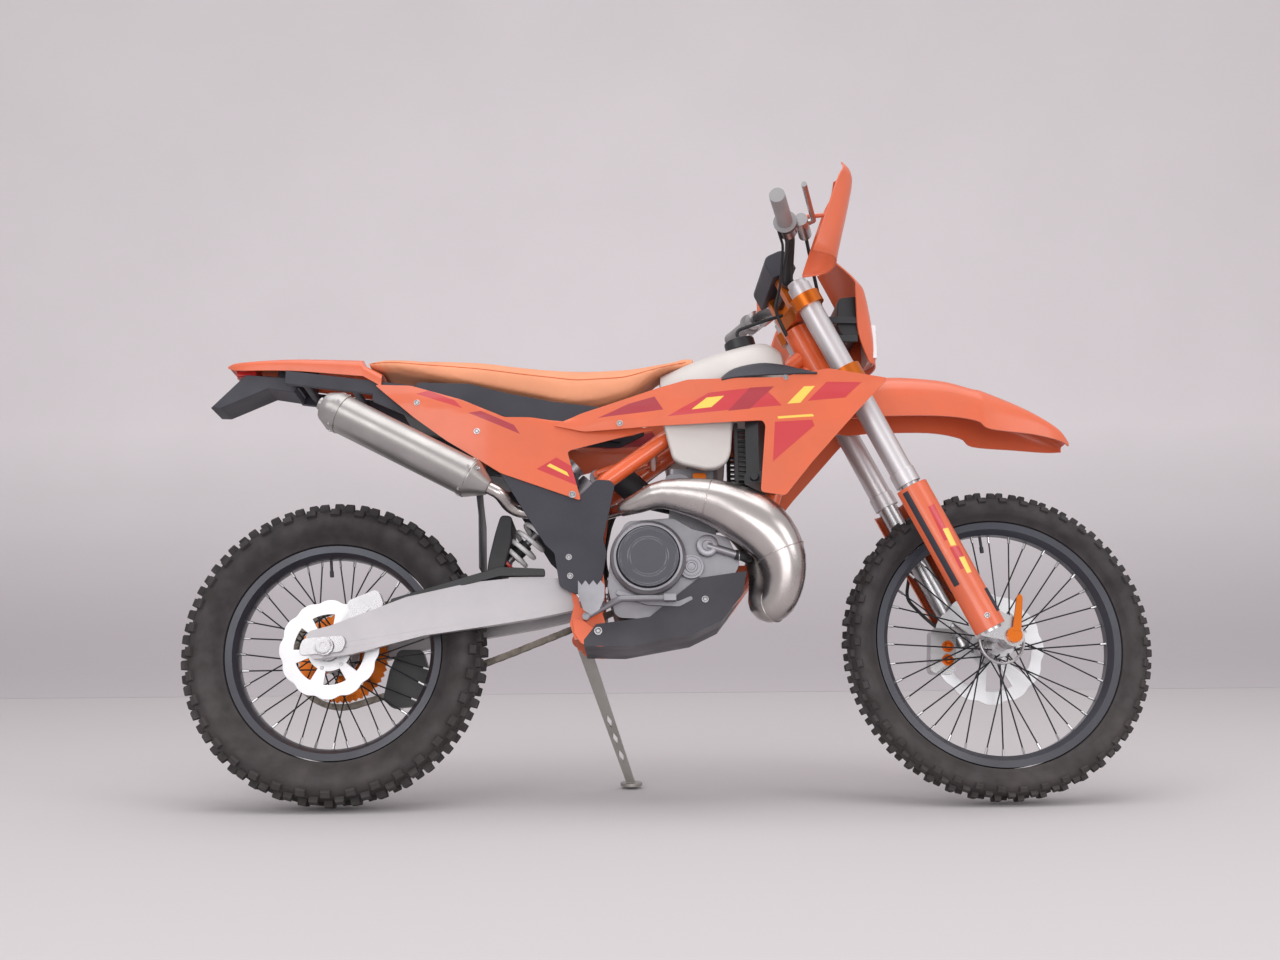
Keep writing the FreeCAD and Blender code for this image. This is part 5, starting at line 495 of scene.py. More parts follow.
class Effects(Net):
    """Node groups shared by the finishes, each built once, from object coordinates and one number."""

    CLOUD_LOW, CLOUD_HIGH = 0.32, 0.68
    SQUEEZE = (0.05, 1.0, 1.0)
    PATCH_SCALE = 14.0

    def __init__(self, name: str, given: str, value: float, result: str) -> None:
        """Start a group.

        Args:
            name: its name.
            given: name of its number.
            value: the number if none is set.
            result: name of what it gives.
        """
        super().__init__(bpy.data.node_groups.new(name, "ShaderNodeTree"))
        socket = self.tree.interface.new_socket(given, in_out="INPUT", socket_type="NodeSocketFloat")
        socket.default_value = value
        self.tree.interface.new_socket(result, in_out="OUTPUT", socket_type="NodeSocketFloat")
        self.given = self.add("NodeGroupInput").outputs[given]
        self.result = self.add("NodeGroupOutput").inputs[result]
        self.places = self.add("ShaderNodeTexCoord").outputs["Object"]

    def noise(self, places: bpy.types.NodeSocket, detail: float) -> bpy.types.NodeSocket:
        """Noise at the given scale."""
        node = self.add("ShaderNodeTexNoise", Detail=detail)
        self.join(places, node.inputs["Vector"])
        self.join(self.given, node.inputs["Scale"])
        return node.outputs["Fac"]

    @classmethod
    @cache
    def mottle(cls) -> bpy.types.NodeTree:
        """Cloudy variation from 0 to 1."""
        group = cls("Mottle", "Scale", 8.0, "Cloud")
        spread = group.add("ShaderNodeMapRange", From_Min=cls.CLOUD_LOW, From_Max=cls.CLOUD_HIGH)
        group.join(group.noise(group.places, 4.0), spread.inputs["Value"])
        group.join(spread.outputs["Result"], group.result)
        return group.tree

    @classmethod
    @cache
    def grain(cls) -> bpy.types.NodeTree:
        """Fine surface height: pebbles of moulded plastic, cast metal or rubber."""
        group = cls("Grain", "Scale", 900.0, "Height")
        group.join(group.noise(group.places, 2.0), group.result)
        return group.tree

    @classmethod
    @cache
    def brushing(cls) -> bpy.types.NodeTree:
        """Height of long fine scratches along the bike, for drawn and brushed metal."""
        group = cls("Brushing", "Scale", 300.0, "Height")
        squeeze = group.add("ShaderNodeMapping", Scale=cls.SQUEEZE)
        group.join(group.places, squeeze.inputs["Vector"])
        group.join(group.noise(squeeze.outputs["Vector"], 3.0), group.result)
        return group.tree

    @classmethod
    @cache
    def dust(cls) -> bpy.types.NodeTree:
        """Faint dust that thins out upwards from the ground."""
        group = cls("Dust", "Reach", 0.5, "Amount")
        parts = group.add("ShaderNodeSeparateXYZ")
        group.join(group.places, parts.inputs["Vector"])
        fade = group.add("ShaderNodeMapRange", From_Min=0.0, To_Min=1.0, To_Max=0.0)
        group.join(parts.outputs["Z"], fade.inputs["Value"])
        group.join(group.given, fade.inputs["From Max"])
        patch = group.add("ShaderNodeTexNoise", Scale=cls.PATCH_SCALE, Detail=6.0)
        group.join(group.places, patch.inputs["Vector"])
        both = group.add("ShaderNodeMath", operation="MULTIPLY")
        group.join(fade.outputs["Result"], both.inputs[0])
        group.join(patch.outputs["Fac"], both.inputs[1])
        group.join(both.outputs["Value"], group.result)
        return group.tree


class Sheet(Net):
    """One material's node tree."""

    def __init__(self, name: str, stance: Optional[Stance] = None) -> None:
        """Start a material with its Principled shader."""
        self.stance = stance
        self.material = bpy.data.materials.new(name)
        self.material.use_nodes = True
        super().__init__(self.material.node_tree)
        self.shader = self.tree.nodes["Principled BSDF"]

    def upright(self, body: Body) -> bpy.types.NodeSocket:
        """Places on the upright bike in millimetres, from object coordinates."""
        back = self.stance.of(body).inverted()
        mapping = self.add(
            "ShaderNodeMapping", Location=back.to_translation(), Rotation=back.to_euler(), Scale=back.to_scale()
        )
        self.join(self.add("ShaderNodeTexCoord").outputs["Object"], mapping.inputs["Vector"])
        return mapping.outputs["Vector"]

    def inside(self, spot: bpy.types.NodeSocket, outline: Sequence[tuple[float, float]]) -> bpy.types.NodeSocket:
        """A mask that is 1 inside a convex side outline and fades over a millimetre at its edge."""
        pairs = list(zip(outline, [*outline[1:], outline[0]]))
        turn = math.copysign(1.0, sum(x0 * z1 - x1 * z0 for (x0, z0), (x1, z1) in pairs))
        mask = None
        for (x0, z0), (x1, z1) in pairs:
            length = math.hypot(x1 - x0, z1 - z0)
            across = (-turn * (z1 - z0) / length, 0.0, turn * (x1 - x0) / length)
            dot = self.add("ShaderNodeVectorMath", operation="DOT_PRODUCT")
            self.join(spot, dot.inputs[0])
            dot.inputs[1].default_value = across
            edge = self.add("ShaderNodeMath", operation="SUBTRACT", use_clamp=True)
            self.join(dot.outputs["Value"], edge.inputs[0])
            edge.inputs[1].default_value = across[0] * x0 + across[2] * z0
            if mask is None:
                mask = edge.outputs[0]
            else:
                both = self.add("ShaderNodeMath", operation="MULTIPLY")
                self.join(mask, both.inputs[0])
                self.join(edge.outputs[0], both.inputs[1])
                mask = both.outputs[0]
        return mask

    def effect(self, tree: bpy.types.NodeTree, **values: float) -> bpy.types.Node:
        """Place a shared effect with its values."""
        node = self.tree.nodes.new("ShaderNodeGroup")
        node.node_tree = tree
        for key, value in values.items():
            node.inputs[key].default_value = value
        return node

    def blend(self, mask: bpy.types.NodeSocket, low: object, high: object) -> bpy.types.NodeSocket:
        """Mix two colours, given or linked, by a mask."""
        mix = self.tree.nodes.new("ShaderNodeMix")
        mix.data_type = "RGBA"
        self.join(mask, mix.inputs[0])
        for socket, value in ((mix.inputs[6], low), (mix.inputs[7], high)):
            if isinstance(value, bpy.types.NodeSocket):
                self.join(value, socket)
            else:
                socket.default_value = linear(value)
        return mix.outputs[2]

    def span(self, mask: bpy.types.NodeSocket, low: float, high: float) -> bpy.types.NodeSocket:
        """Turn a mask from 0 to 1 into a range of values."""
        node = self.add("ShaderNodeMapRange", To_Min=low, To_Max=high)
        self.join(mask, node.inputs["Value"])
        return node.outputs["Result"]

    def relief(self, height: bpy.types.NodeSocket, depth_mm: float) -> bpy.types.NodeSocket:
        """A bump of a depth in millimetres from a height."""
        bump = self.add("ShaderNodeBump", Distance=depth_mm * MM)
        self.join(height, bump.inputs["Height"])
        return bump.outputs["Normal"]


@dataclass(frozen=True)
class Finish:
    """A plain finish with cloudy colour, uneven gloss, fine grain and faint dust.

    Args:
        name: the material's name.
        slot: the record's material slot; not used.
        colour: the display colour.
        roughness: middle roughness.
        metallic: 1 for bare metal.
        shade: how much darker the cloudy parts are.
        cloud_scale: scale of the cloudy variation.
        grain_scale: scale of the fine grain.
        grain_mm: depth of the fine grain.
        coat: weight of a clear coat.
        dust: share of dust near the ground.
    """

    name: str
    slot: str
    colour: Colour
    roughness: float = 0.45
    metallic: float = 0.0
    shade: float = 0.1
    cloud_scale: float = 9.0
    grain_scale: float = 900.0
    grain_mm: float = 0.05
    coat: float = 0.0
    dust: float = 0.0

    DUST_COLOUR = (150, 138, 128)
    DUST_REACH = 0.7
    GLOSS_LOW, GLOSS_HIGH = 0.85, 1.15
    COAT_ROUGHNESS = 0.12

    def base(self, sheet: Sheet, cloud: bpy.types.NodeSocket) -> bpy.types.NodeSocket:
        """The colour before dust."""
        darker = tuple(int(part * (1 - self.shade)) for part in self.colour)
        return sheet.blend(cloud, self.colour, darker)

    def normal(self, sheet: Sheet) -> bpy.types.NodeSocket:
        """The surface's fine relief."""
        grain = sheet.effect(Effects.grain(), Scale=self.grain_scale)
        return sheet.relief(grain.outputs["Height"], self.grain_mm)

    def settings(self, sheet: Sheet) -> None:
        """Values that are the same all over the surface."""
        sheet.shader.inputs["Metallic"].default_value = self.metallic
        sheet.shader.inputs["Coat Weight"].default_value = self.coat
        sheet.shader.inputs["Coat Roughness"].default_value = self.COAT_ROUGHNESS

    def build(self, stance: Stance) -> bpy.types.Material:
        """Make the material.

        Args:
            stance: where the upright bike stands.

        Returns:
            The finished Blender material.
        """
        sheet = Sheet(self.name, stance)
        cloud = sheet.effect(Effects.mottle(), Scale=self.cloud_scale).outputs["Cloud"]
        colour = self.base(sheet, cloud)
        if self.dust:
            amount = sheet.effect(Effects.dust(), Reach=self.DUST_REACH).outputs["Amount"]
            colour = sheet.blend(sheet.span(amount, 0.0, self.dust), colour, self.DUST_COLOUR)
        sheet.join(colour, sheet.shader.inputs["Base Color"])
        sheet.join(
            sheet.span(cloud, self.roughness * self.GLOSS_LOW, min(1.0, self.roughness * self.GLOSS_HIGH)),
            sheet.shader.inputs["Roughness"],
        )
        sheet.join(self.normal(sheet), sheet.shader.inputs["Normal"])
        self.settings(sheet)
        return sheet.material


@dataclass(frozen=True)
class BrushedMetal(Finish):
    """Metal with long fine scratches along the bike."""

    brush_mm: float = 0.03

    def normal(self, sheet: Sheet) -> bpy.types.NodeSocket:
        """Scratches in place of the plain grain."""
        brushing = sheet.effect(Effects.brushing(), Scale=self.grain_scale)
        return sheet.relief(brushing.outputs["Height"], self.brush_mm)


@dataclass(frozen=True)
class Livery(Finish):
    """Plastic with printed shapes, given as convex side outlines on the upright bike."""

    body: Body = Body.FRAME
    shapes: tuple[tuple[Colour, tuple[tuple[float, float], ...]], ...] = ()

    def base(self, sheet: Sheet, cloud: bpy.types.NodeSocket) -> bpy.types.NodeSocket:
        """The plain plastic with each shape printed over it."""
        colour = super().base(sheet, cloud)
        upright = sheet.upright(self.body)
        for tint, outline in self.shapes:
            colour = sheet.blend(sheet.inside(upright, outline), colour, tint)
        return colour


ORANGE = (214, 100, 64)
LIVERY_RED = (190, 52, 58)
LIVERY_DEEP = (160, 44, 56)
LIVERY_YELLOW = (232, 196, 84)

SHROUD_SHAPES = (
    (LIVERY_RED, ((745, 845), (1000, 858), (960, 905), (840, 897))),
    (LIVERY_DEEP, ((880, 850), (930, 853), (985, 905), (930, 904))),
    (LIVERY_YELLOW, ((800, 858), (845, 861), (875, 888), (835, 886))),
    (LIVERY_YELLOW, ((1010, 862), (1040, 864), (1075, 905), (1050, 904))),
    (LIVERY_RED, ((1055, 868), (1140, 876), (1180, 915), (1100, 915))),
    (LIVERY_RED, ((975, 730), (1070, 812), (1065, 826), (982, 822))),
    (LIVERY_YELLOW, ((990, 828), (1070, 833), (1066, 839), (988, 834))),
    (LIVERY_DEEP, ((590, 848), (740, 862), (720, 895), (660, 880))),
)
PANEL_SHAPES = (
    (LIVERY_RED, ((455, 735), (560, 690), (545, 735), (500, 762))),
    (LIVERY_YELLOW, ((478, 742), (530, 716), (524, 728), (486, 748))),
    (LIVERY_DEEP, ((300, 868), (420, 815), (405, 838), (330, 872))),
    (LIVERY_RED, ((180, 918), (290, 878), (270, 900), (210, 925))),
)
GUARD_SHAPES = (
    (LIVERY_RED, ((1310, 634), (1326, 642), (1360, 562), (1342, 556))),
    (LIVERY_YELLOW, ((1340, 584), (1354, 588), (1370, 548), (1356, 545))),
    (LIVERY_RED, ((1352, 542), (1376, 548), (1396, 500), (1374, 492))),
    (LIVERY_YELLOW, ((1372, 520), (1386, 524), (1400, 488), (1388, 484))),
)

FINISHES: dict[str, Finish] = {
    finish.name: finish
    for finish in (
        Finish("orange_plastic", "orange_plastic", ORANGE, 0.36, shade=0.05, grain_mm=0.02, coat=0.25, dust=0.05),
        *(
            Livery(name, "orange_plastic", ORANGE, 0.34, shade=0.05, grain_mm=0.02, coat=0.3, body=body, shapes=shapes)
            for name, body, shapes in (
                ("shroud_livery", Body.FRAME, SHROUD_SHAPES),
                ("panel_livery", Body.FRAME, PANEL_SHAPES),
                ("guard_livery", Body.STEERING, GUARD_SHAPES),
            )
        ),
        Finish(
            "frame_paint", "frame_paint", (228, 98, 50), 0.30,
            shade=0.06, grain_mm=0.03, grain_scale=500, coat=0.5, dust=0.1,
        ),
        Finish(
            "dark_plastic", "dark_plastic", (47, 46, 56), 0.52,
            shade=0.14, grain_mm=0.06, grain_scale=1400, dust=0.12,
        ),
        Finish("guard_plastic", "dark_plastic", (43, 42, 53), 0.5, shade=0.12, grain_mm=0.55, grain_scale=110),
        Finish("black_parts", "dark_plastic", (32, 32, 36), 0.42, shade=0.2, grain_mm=0.04, dust=0.1),
        Finish("tank_plastic", "tank_plastic", (200, 194, 191), 0.38, shade=0.04, grain_mm=0.03),
        Finish("anodised", "anodised", (214, 110, 32), 0.30, metallic=0.75, shade=0.1, grain_mm=0.01),
        Finish(
            "cast_alloy", "engine_alloy", (154, 152, 158), 0.42,
            metallic=0.75, shade=0.16, grain_mm=0.09, grain_scale=700, dust=0.1,
        ),
        BrushedMetal(
            "swingarm_alloy", "alloy", (176, 172, 175), 0.38,
            metallic=0.55, shade=0.06, grain_scale=300, dust=0.06,
        ),
        BrushedMetal(
            "fork_alloy", "alloy", (208, 203, 206), 0.40,
            metallic=0.7, shade=0.06, grain_scale=500, brush_mm=0.01,
        ),
        BrushedMetal("silencer_alloy", "alloy", (176, 172, 170), 0.36, metallic=0.85, shade=0.1, grain_scale=260),
        Finish(
            "chamber_nickel", "chamber_steel", (196, 189, 187), 0.28,
            metallic=1.0, shade=0.12, cloud_scale=6, grain_mm=0.01,
        ),
        Finish("bright_steel", "steel", (190, 188, 190), 0.28, metallic=0.9, shade=0.08, grain_mm=0.02),
        Finish("disc_steel", "steel", (226, 225, 228), 0.34, metallic=0.5, shade=0.05, grain_mm=0.02),
        Finish(
            "rim_black", "alloy", (58, 60, 70), 0.34,
            metallic=0.35, shade=0.12, grain_mm=0.02, coat=0.2, dust=0.12,
        ),
        Finish("spoke_steel", "steel", (40, 40, 44), 0.35, metallic=0.6, shade=0.15, grain_mm=0.01),
        Finish("gloss_cover", "engine_alloy", (84, 84, 92), 0.16, metallic=0.35, shade=0.08, grain_mm=0.01, coat=0.7),
        Finish(
            "tyre_rubber", "tyre_rubber", (46, 40, 43), 0.7,
            shade=0.25, cloud_scale=26, grain_mm=0.12, grain_scale=420, dust=0.14,
        ),
        Finish("black_rubber", "rubber", (36, 36, 40), 0.62, shade=0.2, grain_mm=0.08, dust=0.15),
        Finish("grip_rubber", "rubber", (150, 148, 150), 0.62, shade=0.12, grain_mm=0.06),
        Finish("seat_cover", "seat_cover", (220, 146, 108), 0.66, shade=0.06, grain_mm=0.10, grain_scale=700),
        Finish("seat_thread", "seat_cover", (214, 104, 56), 0.6, shade=0.1, grain_mm=0.05, grain_scale=1600),
        Finish("spring_white", "steel", (228, 226, 228), 0.34, shade=0.05, grain_mm=0.02, coat=0.3),
        Finish("red_parts", "red_lens", (196, 40, 40), 0.35, shade=0.1, grain_mm=0.02),
        Finish("clear_lens", "lens", (232, 232, 236), 0.12, shade=0.05, grain_mm=0.01, coat=0.6),
        Finish("stand_steel", "steel", (168, 164, 160), 0.42, metallic=0.7, shade=0.14, grain_mm=0.04, dust=0.12),
        Finish(
            "chain_steel", "steel", (120, 112, 104), 0.40,
            metallic=0.85, shade=0.25, cloud_scale=60, grain_mm=0.02, dust=0.1,
        ),
    )
}

NODE_FINISHES: dict[str, str] = {
    node: finish
    for finish, nodes in {
        "frame_paint": "main_frame",
        "dark_plastic": "subframe plate_holder mud_flap skid_plate bar_pad",
        "swingarm_alloy": "swingarm",
        "bright_steel": (
            "rear_axle front_sprocket rear_caliper fork_legs hand_controls front_caliper front_hub "
            "rear_hub"
        ),
        "cast_alloy": "shock_absorber engine_cases engine_covers cylinder foot_controls",
        "spring_white": "shock_spring",
        "black_rubber": "intake breather_hose brake_hose throttle_cables",
        "chamber_nickel": "expansion_chamber",
        "silencer_alloy": "silencer",
        "tank_plastic": "fuel_tank",
        "black_parts": "tank_cap radiators chain_guide handlebar air_box",
        "orange_plastic": "shrouds side_panels rear_fender hand_guards headlight_mask front_fender",
        "seat_cover": "seat",
        "red_parts": "tail_light",
        "guard_plastic": "frame_guards",
        "chain_steel": "drive_chain",
        "anodised": "triple_clamps front_axle rear_sprocket",
        "fork_alloy": "fork_tubes",
        "guard_livery": "fork_guards",
        "grip_rubber": "grips",
        "clear_lens": "headlight_lens",
        "tyre_rubber": "front_tyre rear_tyre",
        "rim_black": "front_rim rear_rim",
        "spoke_steel": "front_spokes rear_spokes",
        "disc_steel": "front_disc rear_disc",
        "stand_steel": "side_stand",
    }.items()
    for node in nodes.split()
}


class Paintshop:
    """Builds each finish once and puts it on pieces and CAD nodes."""

    def __init__(self, stance: Stance) -> None:
        """Start with nothing built."""
        self.stance = stance
        self.made: dict[str, bpy.types.Material] = {}

    def get(self, name: str) -> bpy.types.Material:
        """The material of a named finish."""
        if name not in self.made:
            self.made[name] = FINISHES[name].build(self.stance)
        return self.made[name]

    def paint(self, piece: bpy.types.Object, name: str) -> None:
        """Give a new piece one finish all over."""
        piece.data.materials.clear()
        piece.data.materials.append(self.get(name))

    def dress_nodes(self, nodes: dict[str, bpy.types.Object]) -> None:
        """Give every CAD node its finish through its material slots."""
        for node, name in NODE_FINISHES.items():
            for slot in nodes[node].material_slots:
                slot.material = self.get(name)


# ---------------------------------------------------------------- fitting


@dataclass
class Fitter:
    """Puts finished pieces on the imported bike.

    Args:
        stance: where the upright bike stands.
        paint: the finishes.
        carriers: the body that carries each CAD node.
    """

    stance: Stance
    paint: Paintshop
    carriers: dict[str, Body]

    def mount(self, piece: bpy.types.Object, body: Body, finish: str, *nodes: str, placed: bool = False) -> None:
        """Fit, paint and hang one piece on its body.

        Args:
            piece: the finished piece.
            body: what carries it.
            finish: the name of its finish.
            nodes: CAD nodes that it stands for.
            placed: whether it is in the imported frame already.
        """
        if not placed:
            Bench.fit(piece, self.stance.of(body))
        self.paint.paint(piece, finish)
        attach(piece, body.value)
        if nodes:
            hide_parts(*nodes)
        LOG.info("%s: %d faces on %s", piece.name, len(piece.data.polygons), body.value)

    def landing(self, target: bpy.types.Object, body: Body, x: float, z: float, side: int) -> tuple[Vector, Vector]:
        """Where a line from one side of the upright bike meets a piece, and the way its face looks."""
        place = self.stance.of(body)
        back = place.inverted()
        start = place @ Vector((x, side * 500, z))
        way = (place.to_3x3() @ Vector((0, -side, 0))).normalized()
        hit, spot, normal, _ = target.ray_cast(start, way)
        if not hit:
            raise ValueError(f"{target.name} has nothing at {x}, {z}")
        return back @ spot, (back.to_3x3() @ normal).normalized()


class Dressing:
    """A sub-assembly that models its pieces and mounts them."""

    def fit(self, fitter: Fitter) -> None:
        """Model and mount the pieces.

        Args:
            fitter: puts the pieces on the bike.
        """
        raise NotImplementedError


# ---------------------------------------------------------------- wheels


@dataclass(frozen=True)
class Knob:
    """One ring of tread blocks on each side of the tyre's middle.

    Args:
        aside: distance from the tyre's middle.
        radius: distance of its foot from the axle.
        tilt_deg: lean of the block outwards.
        size: length along the tread, width and height.
        phase: share of a pitch by which the ring is shifted.
    """

    aside: float
    radius: float
    tilt_deg: float
    size: Point
    phase: float

    SUNK = 5.0
    TOP_SHARE = 0.84
    EDGE = 1.2

    def master(self) -> bpy.types.Object:
        """One block, tapered and with a softened top, its foot below its origin."""
        length, width, height = self.size
        tall = height + self.SUNK
        piece = Bench.box("knob", (0, 0, height - tall / 2), (length, width, tall))
        with Bench.editing(piece):
            Bench.pick(piece, lambda centre, normal: normal.z > END_FACE)
            bpy.ops.transform.resize(value=(self.TOP_SHARE, self.TOP_SHARE, 1))
            bpy.ops.mesh.bevel(offset=self.EDGE, segments=1)
        return piece

    def places(self, centre: Vector, pitches: int) -> Iterator[Matrix]:
        """Where each copy stands on a wheel."""
        for side in BOTH:
            for index in range(pitches):
                angle = FULL_TURN * (index + self.phase) / pitches
                lean = Matrix.Rotation(-side * math.radians(self.tilt_deg), 4, "X")
                upright = Matrix.Translation((self.radius, side * self.aside, 0)) @ Matrix.Rotation(math.pi / 2, 4, "Y")
                yield spin_place(angle, centre) @ upright @ lean


@dataclass(frozen=True)
class Wheel(Dressing):
    """A laced wheel's tyre, spokes, nipples and valve.

    Args:
        body: the wheel's body.
        centre: the axle's middle on the upright bike.
        casing: half of the tyre's section as places along the axle and radii, from bead to crown.
        knobs: the rings of tread blocks.
        pitches: tread blocks in each ring.
        tip_radius: where the spokes end at the rim.
        hole_radius: where they start at the hub's flanges.
        flange_y: distance of the flanges from the middle.
    """

    body: Body
    centre: Point
    casing: tuple[tuple[float, float], ...]
    knobs: tuple[Knob, ...]
    pitches: int
    tip_radius: float
    hole_radius: float
    flange_y: float

    COUNT = 36
    CROSS_DEG = 38.0
    REACH = 5.2
    RIM_OFFSET = 6.0
    SPOKE_RADIUS = 1.7
    NIPPLE_RADIUS = 3.1
    NIPPLE_LENGTH = 15.0
    VALVE_DEG = 95.0
    STEM_LENGTH = 30.0
    STEM_RADIUS = 3.4
    CAP_SPAN = (24.0, 38.0)
    CAP_RADIUS = 4.6

    @property
    def label(self) -> str:
        """Front or rear."""
        return self.body.value.split("_")[0]

    def spoke_ends(self) -> Iterator[tuple[Vector, Vector]]:
        """The hub end and the rim end of each spoke."""
        centre = Vector(self.centre)
        for index in range(self.COUNT):
            side = 1 if index % 2 else -1
            lead = 1 if (index // 2) % 2 else -1
            rim = FULL_TURN * index / self.COUNT
            hub = rim + math.radians(self.CROSS_DEG) * lead
            aside = side * (self.flange_y + lead * self.REACH)
            yield (
                centre + around(self.hole_radius, hub, aside),
                centre + around(self.tip_radius, rim, side * self.RIM_OFFSET),
            )

    def tyre(self) -> bpy.types.Object:
        """Casing and tread blocks as one piece."""
        half = list(self.casing)
        profile = half + [(-y, radius) for y, radius in reversed(half[:-1])]
        casing = Bench.spun("casing", profile, 108)
        Bench.fit(casing, Matrix.Translation(self.centre))
        rings = [casing]
        for knob in self.knobs:
            rings.append(Bench.copies(knob.master(), knob.places(Vector(self.centre), self.pitches), "tread"))
        tyre = Bench.joined(rings, f"{self.label}_tyre_rubber")
        Bench.smooth(tyre, 32)
        return tyre

    def fit(self, fitter: Fitter) -> None:
        """Mount the tyre, the spokes, the nipples and the valve."""
        fitter.mount(self.tyre(), self.body, "tyre_rubber", f"{self.label}_tyre")
        ends = list(self.spoke_ends())
        wires = [Bench.rod("spoke", start, end, self.SPOKE_RADIUS, 8) for start, end in ends]
        spokes = Bench.joined(wires, f"{self.label}_spoke_wires")
        Bench.smooth(spokes)
        fitter.mount(spokes, self.body, "spoke_steel", f"{self.label}_spokes")
        nipple = Bench.rod("nipple", Vector((0, 0, 0)), Vector((0, 0, self.NIPPLE_LENGTH)), self.NIPPLE_RADIUS, 6)
        with Bench.editing(nipple):
            Bench.pick(nipple, lambda centre, normal: normal.z > END_FACE)
            bpy.ops.mesh.bevel(offset=0.8, segments=1)
        nipples = Bench.copies(nipple, [toward(end, start - end) for start, end in ends], f"{self.label}_nipples")
        fitter.mount(nipples, self.body, "bright_steel")
        way = around(1.0, math.radians(self.VALVE_DEG))
        foot = Vector(self.centre) + way * self.tip_radius
        stem = Bench.rod("stem", foot, foot - way * self.STEM_LENGTH, self.STEM_RADIUS, 12)
        start, end = self.CAP_SPAN
        cap = Bench.rod("cap", foot - way * start, foot - way * end, self.CAP_RADIUS, 12)
        valve = Bench.joined([stem, cap], f"{self.label}_valve")
        Bench.soften(valve, 0.6, 1)
        fitter.mount(valve, self.body, "black_rubber")


REAR_WHEEL = Wheel(
    body=Body.REAR_WHEEL,
    centre=(0, 0, REAR_AXLE_HEIGHT),
    casing=(
        (-29, 242.6), (-34, 244), (-37, 251), (-47, 261), (-48.5, 263.5), (-56, 273), (-60.5, 287),
        (-60.5, 298), (-55, 311), (-44, 319), (-26, 325), (0, 327),
    ),
    knobs=(
        Knob(12.5, 326, 4, (21, 20, 15), 0.0),
        Knob(36, 320.5, 24, (22, 19, 14.5), 0.5),
        Knob(54.5, 311, 62, (24, 18, 8.5), 0.0),
    ),
    pitches=36,
    tip_radius=213.1,
    hole_radius=42,
    flange_y=36,
)

FRONT_WHEEL = Wheel(
    body=Body.FRONT_WHEEL,
    centre=(1488, 0, 351),
    casing=(
        (-23, 279.6), (-27, 281), (-30, 287), (-37, 294), (-38.5, 296.5), (-43, 305), (-44, 316),
        (-41, 326), (-32, 334), (-17, 338), (0, 339),
    ),
    knobs=(
        Knob(10, 338, 4, (16, 15, 12.5), 0.0),
        Knob(28, 333, 26, (18, 14, 11.5), 0.5),
        Knob(39.5, 324.5, 62, (20, 14, 7), 0.0),
    ),
    pitches=42,
    tip_radius=250.1,
    hole_radius=30,
    flange_y=34,
)


# ---------------------------------------------------------------- chain and shock


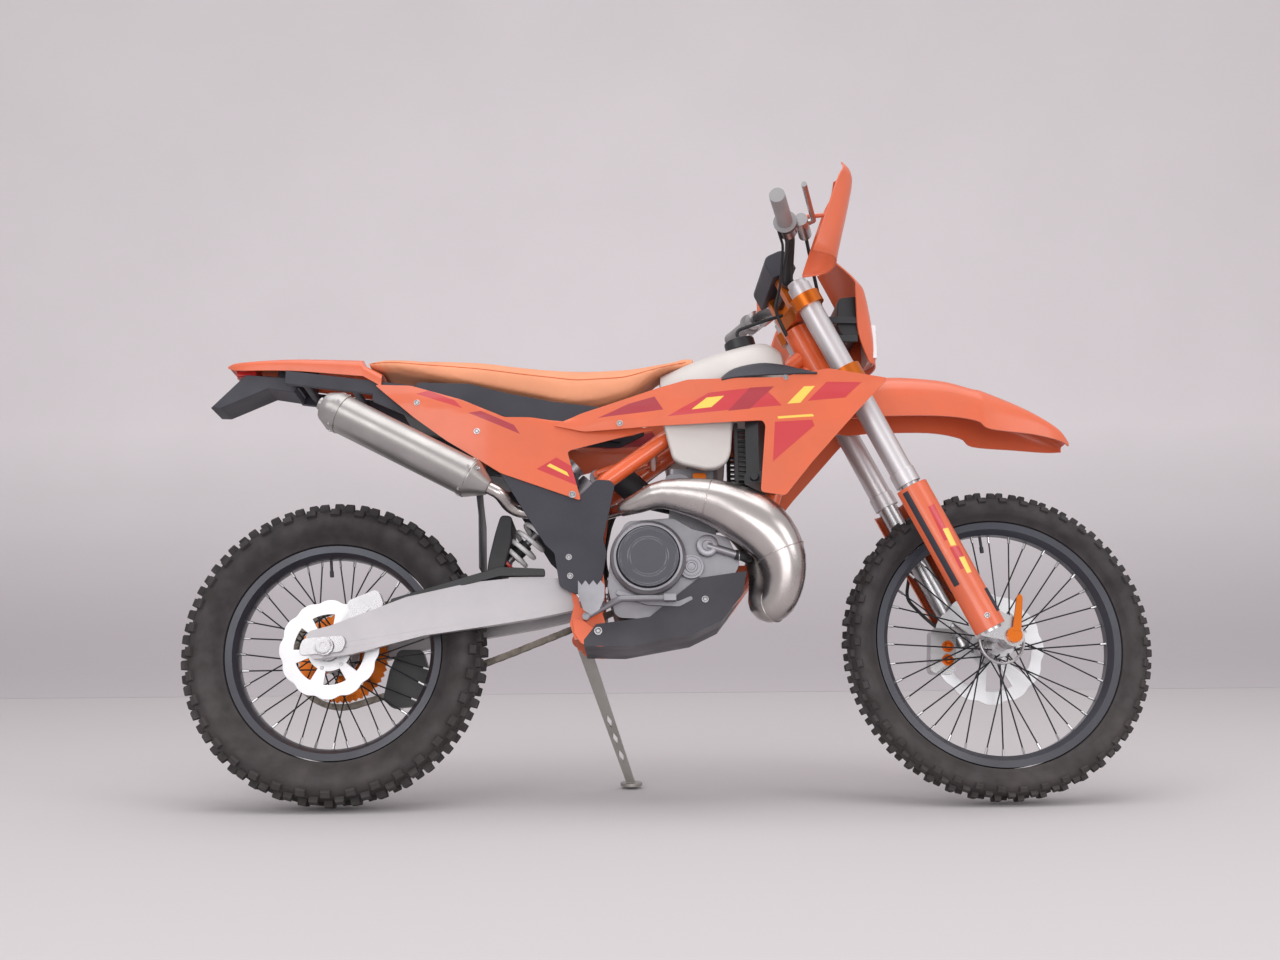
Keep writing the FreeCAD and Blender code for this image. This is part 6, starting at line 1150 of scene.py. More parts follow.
@dataclass(frozen=True)
class Chain(Dressing):
    """The drive chain's links along their route beside the swingarm.

    Args:
        rear: the rear sprocket's middle.
        front: the front sprocket's middle.
        sag: where the lower run's two straight parts would meet.
        sag_reach: how far from there its bend starts.
        line_y: the chain's distance from the bike's middle.
        pitch: nominal distance between pins.
        rear_radius: radius of the pins round the rear sprocket.
        front_radius: radius round the front sprocket.
        arc_steps: facets of each arc.
    """

    rear: tuple[float, float] = (0.0, REAR_AXLE_HEIGHT)
    front: tuple[float, float] = (628.0, 480.0)
    sag: tuple[float, float] = (328.0, 325.0)
    sag_reach: float = 90.0
    line_y: float = 82.0
    pitch: float = 15.875
    rear_radius: float = 113.8
    front_radius: float = 33.17
    arc_steps: int = 24

    @staticmethod
    def touch(first: Vector, second: Vector, first_radius: float, second_radius: float, side: int) -> float:
        """Angle at which a belt over two wheels leaves them, above (1) or below (-1)."""
        way = second - first
        return math.atan2(way.y, way.x) + side * math.acos((first_radius - second_radius) / way.length)

    def arc(self, centre: Vector, radius: float, start: float, end: float) -> list[Vector]:
        """Points of an arc."""
        angles = [start + (end - start) * step / self.arc_steps for step in range(self.arc_steps + 1)]
        return [centre + radius * Vector((math.cos(angle), math.sin(angle))) for angle in angles]

    def pins(self) -> list[Vector]:
        """Evenly spaced pins round the whole loop, as places along and above."""
        rear, front, sag = Vector(self.rear), Vector(self.front), Vector(self.sag)
        top = self.touch(rear, front, self.rear_radius, self.front_radius, 1)
        rear_low = self.touch(rear, sag, self.rear_radius, 0, -1)
        front_low = self.touch(sag, front, 0, self.front_radius, -1)
        nose = self.arc(front, self.front_radius, top, front_low)
        tail = self.arc(rear, self.rear_radius, rear_low, top - FULL_TURN)
        ahead, behind = (nose[-1] - sag).normalized(), (tail[0] - sag).normalized()
        bend = []
        for step in range(self.arc_steps + 1):
            share = step / self.arc_steps
            along = (1 - share) ** 2 * ahead + share**2 * behind
            bend.append(sag + along * self.sag_reach)
        loop = nose + bend + tail + [nose[0]]
        runs = [(second - first).length for first, second in zip(loop, loop[1:])]
        count = 2 * round(sum(runs) / self.pitch / 2)
        step = sum(runs) / count
        pins, gone, at = [], 0.0, 0
        for index in range(count):
            while at < len(runs) - 1 and gone + runs[at] < index * step:
                gone += runs[at]
                at += 1
            pins.append(loop[at].lerp(loop[at + 1], (index * step - gone) / max(runs[at], 1e-6)))
        return pins

    def link(self, inner: float, outer: float, roller: float, half: float) -> bpy.types.Object:
        """One link: two waisted plates and what joins them at both pins."""
        outline = []
        for end, way in ((0, -1), (self.pitch, 1)):
            turns = [math.radians(angle) for angle in (-100, -50, 0, 50, 100)]
            outline += [(end + way * 7 * math.cos(turn), 0, way * 7 * math.sin(turn)) for turn in turns]
        parts = []
        for side in BOTH:
            near = [(x, side * inner, z) for x, _, z in outline]
            parts.append(Bench.plate("plate", near, (0, side * (outer - inner), 0)))
        for x in (0, self.pitch):
            parts.append(Bench.rod("roller", Vector((x, -half, 0)), Vector((x, half, 0)), roller, 8))
        return Bench.joined(parts, "link")

    def fit(self, fitter: Fitter) -> None:
        """Mount all the links as one chain."""
        pins = self.pins()
        places = []
        for index, pin in enumerate(pins):
            way = (pins[(index + 1) % len(pins)] - pin).normalized()
            place = Matrix(((way.x, 0, -way.y, pin.x), (0, 1, 0, self.line_y), (way.y, 0, way.x, pin.y), (0, 0, 0, 1)))
            places.append(place)
        wide = Bench.copies(self.link(8.0, 9.4, 2.4, 10.0), places[::2], "wide")
        narrow = Bench.copies(self.link(4.9, 6.4, 5.0, 4.9), places[1::2], "narrow")
        chain = Bench.joined([wide, narrow], "chain_links")
        Bench.smooth(chain)
        fitter.mount(chain, Body.FRAME, "chain_steel", "drive_chain")


@dataclass(frozen=True)
class Spring(Dressing):
    """The shock's coil with its adjuster ring and bump stop.

    Args:
        foot: the shock's lower end.
        top: its upper end.
        coil_radius: distance of the wire's middle from the axis.
        wire: half thickness of the wire.
        turns: turns of the coil.
        shares: where the coil starts and ends along the shock.
        steps: points in each turn.
    """

    foot: Point = (360.0, -6.0, 524.0)
    top: Point = (588.0, -6.0, 742.0)
    coil_radius: float = 34.5
    wire: float = 5.6
    turns: float = 6.5
    shares: tuple[float, float] = (0.115, 0.655)
    steps: int = 14

    def collar(self, name: str, low: float, high: float, radius: float, sides: int) -> bpy.types.Object:
        """A ring round the shock between two shares of its length."""
        foot, top = Vector(self.foot), Vector(self.top)
        piece = Bench.rod(name, foot.lerp(top, low), foot.lerp(top, high), radius, sides)
        Bench.soften(piece, 1.6, 2)
        return piece

    def fit(self, fitter: Fitter) -> None:
        """Mount the coil, the rings and the rod's rubber."""
        foot, top = Vector(self.foot), Vector(self.top)
        place = toward(self.foot, top - foot)
        length = (top - foot).length
        count = int(self.turns * self.steps)
        spots = []
        for index in range(count + 1):
            share = index / count
            closing = min(share, 1 - share) * self.turns
            pull = 0.5 - 0.5 * math.cos(math.pi * min(closing, 1.0))
            spaced = self.shares[0] + (self.shares[1] - self.shares[0]) * (share + (0.5 - share) * 0.10 * (1 - pull))
            angle = FULL_TURN * self.turns * share
            ring = Vector((self.coil_radius * math.cos(angle), self.coil_radius * math.sin(angle), length * spaced))
            spots.append(tuple(place @ ring))
        coil = Bench.cable("spring_coil", spots, self.wire)
        Bench.smooth(coil, ROUND_DEG)
        fitter.mount(coil, Body.FRAME, "spring_white", "shock_spring")
        adjuster = self.collar("spring_adjuster", 0.668, 0.70, 38, 12)
        fitter.mount(adjuster, Body.FRAME, "red_parts")
        lower = self.collar("spring_seat", 0.075, 0.10, 39, 40)
        fitter.mount(lower, Body.FRAME, "red_parts")
        stops = [self.collar("stop", low, low + 0.045, 19 - 40 * (low - 0.16), 20) for low in (0.16, 0.205, 0.25)]
        fitter.mount(Bench.joined(stops, "bump_stop"), Body.FRAME, "black_rubber")


# ---------------------------------------------------------------- seat


@dataclass(frozen=True)
class Seat(Dressing):
    """The padded saddle: a crowned foam form, blown up a little as cloth, with sewn seams.

    Args:
        stations: place along the bike, half width, low edge and crown of each section.
        side_share: half width at the shoulder, of the widest.
        shoulder_share: height of the shoulder.
        crown_share: half width of the crown.
        voxel: size of the cover's even mesh.
        pressure: how hard it is blown up.
        most: how far a point may move.
        frames: steps of the cloth run.
    """

    stations: tuple[tuple[float, float, float, float], ...] = (
        (58, 66, 1001, 1012), (100, 82, 989, 1013), (150, 89, 981, 1011), (240, 93, 960, 1008), (328, 93, 941, 1004),
        (435, 89, 918, 992), (545, 81, 897, 986), (651, 71, 923, 991), (736, 60, 988, 1004), (815, 42, 1005, 1025),
    )
    side_share: float = 0.99
    shoulder_share: float = 0.66
    crown_share: float = 0.55
    voxel: float = 0.0055
    pressure: float = 4.0
    most: float = 0.005
    frames: int = 20

    def section(self, x: float, half: float, low: float, top: float) -> list[Vector]:
        """One rounded section."""
        shoulder = low + (top - low) * self.shoulder_share
        side, crown = half * self.side_share, half * self.crown_share
        up, foot = low + (top - low) * 0.12, half * 0.93
        right = [(x, -foot, low), (x, -half, up), (x, -side, shoulder), (x, -crown, top)]
        left = [(x, -y, z) for _, y, z in reversed(right)]
        return rounded(right + [(x, 0, top + 2.5)] + left, 2)

    def blow(self, piece: bpy.types.Object) -> None:
        """Blow the cover up with cloth, and cap how far each point moves."""
        Bench.modify(piece, "REMESH", mode="VOXEL", voxel_size=self.voxel)
        rest = [vert.co.copy() for vert in piece.data.vertices]
        modifier = piece.modifiers.new("Cloth", "CLOTH")
        modifier.settings.use_pressure = True
        modifier.settings.uniform_pressure_force = self.pressure
        modifier.settings.effector_weights.gravity = 0.0
        scene = bpy.context.scene
        for step in range(1, self.frames + 1):
            scene.frame_set(step)
        Bench.choose([piece])
        bpy.ops.object.modifier_apply(modifier=modifier.name)
        scene.frame_set(1)
        for vert, before in zip(piece.data.vertices, rest):
            move = vert.co - before
            if move.length > self.most:
                vert.co = before + move.normalized() * self.most
        Bench.modify(piece, "SMOOTH", factor=0.5, iterations=6)
        Bench.modify(piece, "SUBSURF", levels=1, render_levels=1)

    def seam(self, cover: bpy.types.Object, place: Matrix, side: int, name: str) -> bpy.types.Object:
        """A piping that lies on the cover along the shoulder of one side."""
        spots = []
        for first, second in zip(self.stations, self.stations[1:]):
            for step in range(4):
                x, half, low, top = [a + (b - a) * step / 4 for a, b in zip(first, second)]
                spot = place @ Vector((x, side * half * 0.97, low + (top - low) * (self.shoulder_share + 0.06)))
                _, near, normal, _ = cover.closest_point_on_mesh(spot)
                spots.append(tuple(near + normal * 0.0002))
        return Bench.cable(name, spots, 0.0012, 2)

    def fit(self, fitter: Fitter) -> None:
        """Mount the cover and its piping."""
        rings = eased([self.section(*station) for station in self.stations], 4)
        cover = Bench.drawn("seat_cover", rings)
        place = fitter.stance.of(Body.FRAME)
        Bench.fit(cover, place)
        self.blow(cover)
        Bench.smooth(cover, ROUND_DEG)
        fitter.mount(cover, Body.FRAME, "seat_cover", "seat", placed=True)
        sides = [self.seam(cover, place, side, "piping") for side in BOTH]
        piping = Bench.joined(sides, "seat_piping")
        Bench.smooth(piping, ROUND_DEG)
        fitter.mount(piping, Body.FRAME, "seat_thread", placed=True)


# ---------------------------------------------------------------- plastics


@dataclass(frozen=True)
class Trough(Dressing):
    """A fender: a rounded channel through stations, open below.

    Args:
        label: the piece's name.
        node: the CAD node it stands for.
        body: what carries it.
        stations: place along the bike, half width, low edge and crown of each section.
        straight: stations after this many are joined by straight runs.
        wall: thickness.
        shoulder_share: how far below the crown the shoulder is, of the section's height.
        crown_share: half width of the crown, of the section's.
        crease: height of the raised line along each shoulder.
    """

    label: str
    node: str
    body: Body
    stations: tuple[tuple[float, float, float, float], ...]
    straight: int
    wall: float = 3.5
    shoulder_share: float = 0.28
    crown_share: float = 0.62
    crease: float = 2.0

    def section(self, x: float, half: float, low: float, crown: float) -> list[Vector]:
        """One section from the right edge over the crown to the left edge."""
        shoulder = crown - (crown - low) * self.shoulder_share
        flat = half * self.crown_share
        dip = crown - self.crease
        right = [(x, -half, low), (x, -half, shoulder), (x, -flat, crown), (x, -flat * 0.82, dip)]
        left = [(x, -y, z) for _, y, z in reversed(right)]
        return rounded(right + left, 2, closed=False)

    def fit(self, fitter: Fitter) -> None:
        """Mount the fender."""
        rings = [self.section(*station) for station in self.stations]
        smooth = eased(rings[: self.straight], 5) + [list(ring) for ring in rings[self.straight :]]
        skin = Bench.drawn(self.label, smooth, closed=False)
        Bench.walled(skin, (0, 0, 1), self.wall)
        Bench.soften(skin, 0.9, 2, SHEET_DEG)
        fitter.mount(skin, self.body, "orange_plastic", self.node)


@dataclass(frozen=True)
class Panel(Dressing):
    """A thin shell with a side outline, bowed outwards along the bike and folded along lines.

    Args:
        label: the piece's name.
        node: the CAD node it stands for.
        finish: its finish.
        frame_box: back end, low end, length and height that the outline's shares refer to.
        outline: side outline as shares.
        bow: pairs of a share of the length and a share of the bulge.
        rear_y: distance from the bike's middle at the back end.
        bulge: how much further out it gets.
        wall: thickness.
        step: distance between the cuts that let the shell bend.
        reach: how far the outline's corners are rounded.
        folds: lines along which the shell is folded: two points and the step inwards above them.
    """

    label: str
    node: str
    finish: str
    frame_box: tuple[float, float, float, float]
    outline: tuple[tuple[float, float], ...]
    bow: tuple[tuple[float, float], ...]
    rear_y: float
    bulge: float
    wall: float = 4.0
    step: float = 14.0
    reach: float = 9.0
    folds: tuple[tuple[float, float, float, float, float], ...] = ()

    FOLD_REACH = 9.0

    def distance(self, x: float, z: float) -> float:
        """How far the outer face is from the bike's middle."""
        back, _, length, _ = self.frame_box
        share = min(max((x - back) / length, 0.0), 1.0)
        index = max(i for i, (at, _) in enumerate(self.bow[:-1]) if at <= share)
        (_, before), (start_at, start), (end_at, end), (_, after) = neighbours(self.bow, index)
        bowed = between(before, start, end, after, (share - start_at) / (end_at - start_at))
        inward = 0.0
        for x0, z0, x1, z1, depth in self.folds:
            line = z0 + (z1 - z0) * (x - x0) / (x1 - x0)
            reach = min(max((z - line) / self.FOLD_REACH, 0.0), 1.0)
            inward += depth * reach * reach * (3 - 2 * reach)
        return self.rear_y + self.bulge * bowed - inward

    def half(self, side: int) -> bpy.types.Object:
        """The shell of one side."""
        back, low, length, tall = self.frame_box
        corners = [(back + length * along, 0, low + tall * up) for along, up in self.outline]
        ring = filleted(corners, self.reach)
        skin = Bench.shell(self.label, ring, [tuple(range(len(ring)))])
        with Bench.editing(skin, "SELECT"):
            for axis, start, run in (((1, 0, 0), back, length), ((0, 0, 1), low, tall)):
                for cut in range(1, int(run / self.step)):
                    spot = start + cut * self.step
                    bpy.ops.mesh.select_all(action="SELECT")
                    bpy.ops.mesh.bisect(plane_co=(spot * axis[0], 0, spot * axis[2]), plane_no=axis)
        for vert in skin.data.vertices:
            vert.co.y = side * self.distance(vert.co.x, vert.co.z)
        Bench.walled(skin, (0, side, 0), self.wall, use_even_offset=True)
        Bench.soften(skin, 0.9, 2, SHEET_DEG)
        return skin

    def fit(self, fitter: Fitter) -> None:
        """Mount both sides as one piece."""
        both = Bench.joined([self.half(side) for side in BOTH], self.label)
        fitter.mount(both, Body.FRAME, self.finish, self.node)


@dataclass(frozen=True)
class Mask(Dressing):
    """The headlight mask with its window, tabs and curved lens.

    Args:
        levels: height, back, front and half width of each section.
        wall: thickness.
        window: low end, top end and half width of the opening for the lens.
        tabs: heights of the straps behind the mask.
        lens_x: place of the lens along the bike.
        bulge: how far the lens comes forward in its middle.
    """

    levels: tuple[tuple[float, float, float, float], ...] = (
        (1003, 1219, 1242, 54), (1064, 1190, 1240, 84), (1157, 1184, 1224, 104), (1192, 1180, 1206, 100),
        (1268, 1128, 1146, 60),
    )
    wall: float = 3.5
    window: tuple[float, float, float] = (1016, 1098, 48)
    tabs: tuple[float, float] = (1048, 1093)
    lens_x: float = 1238.0
    bulge: float = 12.0

    def section(self, z: float, back: float, front: float, half: float) -> list[Vector]:
        """One level from the right edge round the nose to the left edge."""
        corner = front - (front - back) * 0.3
        ring = [(back, -half, z), (corner, -0.75 * half, z), (front, -0.3 * half, z), (front, 0.3 * half, z),
                (corner, 0.75 * half, z), (back, half, z)]
        return rounded(ring, 2, closed=False)

    def fit(self, fitter: Fitter) -> None:
        """Mount the mask and its lens."""
        rings = eased([self.section(*level) for level in self.levels], 5)
        skin = Bench.drawn("headlight_mask_shell", rings, closed=False)
        Bench.walled(skin, (1, 0, 0), self.wall)
        low, top, half = self.window
        cutter = Bench.box("window", (self.lens_x, 0, (low + top) / 2), (160, 2 * half, top - low))
        with Bench.editing(cutter, "SELECT"):
            bpy.ops.mesh.bevel(offset=12, segments=4)
        Bench.modify(skin, "BOOLEAN", object=cutter, operation="DIFFERENCE", solver="EXACT")
        bpy.data.objects.remove(cutter)
        Bench.soften(skin, 0.8, 2, SHEET_DEG)
        straps = []
        for side in BOTH:
            for z in self.tabs:
                tab = Bench.box("tab", (1144, side * 86, z), (84, self.wall, 16))
                Bench.soften(tab, 1.2, 2)
                straps.append(tab)
        fitter.mount(skin, Body.STEERING, "orange_plastic", "headlight_mask")
        fitter.mount(Bench.joined(straps, "headlight_mask_straps"), Body.STEERING, "black_rubber")
        rings = []
        for step in range(13):
            z = low + 0.5 + (top - low - 1) * step / 12
            rise = 1 - (2 * step / 12 - 1) ** 4
            line = [(self.lens_x - 16, -half + 0.5, z)]
            for along in range(9):
                y = (half - 0.5) * (along / 4 - 1)
                line.append((self.lens_x + self.bulge * rise * (1 - (y / half) ** 2), y, z))
            line.append((self.lens_x - 16, half - 0.5, z))
            rings.append(line)
        lens = Bench.drawn("headlight_glass", rings)
        Bench.smooth(lens, 40)
        fitter.mount(lens, Body.STEERING, "clear_lens", "headlight_lens")


@dataclass(frozen=True)
class HandGuards(Dressing):
    """Curved shields ahead of the levers, on stays from the bar.

    Args:
        levels: height, front, depth, inner and outer place of each section.
        plan: each section's line as shares of its depth and width.
        wall: thickness.
        ring_at: start of the stay on the bar.
        knee: its bend.
        tip: its end behind the shield.
    """

    levels: tuple[tuple[float, float, float, float, float], ...] = (
        (1117, 1090, 60, 262, 400), (1146, 1096, 57, 244, 410), (1272, 1126, 42, 240, 414),
        (1309, 1127, 26, 256, 404), (1334, 1113, 10, 290, 380),
    )
    plan: tuple[tuple[float, float], ...] = ((-1, 0), (-0.25, 0.13), (0, 0.34), (0, 0.66), (-0.25, 0.87), (-1, 1))
    wall: float = 4.0
    ring_at: Point = (1008.4, 236.0, 1233.3)
    knee: Point = (1008.0, 236.0, 1271.0)
    tip: Point = (1104.0, 258.0, 1272.0)

    def fit(self, fitter: Fitter) -> None:
        """Mount both shields with their stays."""
        parts = []
        for side in BOTH:
            rings = []
            for z, front, depth, inner, outer in self.levels:
                ring = [(front + depth * back, side * (inner + (outer - inner) * out), z) for back, out in self.plan]
                rings.append(rounded(ring, 2, closed=False))
            shield = Bench.drawn("shield", eased(rings, 5), closed=False)
            Bench.walled(shield, (1, 0, 0), self.wall)
            Bench.soften(shield, 1.0, 2, SHEET_DEG)
            places = [(x, side * y, z) for x, y, z in (self.ring_at, self.knee, self.knee, self.tip)]
            stay = Bench.cable("stay", places, 5.0)
            Bench.smooth(stay, ROUND_DEG)
            parts += [shield, stay]
        fitter.mount(Bench.joined(parts, "hand_guard_shields"), Body.STEERING, "orange_plastic", "hand_guards")


@dataclass(frozen=True)
class Tank(Dressing):
    """The fuel tank: a rounded body between the frame's beams and a soft lobe on each side.

    Args:
        stations: place along the bike, half width above and below, low edge and top of each section.
        lobe: side outline of the lobes.
        inner_y: where the lobes start beside the bike's middle.
        outer_y: where they end.
        shelf: back, front, low edge and top of what joins a lobe to the body.
    """

    stations: tuple[tuple[float, float, float, float, float], ...] = (
        (735, 26, 60, 880, 985), (800, 52, 96, 862, 1010), (890, 66, 108, 868, 1040), (975, 58, 104, 870, 1060),
        (1020, 34, 76, 900, 1040),
    )
    lobe: tuple[tuple[float, float], ...] = (
        (728, 877), (895, 877), (892, 815), (888, 764), (878, 742), (856, 729), (832, 727), (778, 740), (759, 752),
        (748, 794),
    )
    inner_y: float = 116.0
    outer_y: float = 140.0
    shelf: tuple[float, float, float, float] = (752.0, 893.0, 846.0, 872.0)

    def section(self, x: float, half_top: float, half_low: float, low: float, top: float) -> list[Vector]:
        """One rounded section of the body."""
        middle = low + (top - low) * 0.55
        foot = half_low * 0.9
        ring = [(x, -foot, low), (x, foot, low), (x, half_low, middle), (x, half_top, top), (x, -half_top, top),
                (x, -half_low, middle)]
        return rounded(ring, 2)

    def fit(self, fitter: Fitter) -> None:
        """Mount body, shelves and lobes as one piece."""
        body = Bench.drawn("tank_body", eased([self.section(*station) for station in self.stations], 5))
        Bench.soften(body, 8, 3, 60)
        parts = [body]
        back, front, low, top = self.shelf
        for side in BOTH:
            ring = filleted([(x, side * self.inner_y, z) for x, z in self.lobe], 12)
            lobe = Bench.plate("lobe", ring, (0, side * (self.outer_y - self.inner_y), 0))
            Bench.soften(lobe, 9, 5, 50)
            shelf = Bench.box("shelf", ((back + front) / 2, side * 105, (low + top) / 2), (front - back, 70, top - low))
            Bench.soften(shelf, 5, 3)
            parts += [lobe, shelf]
        fitter.mount(Bench.joined(parts, "tank_shell"), Body.FRAME, "tank_plastic", "fuel_tank")


@dataclass(frozen=True)
class Softened(Dressing):
    """A CAD piece copied with its corners merged, its sharp edges rounded and its curves smooth.

    Args:
        node: the CAD node.
        width_mm: how wide its edges are rounded.
        angle_deg: edges sharper than this are rounded, and gentler ones shaded smooth.
    """

    node: str
    width_mm: float = 1.0
    angle_deg: float = 35.0

    def fit(self, fitter: Fitter) -> None:
        """Mount the copy in the node's place."""
        piece = Bench.merged(frame["nodes"][self.node], f"{self.node}_finished")
        Bench.soften(piece, self.width_mm * MM, 2, self.angle_deg)
        fitter.mount(piece, fitter.carriers[self.node], NODE_FINISHES[self.node], self.node, placed=True)


FRONT_FENDER = Trough(
    label="front_fender_shell",
    node="front_fender",
    body=Body.STEERING,
    stations=(
        (1128, 60, 868, 909), (1186, 66, 862, 938), (1246, 68, 868, 970), (1378, 66, 870, 966), (1456, 70, 858, 946),
        (1486, 72, 838, 938), (1585, 66, 828, 896), (1654, 50, 818, 856), (1684, 26, 812, 826),
    ),
    straight=9,
)

REAR_FENDER = Trough(
    label="rear_fender_shell",
    node="rear_fender",
    body=Body.FRAME,
    stations=(
        (-266, 38, 1003, 1011), (-235, 56, 992, 1018), (-111, 76, 984, 1021), (52, 92, 965, 1014), (59, 92, 964, 999),
        (100, 92, 940, 978),
    ),
    straight=4,
    wall=4.0,
)

SHROUD = Panel(
    label="shroud_shells",
    node="shrouds",
    finish="shroud_livery",
    frame_box=(492, 655, 747, 291),
    outline=(
        (0, 0.615), (0.086, 0.711), (0.321, 0.893), (0.404, 0.945), (0.675, 0.928), (0.822, 1), (1, 0.928),
        (0.9, 0.653), (0.762, 0.258), (0.681, 0), (0.61, 0.034), (0.629, 0.55), (0.621, 0.588), (0.32, 0.584),
        (0.095, 0.56),
    ),
    bow=((0, 0), (0.32, 0.42), (0.62, 0.96), (0.8, 1), (1, 0.86)),
    rear_y=125,
    bulge=58,
    folds=((492, 838, 1239, 906, 5.0),),
)

SIDE_PANEL = Panel(
    label="side_panel_shells",
    node="side_panels",
    finish="panel_livery",
    frame_box=(85, 662, 638, 281),
    outline=(
        (0, 1), (0.129, 0.982), (0.315, 0.847), (0.467, 0.69), (0.563, 0.687), (0.629, 0.662), (1, 0.591),
        (0.688, 0.406), (0.737, 0), (0.458, 0.228), (0.263, 0.509), (0.143, 0.715),
    ),
    bow=((0, 0), (0.25, 0.6), (0.42, 0.98), (0.75, 1), (1, 0.86)),
    rear_y=97,
    bulge=23.5,
    folds=((85, 915, 723, 800, 3.0),),
)

SOFTENED = tuple(
    Softened(*row)
    for row in (
        ("engine_cases", 2.5), ("engine_covers", 2.0), ("cylinder", 1.5), ("triple_clamps", 1.5),
        ("front_caliper", 1.5), ("rear_caliper", 1.5), ("swingarm", 2.5), ("frame_guards", 1.2),
        ("skid_plate", 2.0, 25), ("plate_holder", 2.5, 25), ("foot_controls", 0.8), ("hand_controls", 0.8),
        ("radiators", 1.0), ("silencer", 1.5, 30), ("chain_guide", 1.5), ("fork_legs", 1.5), ("rear_axle", 0.8),
        ("side_stand", 1.2), ("main_frame", 1.2), ("expansion_chamber", 0.8), ("rear_sprocket", 0.5),
        ("mud_flap", 1.0), ("tail_light", 3.0), ("bar_pad", 3.0), ("tank_cap", 3.0), ("subframe", 1.5),
        ("fork_guards", 0.8), ("fork_tubes", 0.8), ("front_axle", 0.8), ("handlebar", 0.6), ("grips", 1.0),
        ("intake", 1.5), ("shock_absorber", 1.0), ("air_box", 3.0), ("front_sprocket", 0.5), ("front_hub", 0.8),
        ("rear_hub", 0.8), ("front_rim", 0.8), ("rear_rim", 0.8), ("breather_hose", 0.4), ("brake_hose", 0.4),
        ("throttle_cables", 0.4),
    )
)


# ---------------------------------------------------------------- details


@dataclass(frozen=True)
class Detail(Dressing):
    """A piece with a name, a body and a finish of its own.

    Args:
        label: the piece's name.
        body: what carries it.
        finish: its finish.
    """

    label: str
    body: Body
    finish: str


@dataclass(frozen=True)
class Screw:
    """A fastener on the surface of a finished piece.

    Args:
        target: the piece that it sits on.
        x: place along the upright bike.
        z: height.
        sides: on which sides of the bike.
        size: half width of its head.
    """

    target: str
    x: float
    z: float
    sides: tuple[int, ...] = RIGHT
    size: float = 5.5


@dataclass(frozen=True)
class Fasteners(Detail):
    """Flanged socket screws seated on the pieces they hold.

    Args:
        screws: the screws.
    """

    screws: tuple[Screw, ...]

    @staticmethod
    def master() -> bpy.types.Object:
        """One screw of unit head size, its flange on the origin."""
        flange = Bench.rod("flange", Vector((0, 0, -0.3)), Vector((0, 0, 0.22)), 1.25, 16)
        head = Bench.rod("head", Vector((0, 0, 0.1)), Vector((0, 0, 0.85)), 0.92, 12)
        with Bench.editing(head):
            Bench.pick(head, lambda centre, normal: normal.z > END_FACE)
            bpy.ops.mesh.bevel(offset=0.12, segments=1)
            Bench.pick(head, lambda centre, normal: normal.z > END_FACE and centre.length < 0.9)
            bpy.ops.mesh.inset(thickness=0.3)
            bpy.ops.transform.translate(value=(0, 0, -0.45))
        return Bench.joined([flange, head], "screw")

    def fit(self, fitter: Fitter) -> None:
        """Seat every screw and mount them as one piece."""
        places = []
        for screw in self.screws:
            for side in screw.sides:
                spot, way = fitter.landing(bpy.data.objects[screw.target], self.body, screw.x, screw.z, side)
                places.append(toward(spot, way) @ Matrix.Scale(screw.size, 4))
        piece = Bench.copies(self.master(), places, self.label)
        Bench.smooth(piece)
        fitter.mount(piece, self.body, self.finish)


@dataclass(frozen=True)
class Turned(Detail):
    """Round parts turned about lines across the bike.

    Args:
        centre: where the section's origin is.
        section: closed section as places outwards from the centre and radii.
        steps: facets round the turn.
        mirrored: whether the same part is on the other side too.
    """

    centre: Point
    section: tuple[tuple[float, float], ...]
    steps: int = 64
    mirrored: bool = False

    def fit(self, fitter: Fitter) -> None:
        """Mount the part."""
        parts = []
        for side in (1, -1) if self.mirrored else LEFT:
            way = math.copysign(1, self.centre[1]) * side
            part = Bench.spun(self.label, [(way * out, radius) for out, radius in self.section], self.steps)
            x, y, z = self.centre
            Bench.fit(part, Matrix.Translation((x, side * y, z)))
            parts.append(part)
        piece = Bench.joined(parts, self.label)
        Bench.soften(piece, 0.6, 2, 30)
        fitter.mount(piece, self.body, self.finish)


@dataclass(frozen=True)
class Plates(Detail):
    """Flat shaped pieces with softened edges, standing across the bike.

    Args:
        outlines: side outlines, each with its near and far distance from the middle.
        reach: how far the corners are rounded.
        sides: on which sides of the bike.
        width: how wide the edges are softened.
    """

    outlines: tuple[tuple[tuple[float, float], tuple[tuple[float, float], ...]], ...]
    reach: float = 5.0
    sides: tuple[int, ...] = RIGHT
    width: float = 1.0

    def fit(self, fitter: Fitter) -> None:
        """Mount the plates as one piece."""
        parts = []
        for side in self.sides:
            for (near, far), outline in self.outlines:
                ring = filleted([(x, side * near, z) for x, z in outline], self.reach)
                part = Bench.plate("plate", ring, (0, side * (far - near), 0))
                Bench.soften(part, self.width, 2, 40)
                parts.append(part)
        fitter.mount(Bench.joined(parts, self.label), self.body, self.finish)


@dataclass(frozen=True)
class Pipes(Detail):
    """Hoses and clamps along smooth lines.

    Args:
        runs: each line's points.
        radius: half thickness.
    """

    runs: tuple[tuple[Point, ...], ...]
    radius: float

    def fit(self, fitter: Fitter) -> None:
        """Mount the lines as one piece."""
        piece = Bench.joined([Bench.cable("run", run, self.radius) for run in self.runs], self.label)
        Bench.smooth(piece, ROUND_DEG)
        fitter.mount(piece, self.body, self.finish)


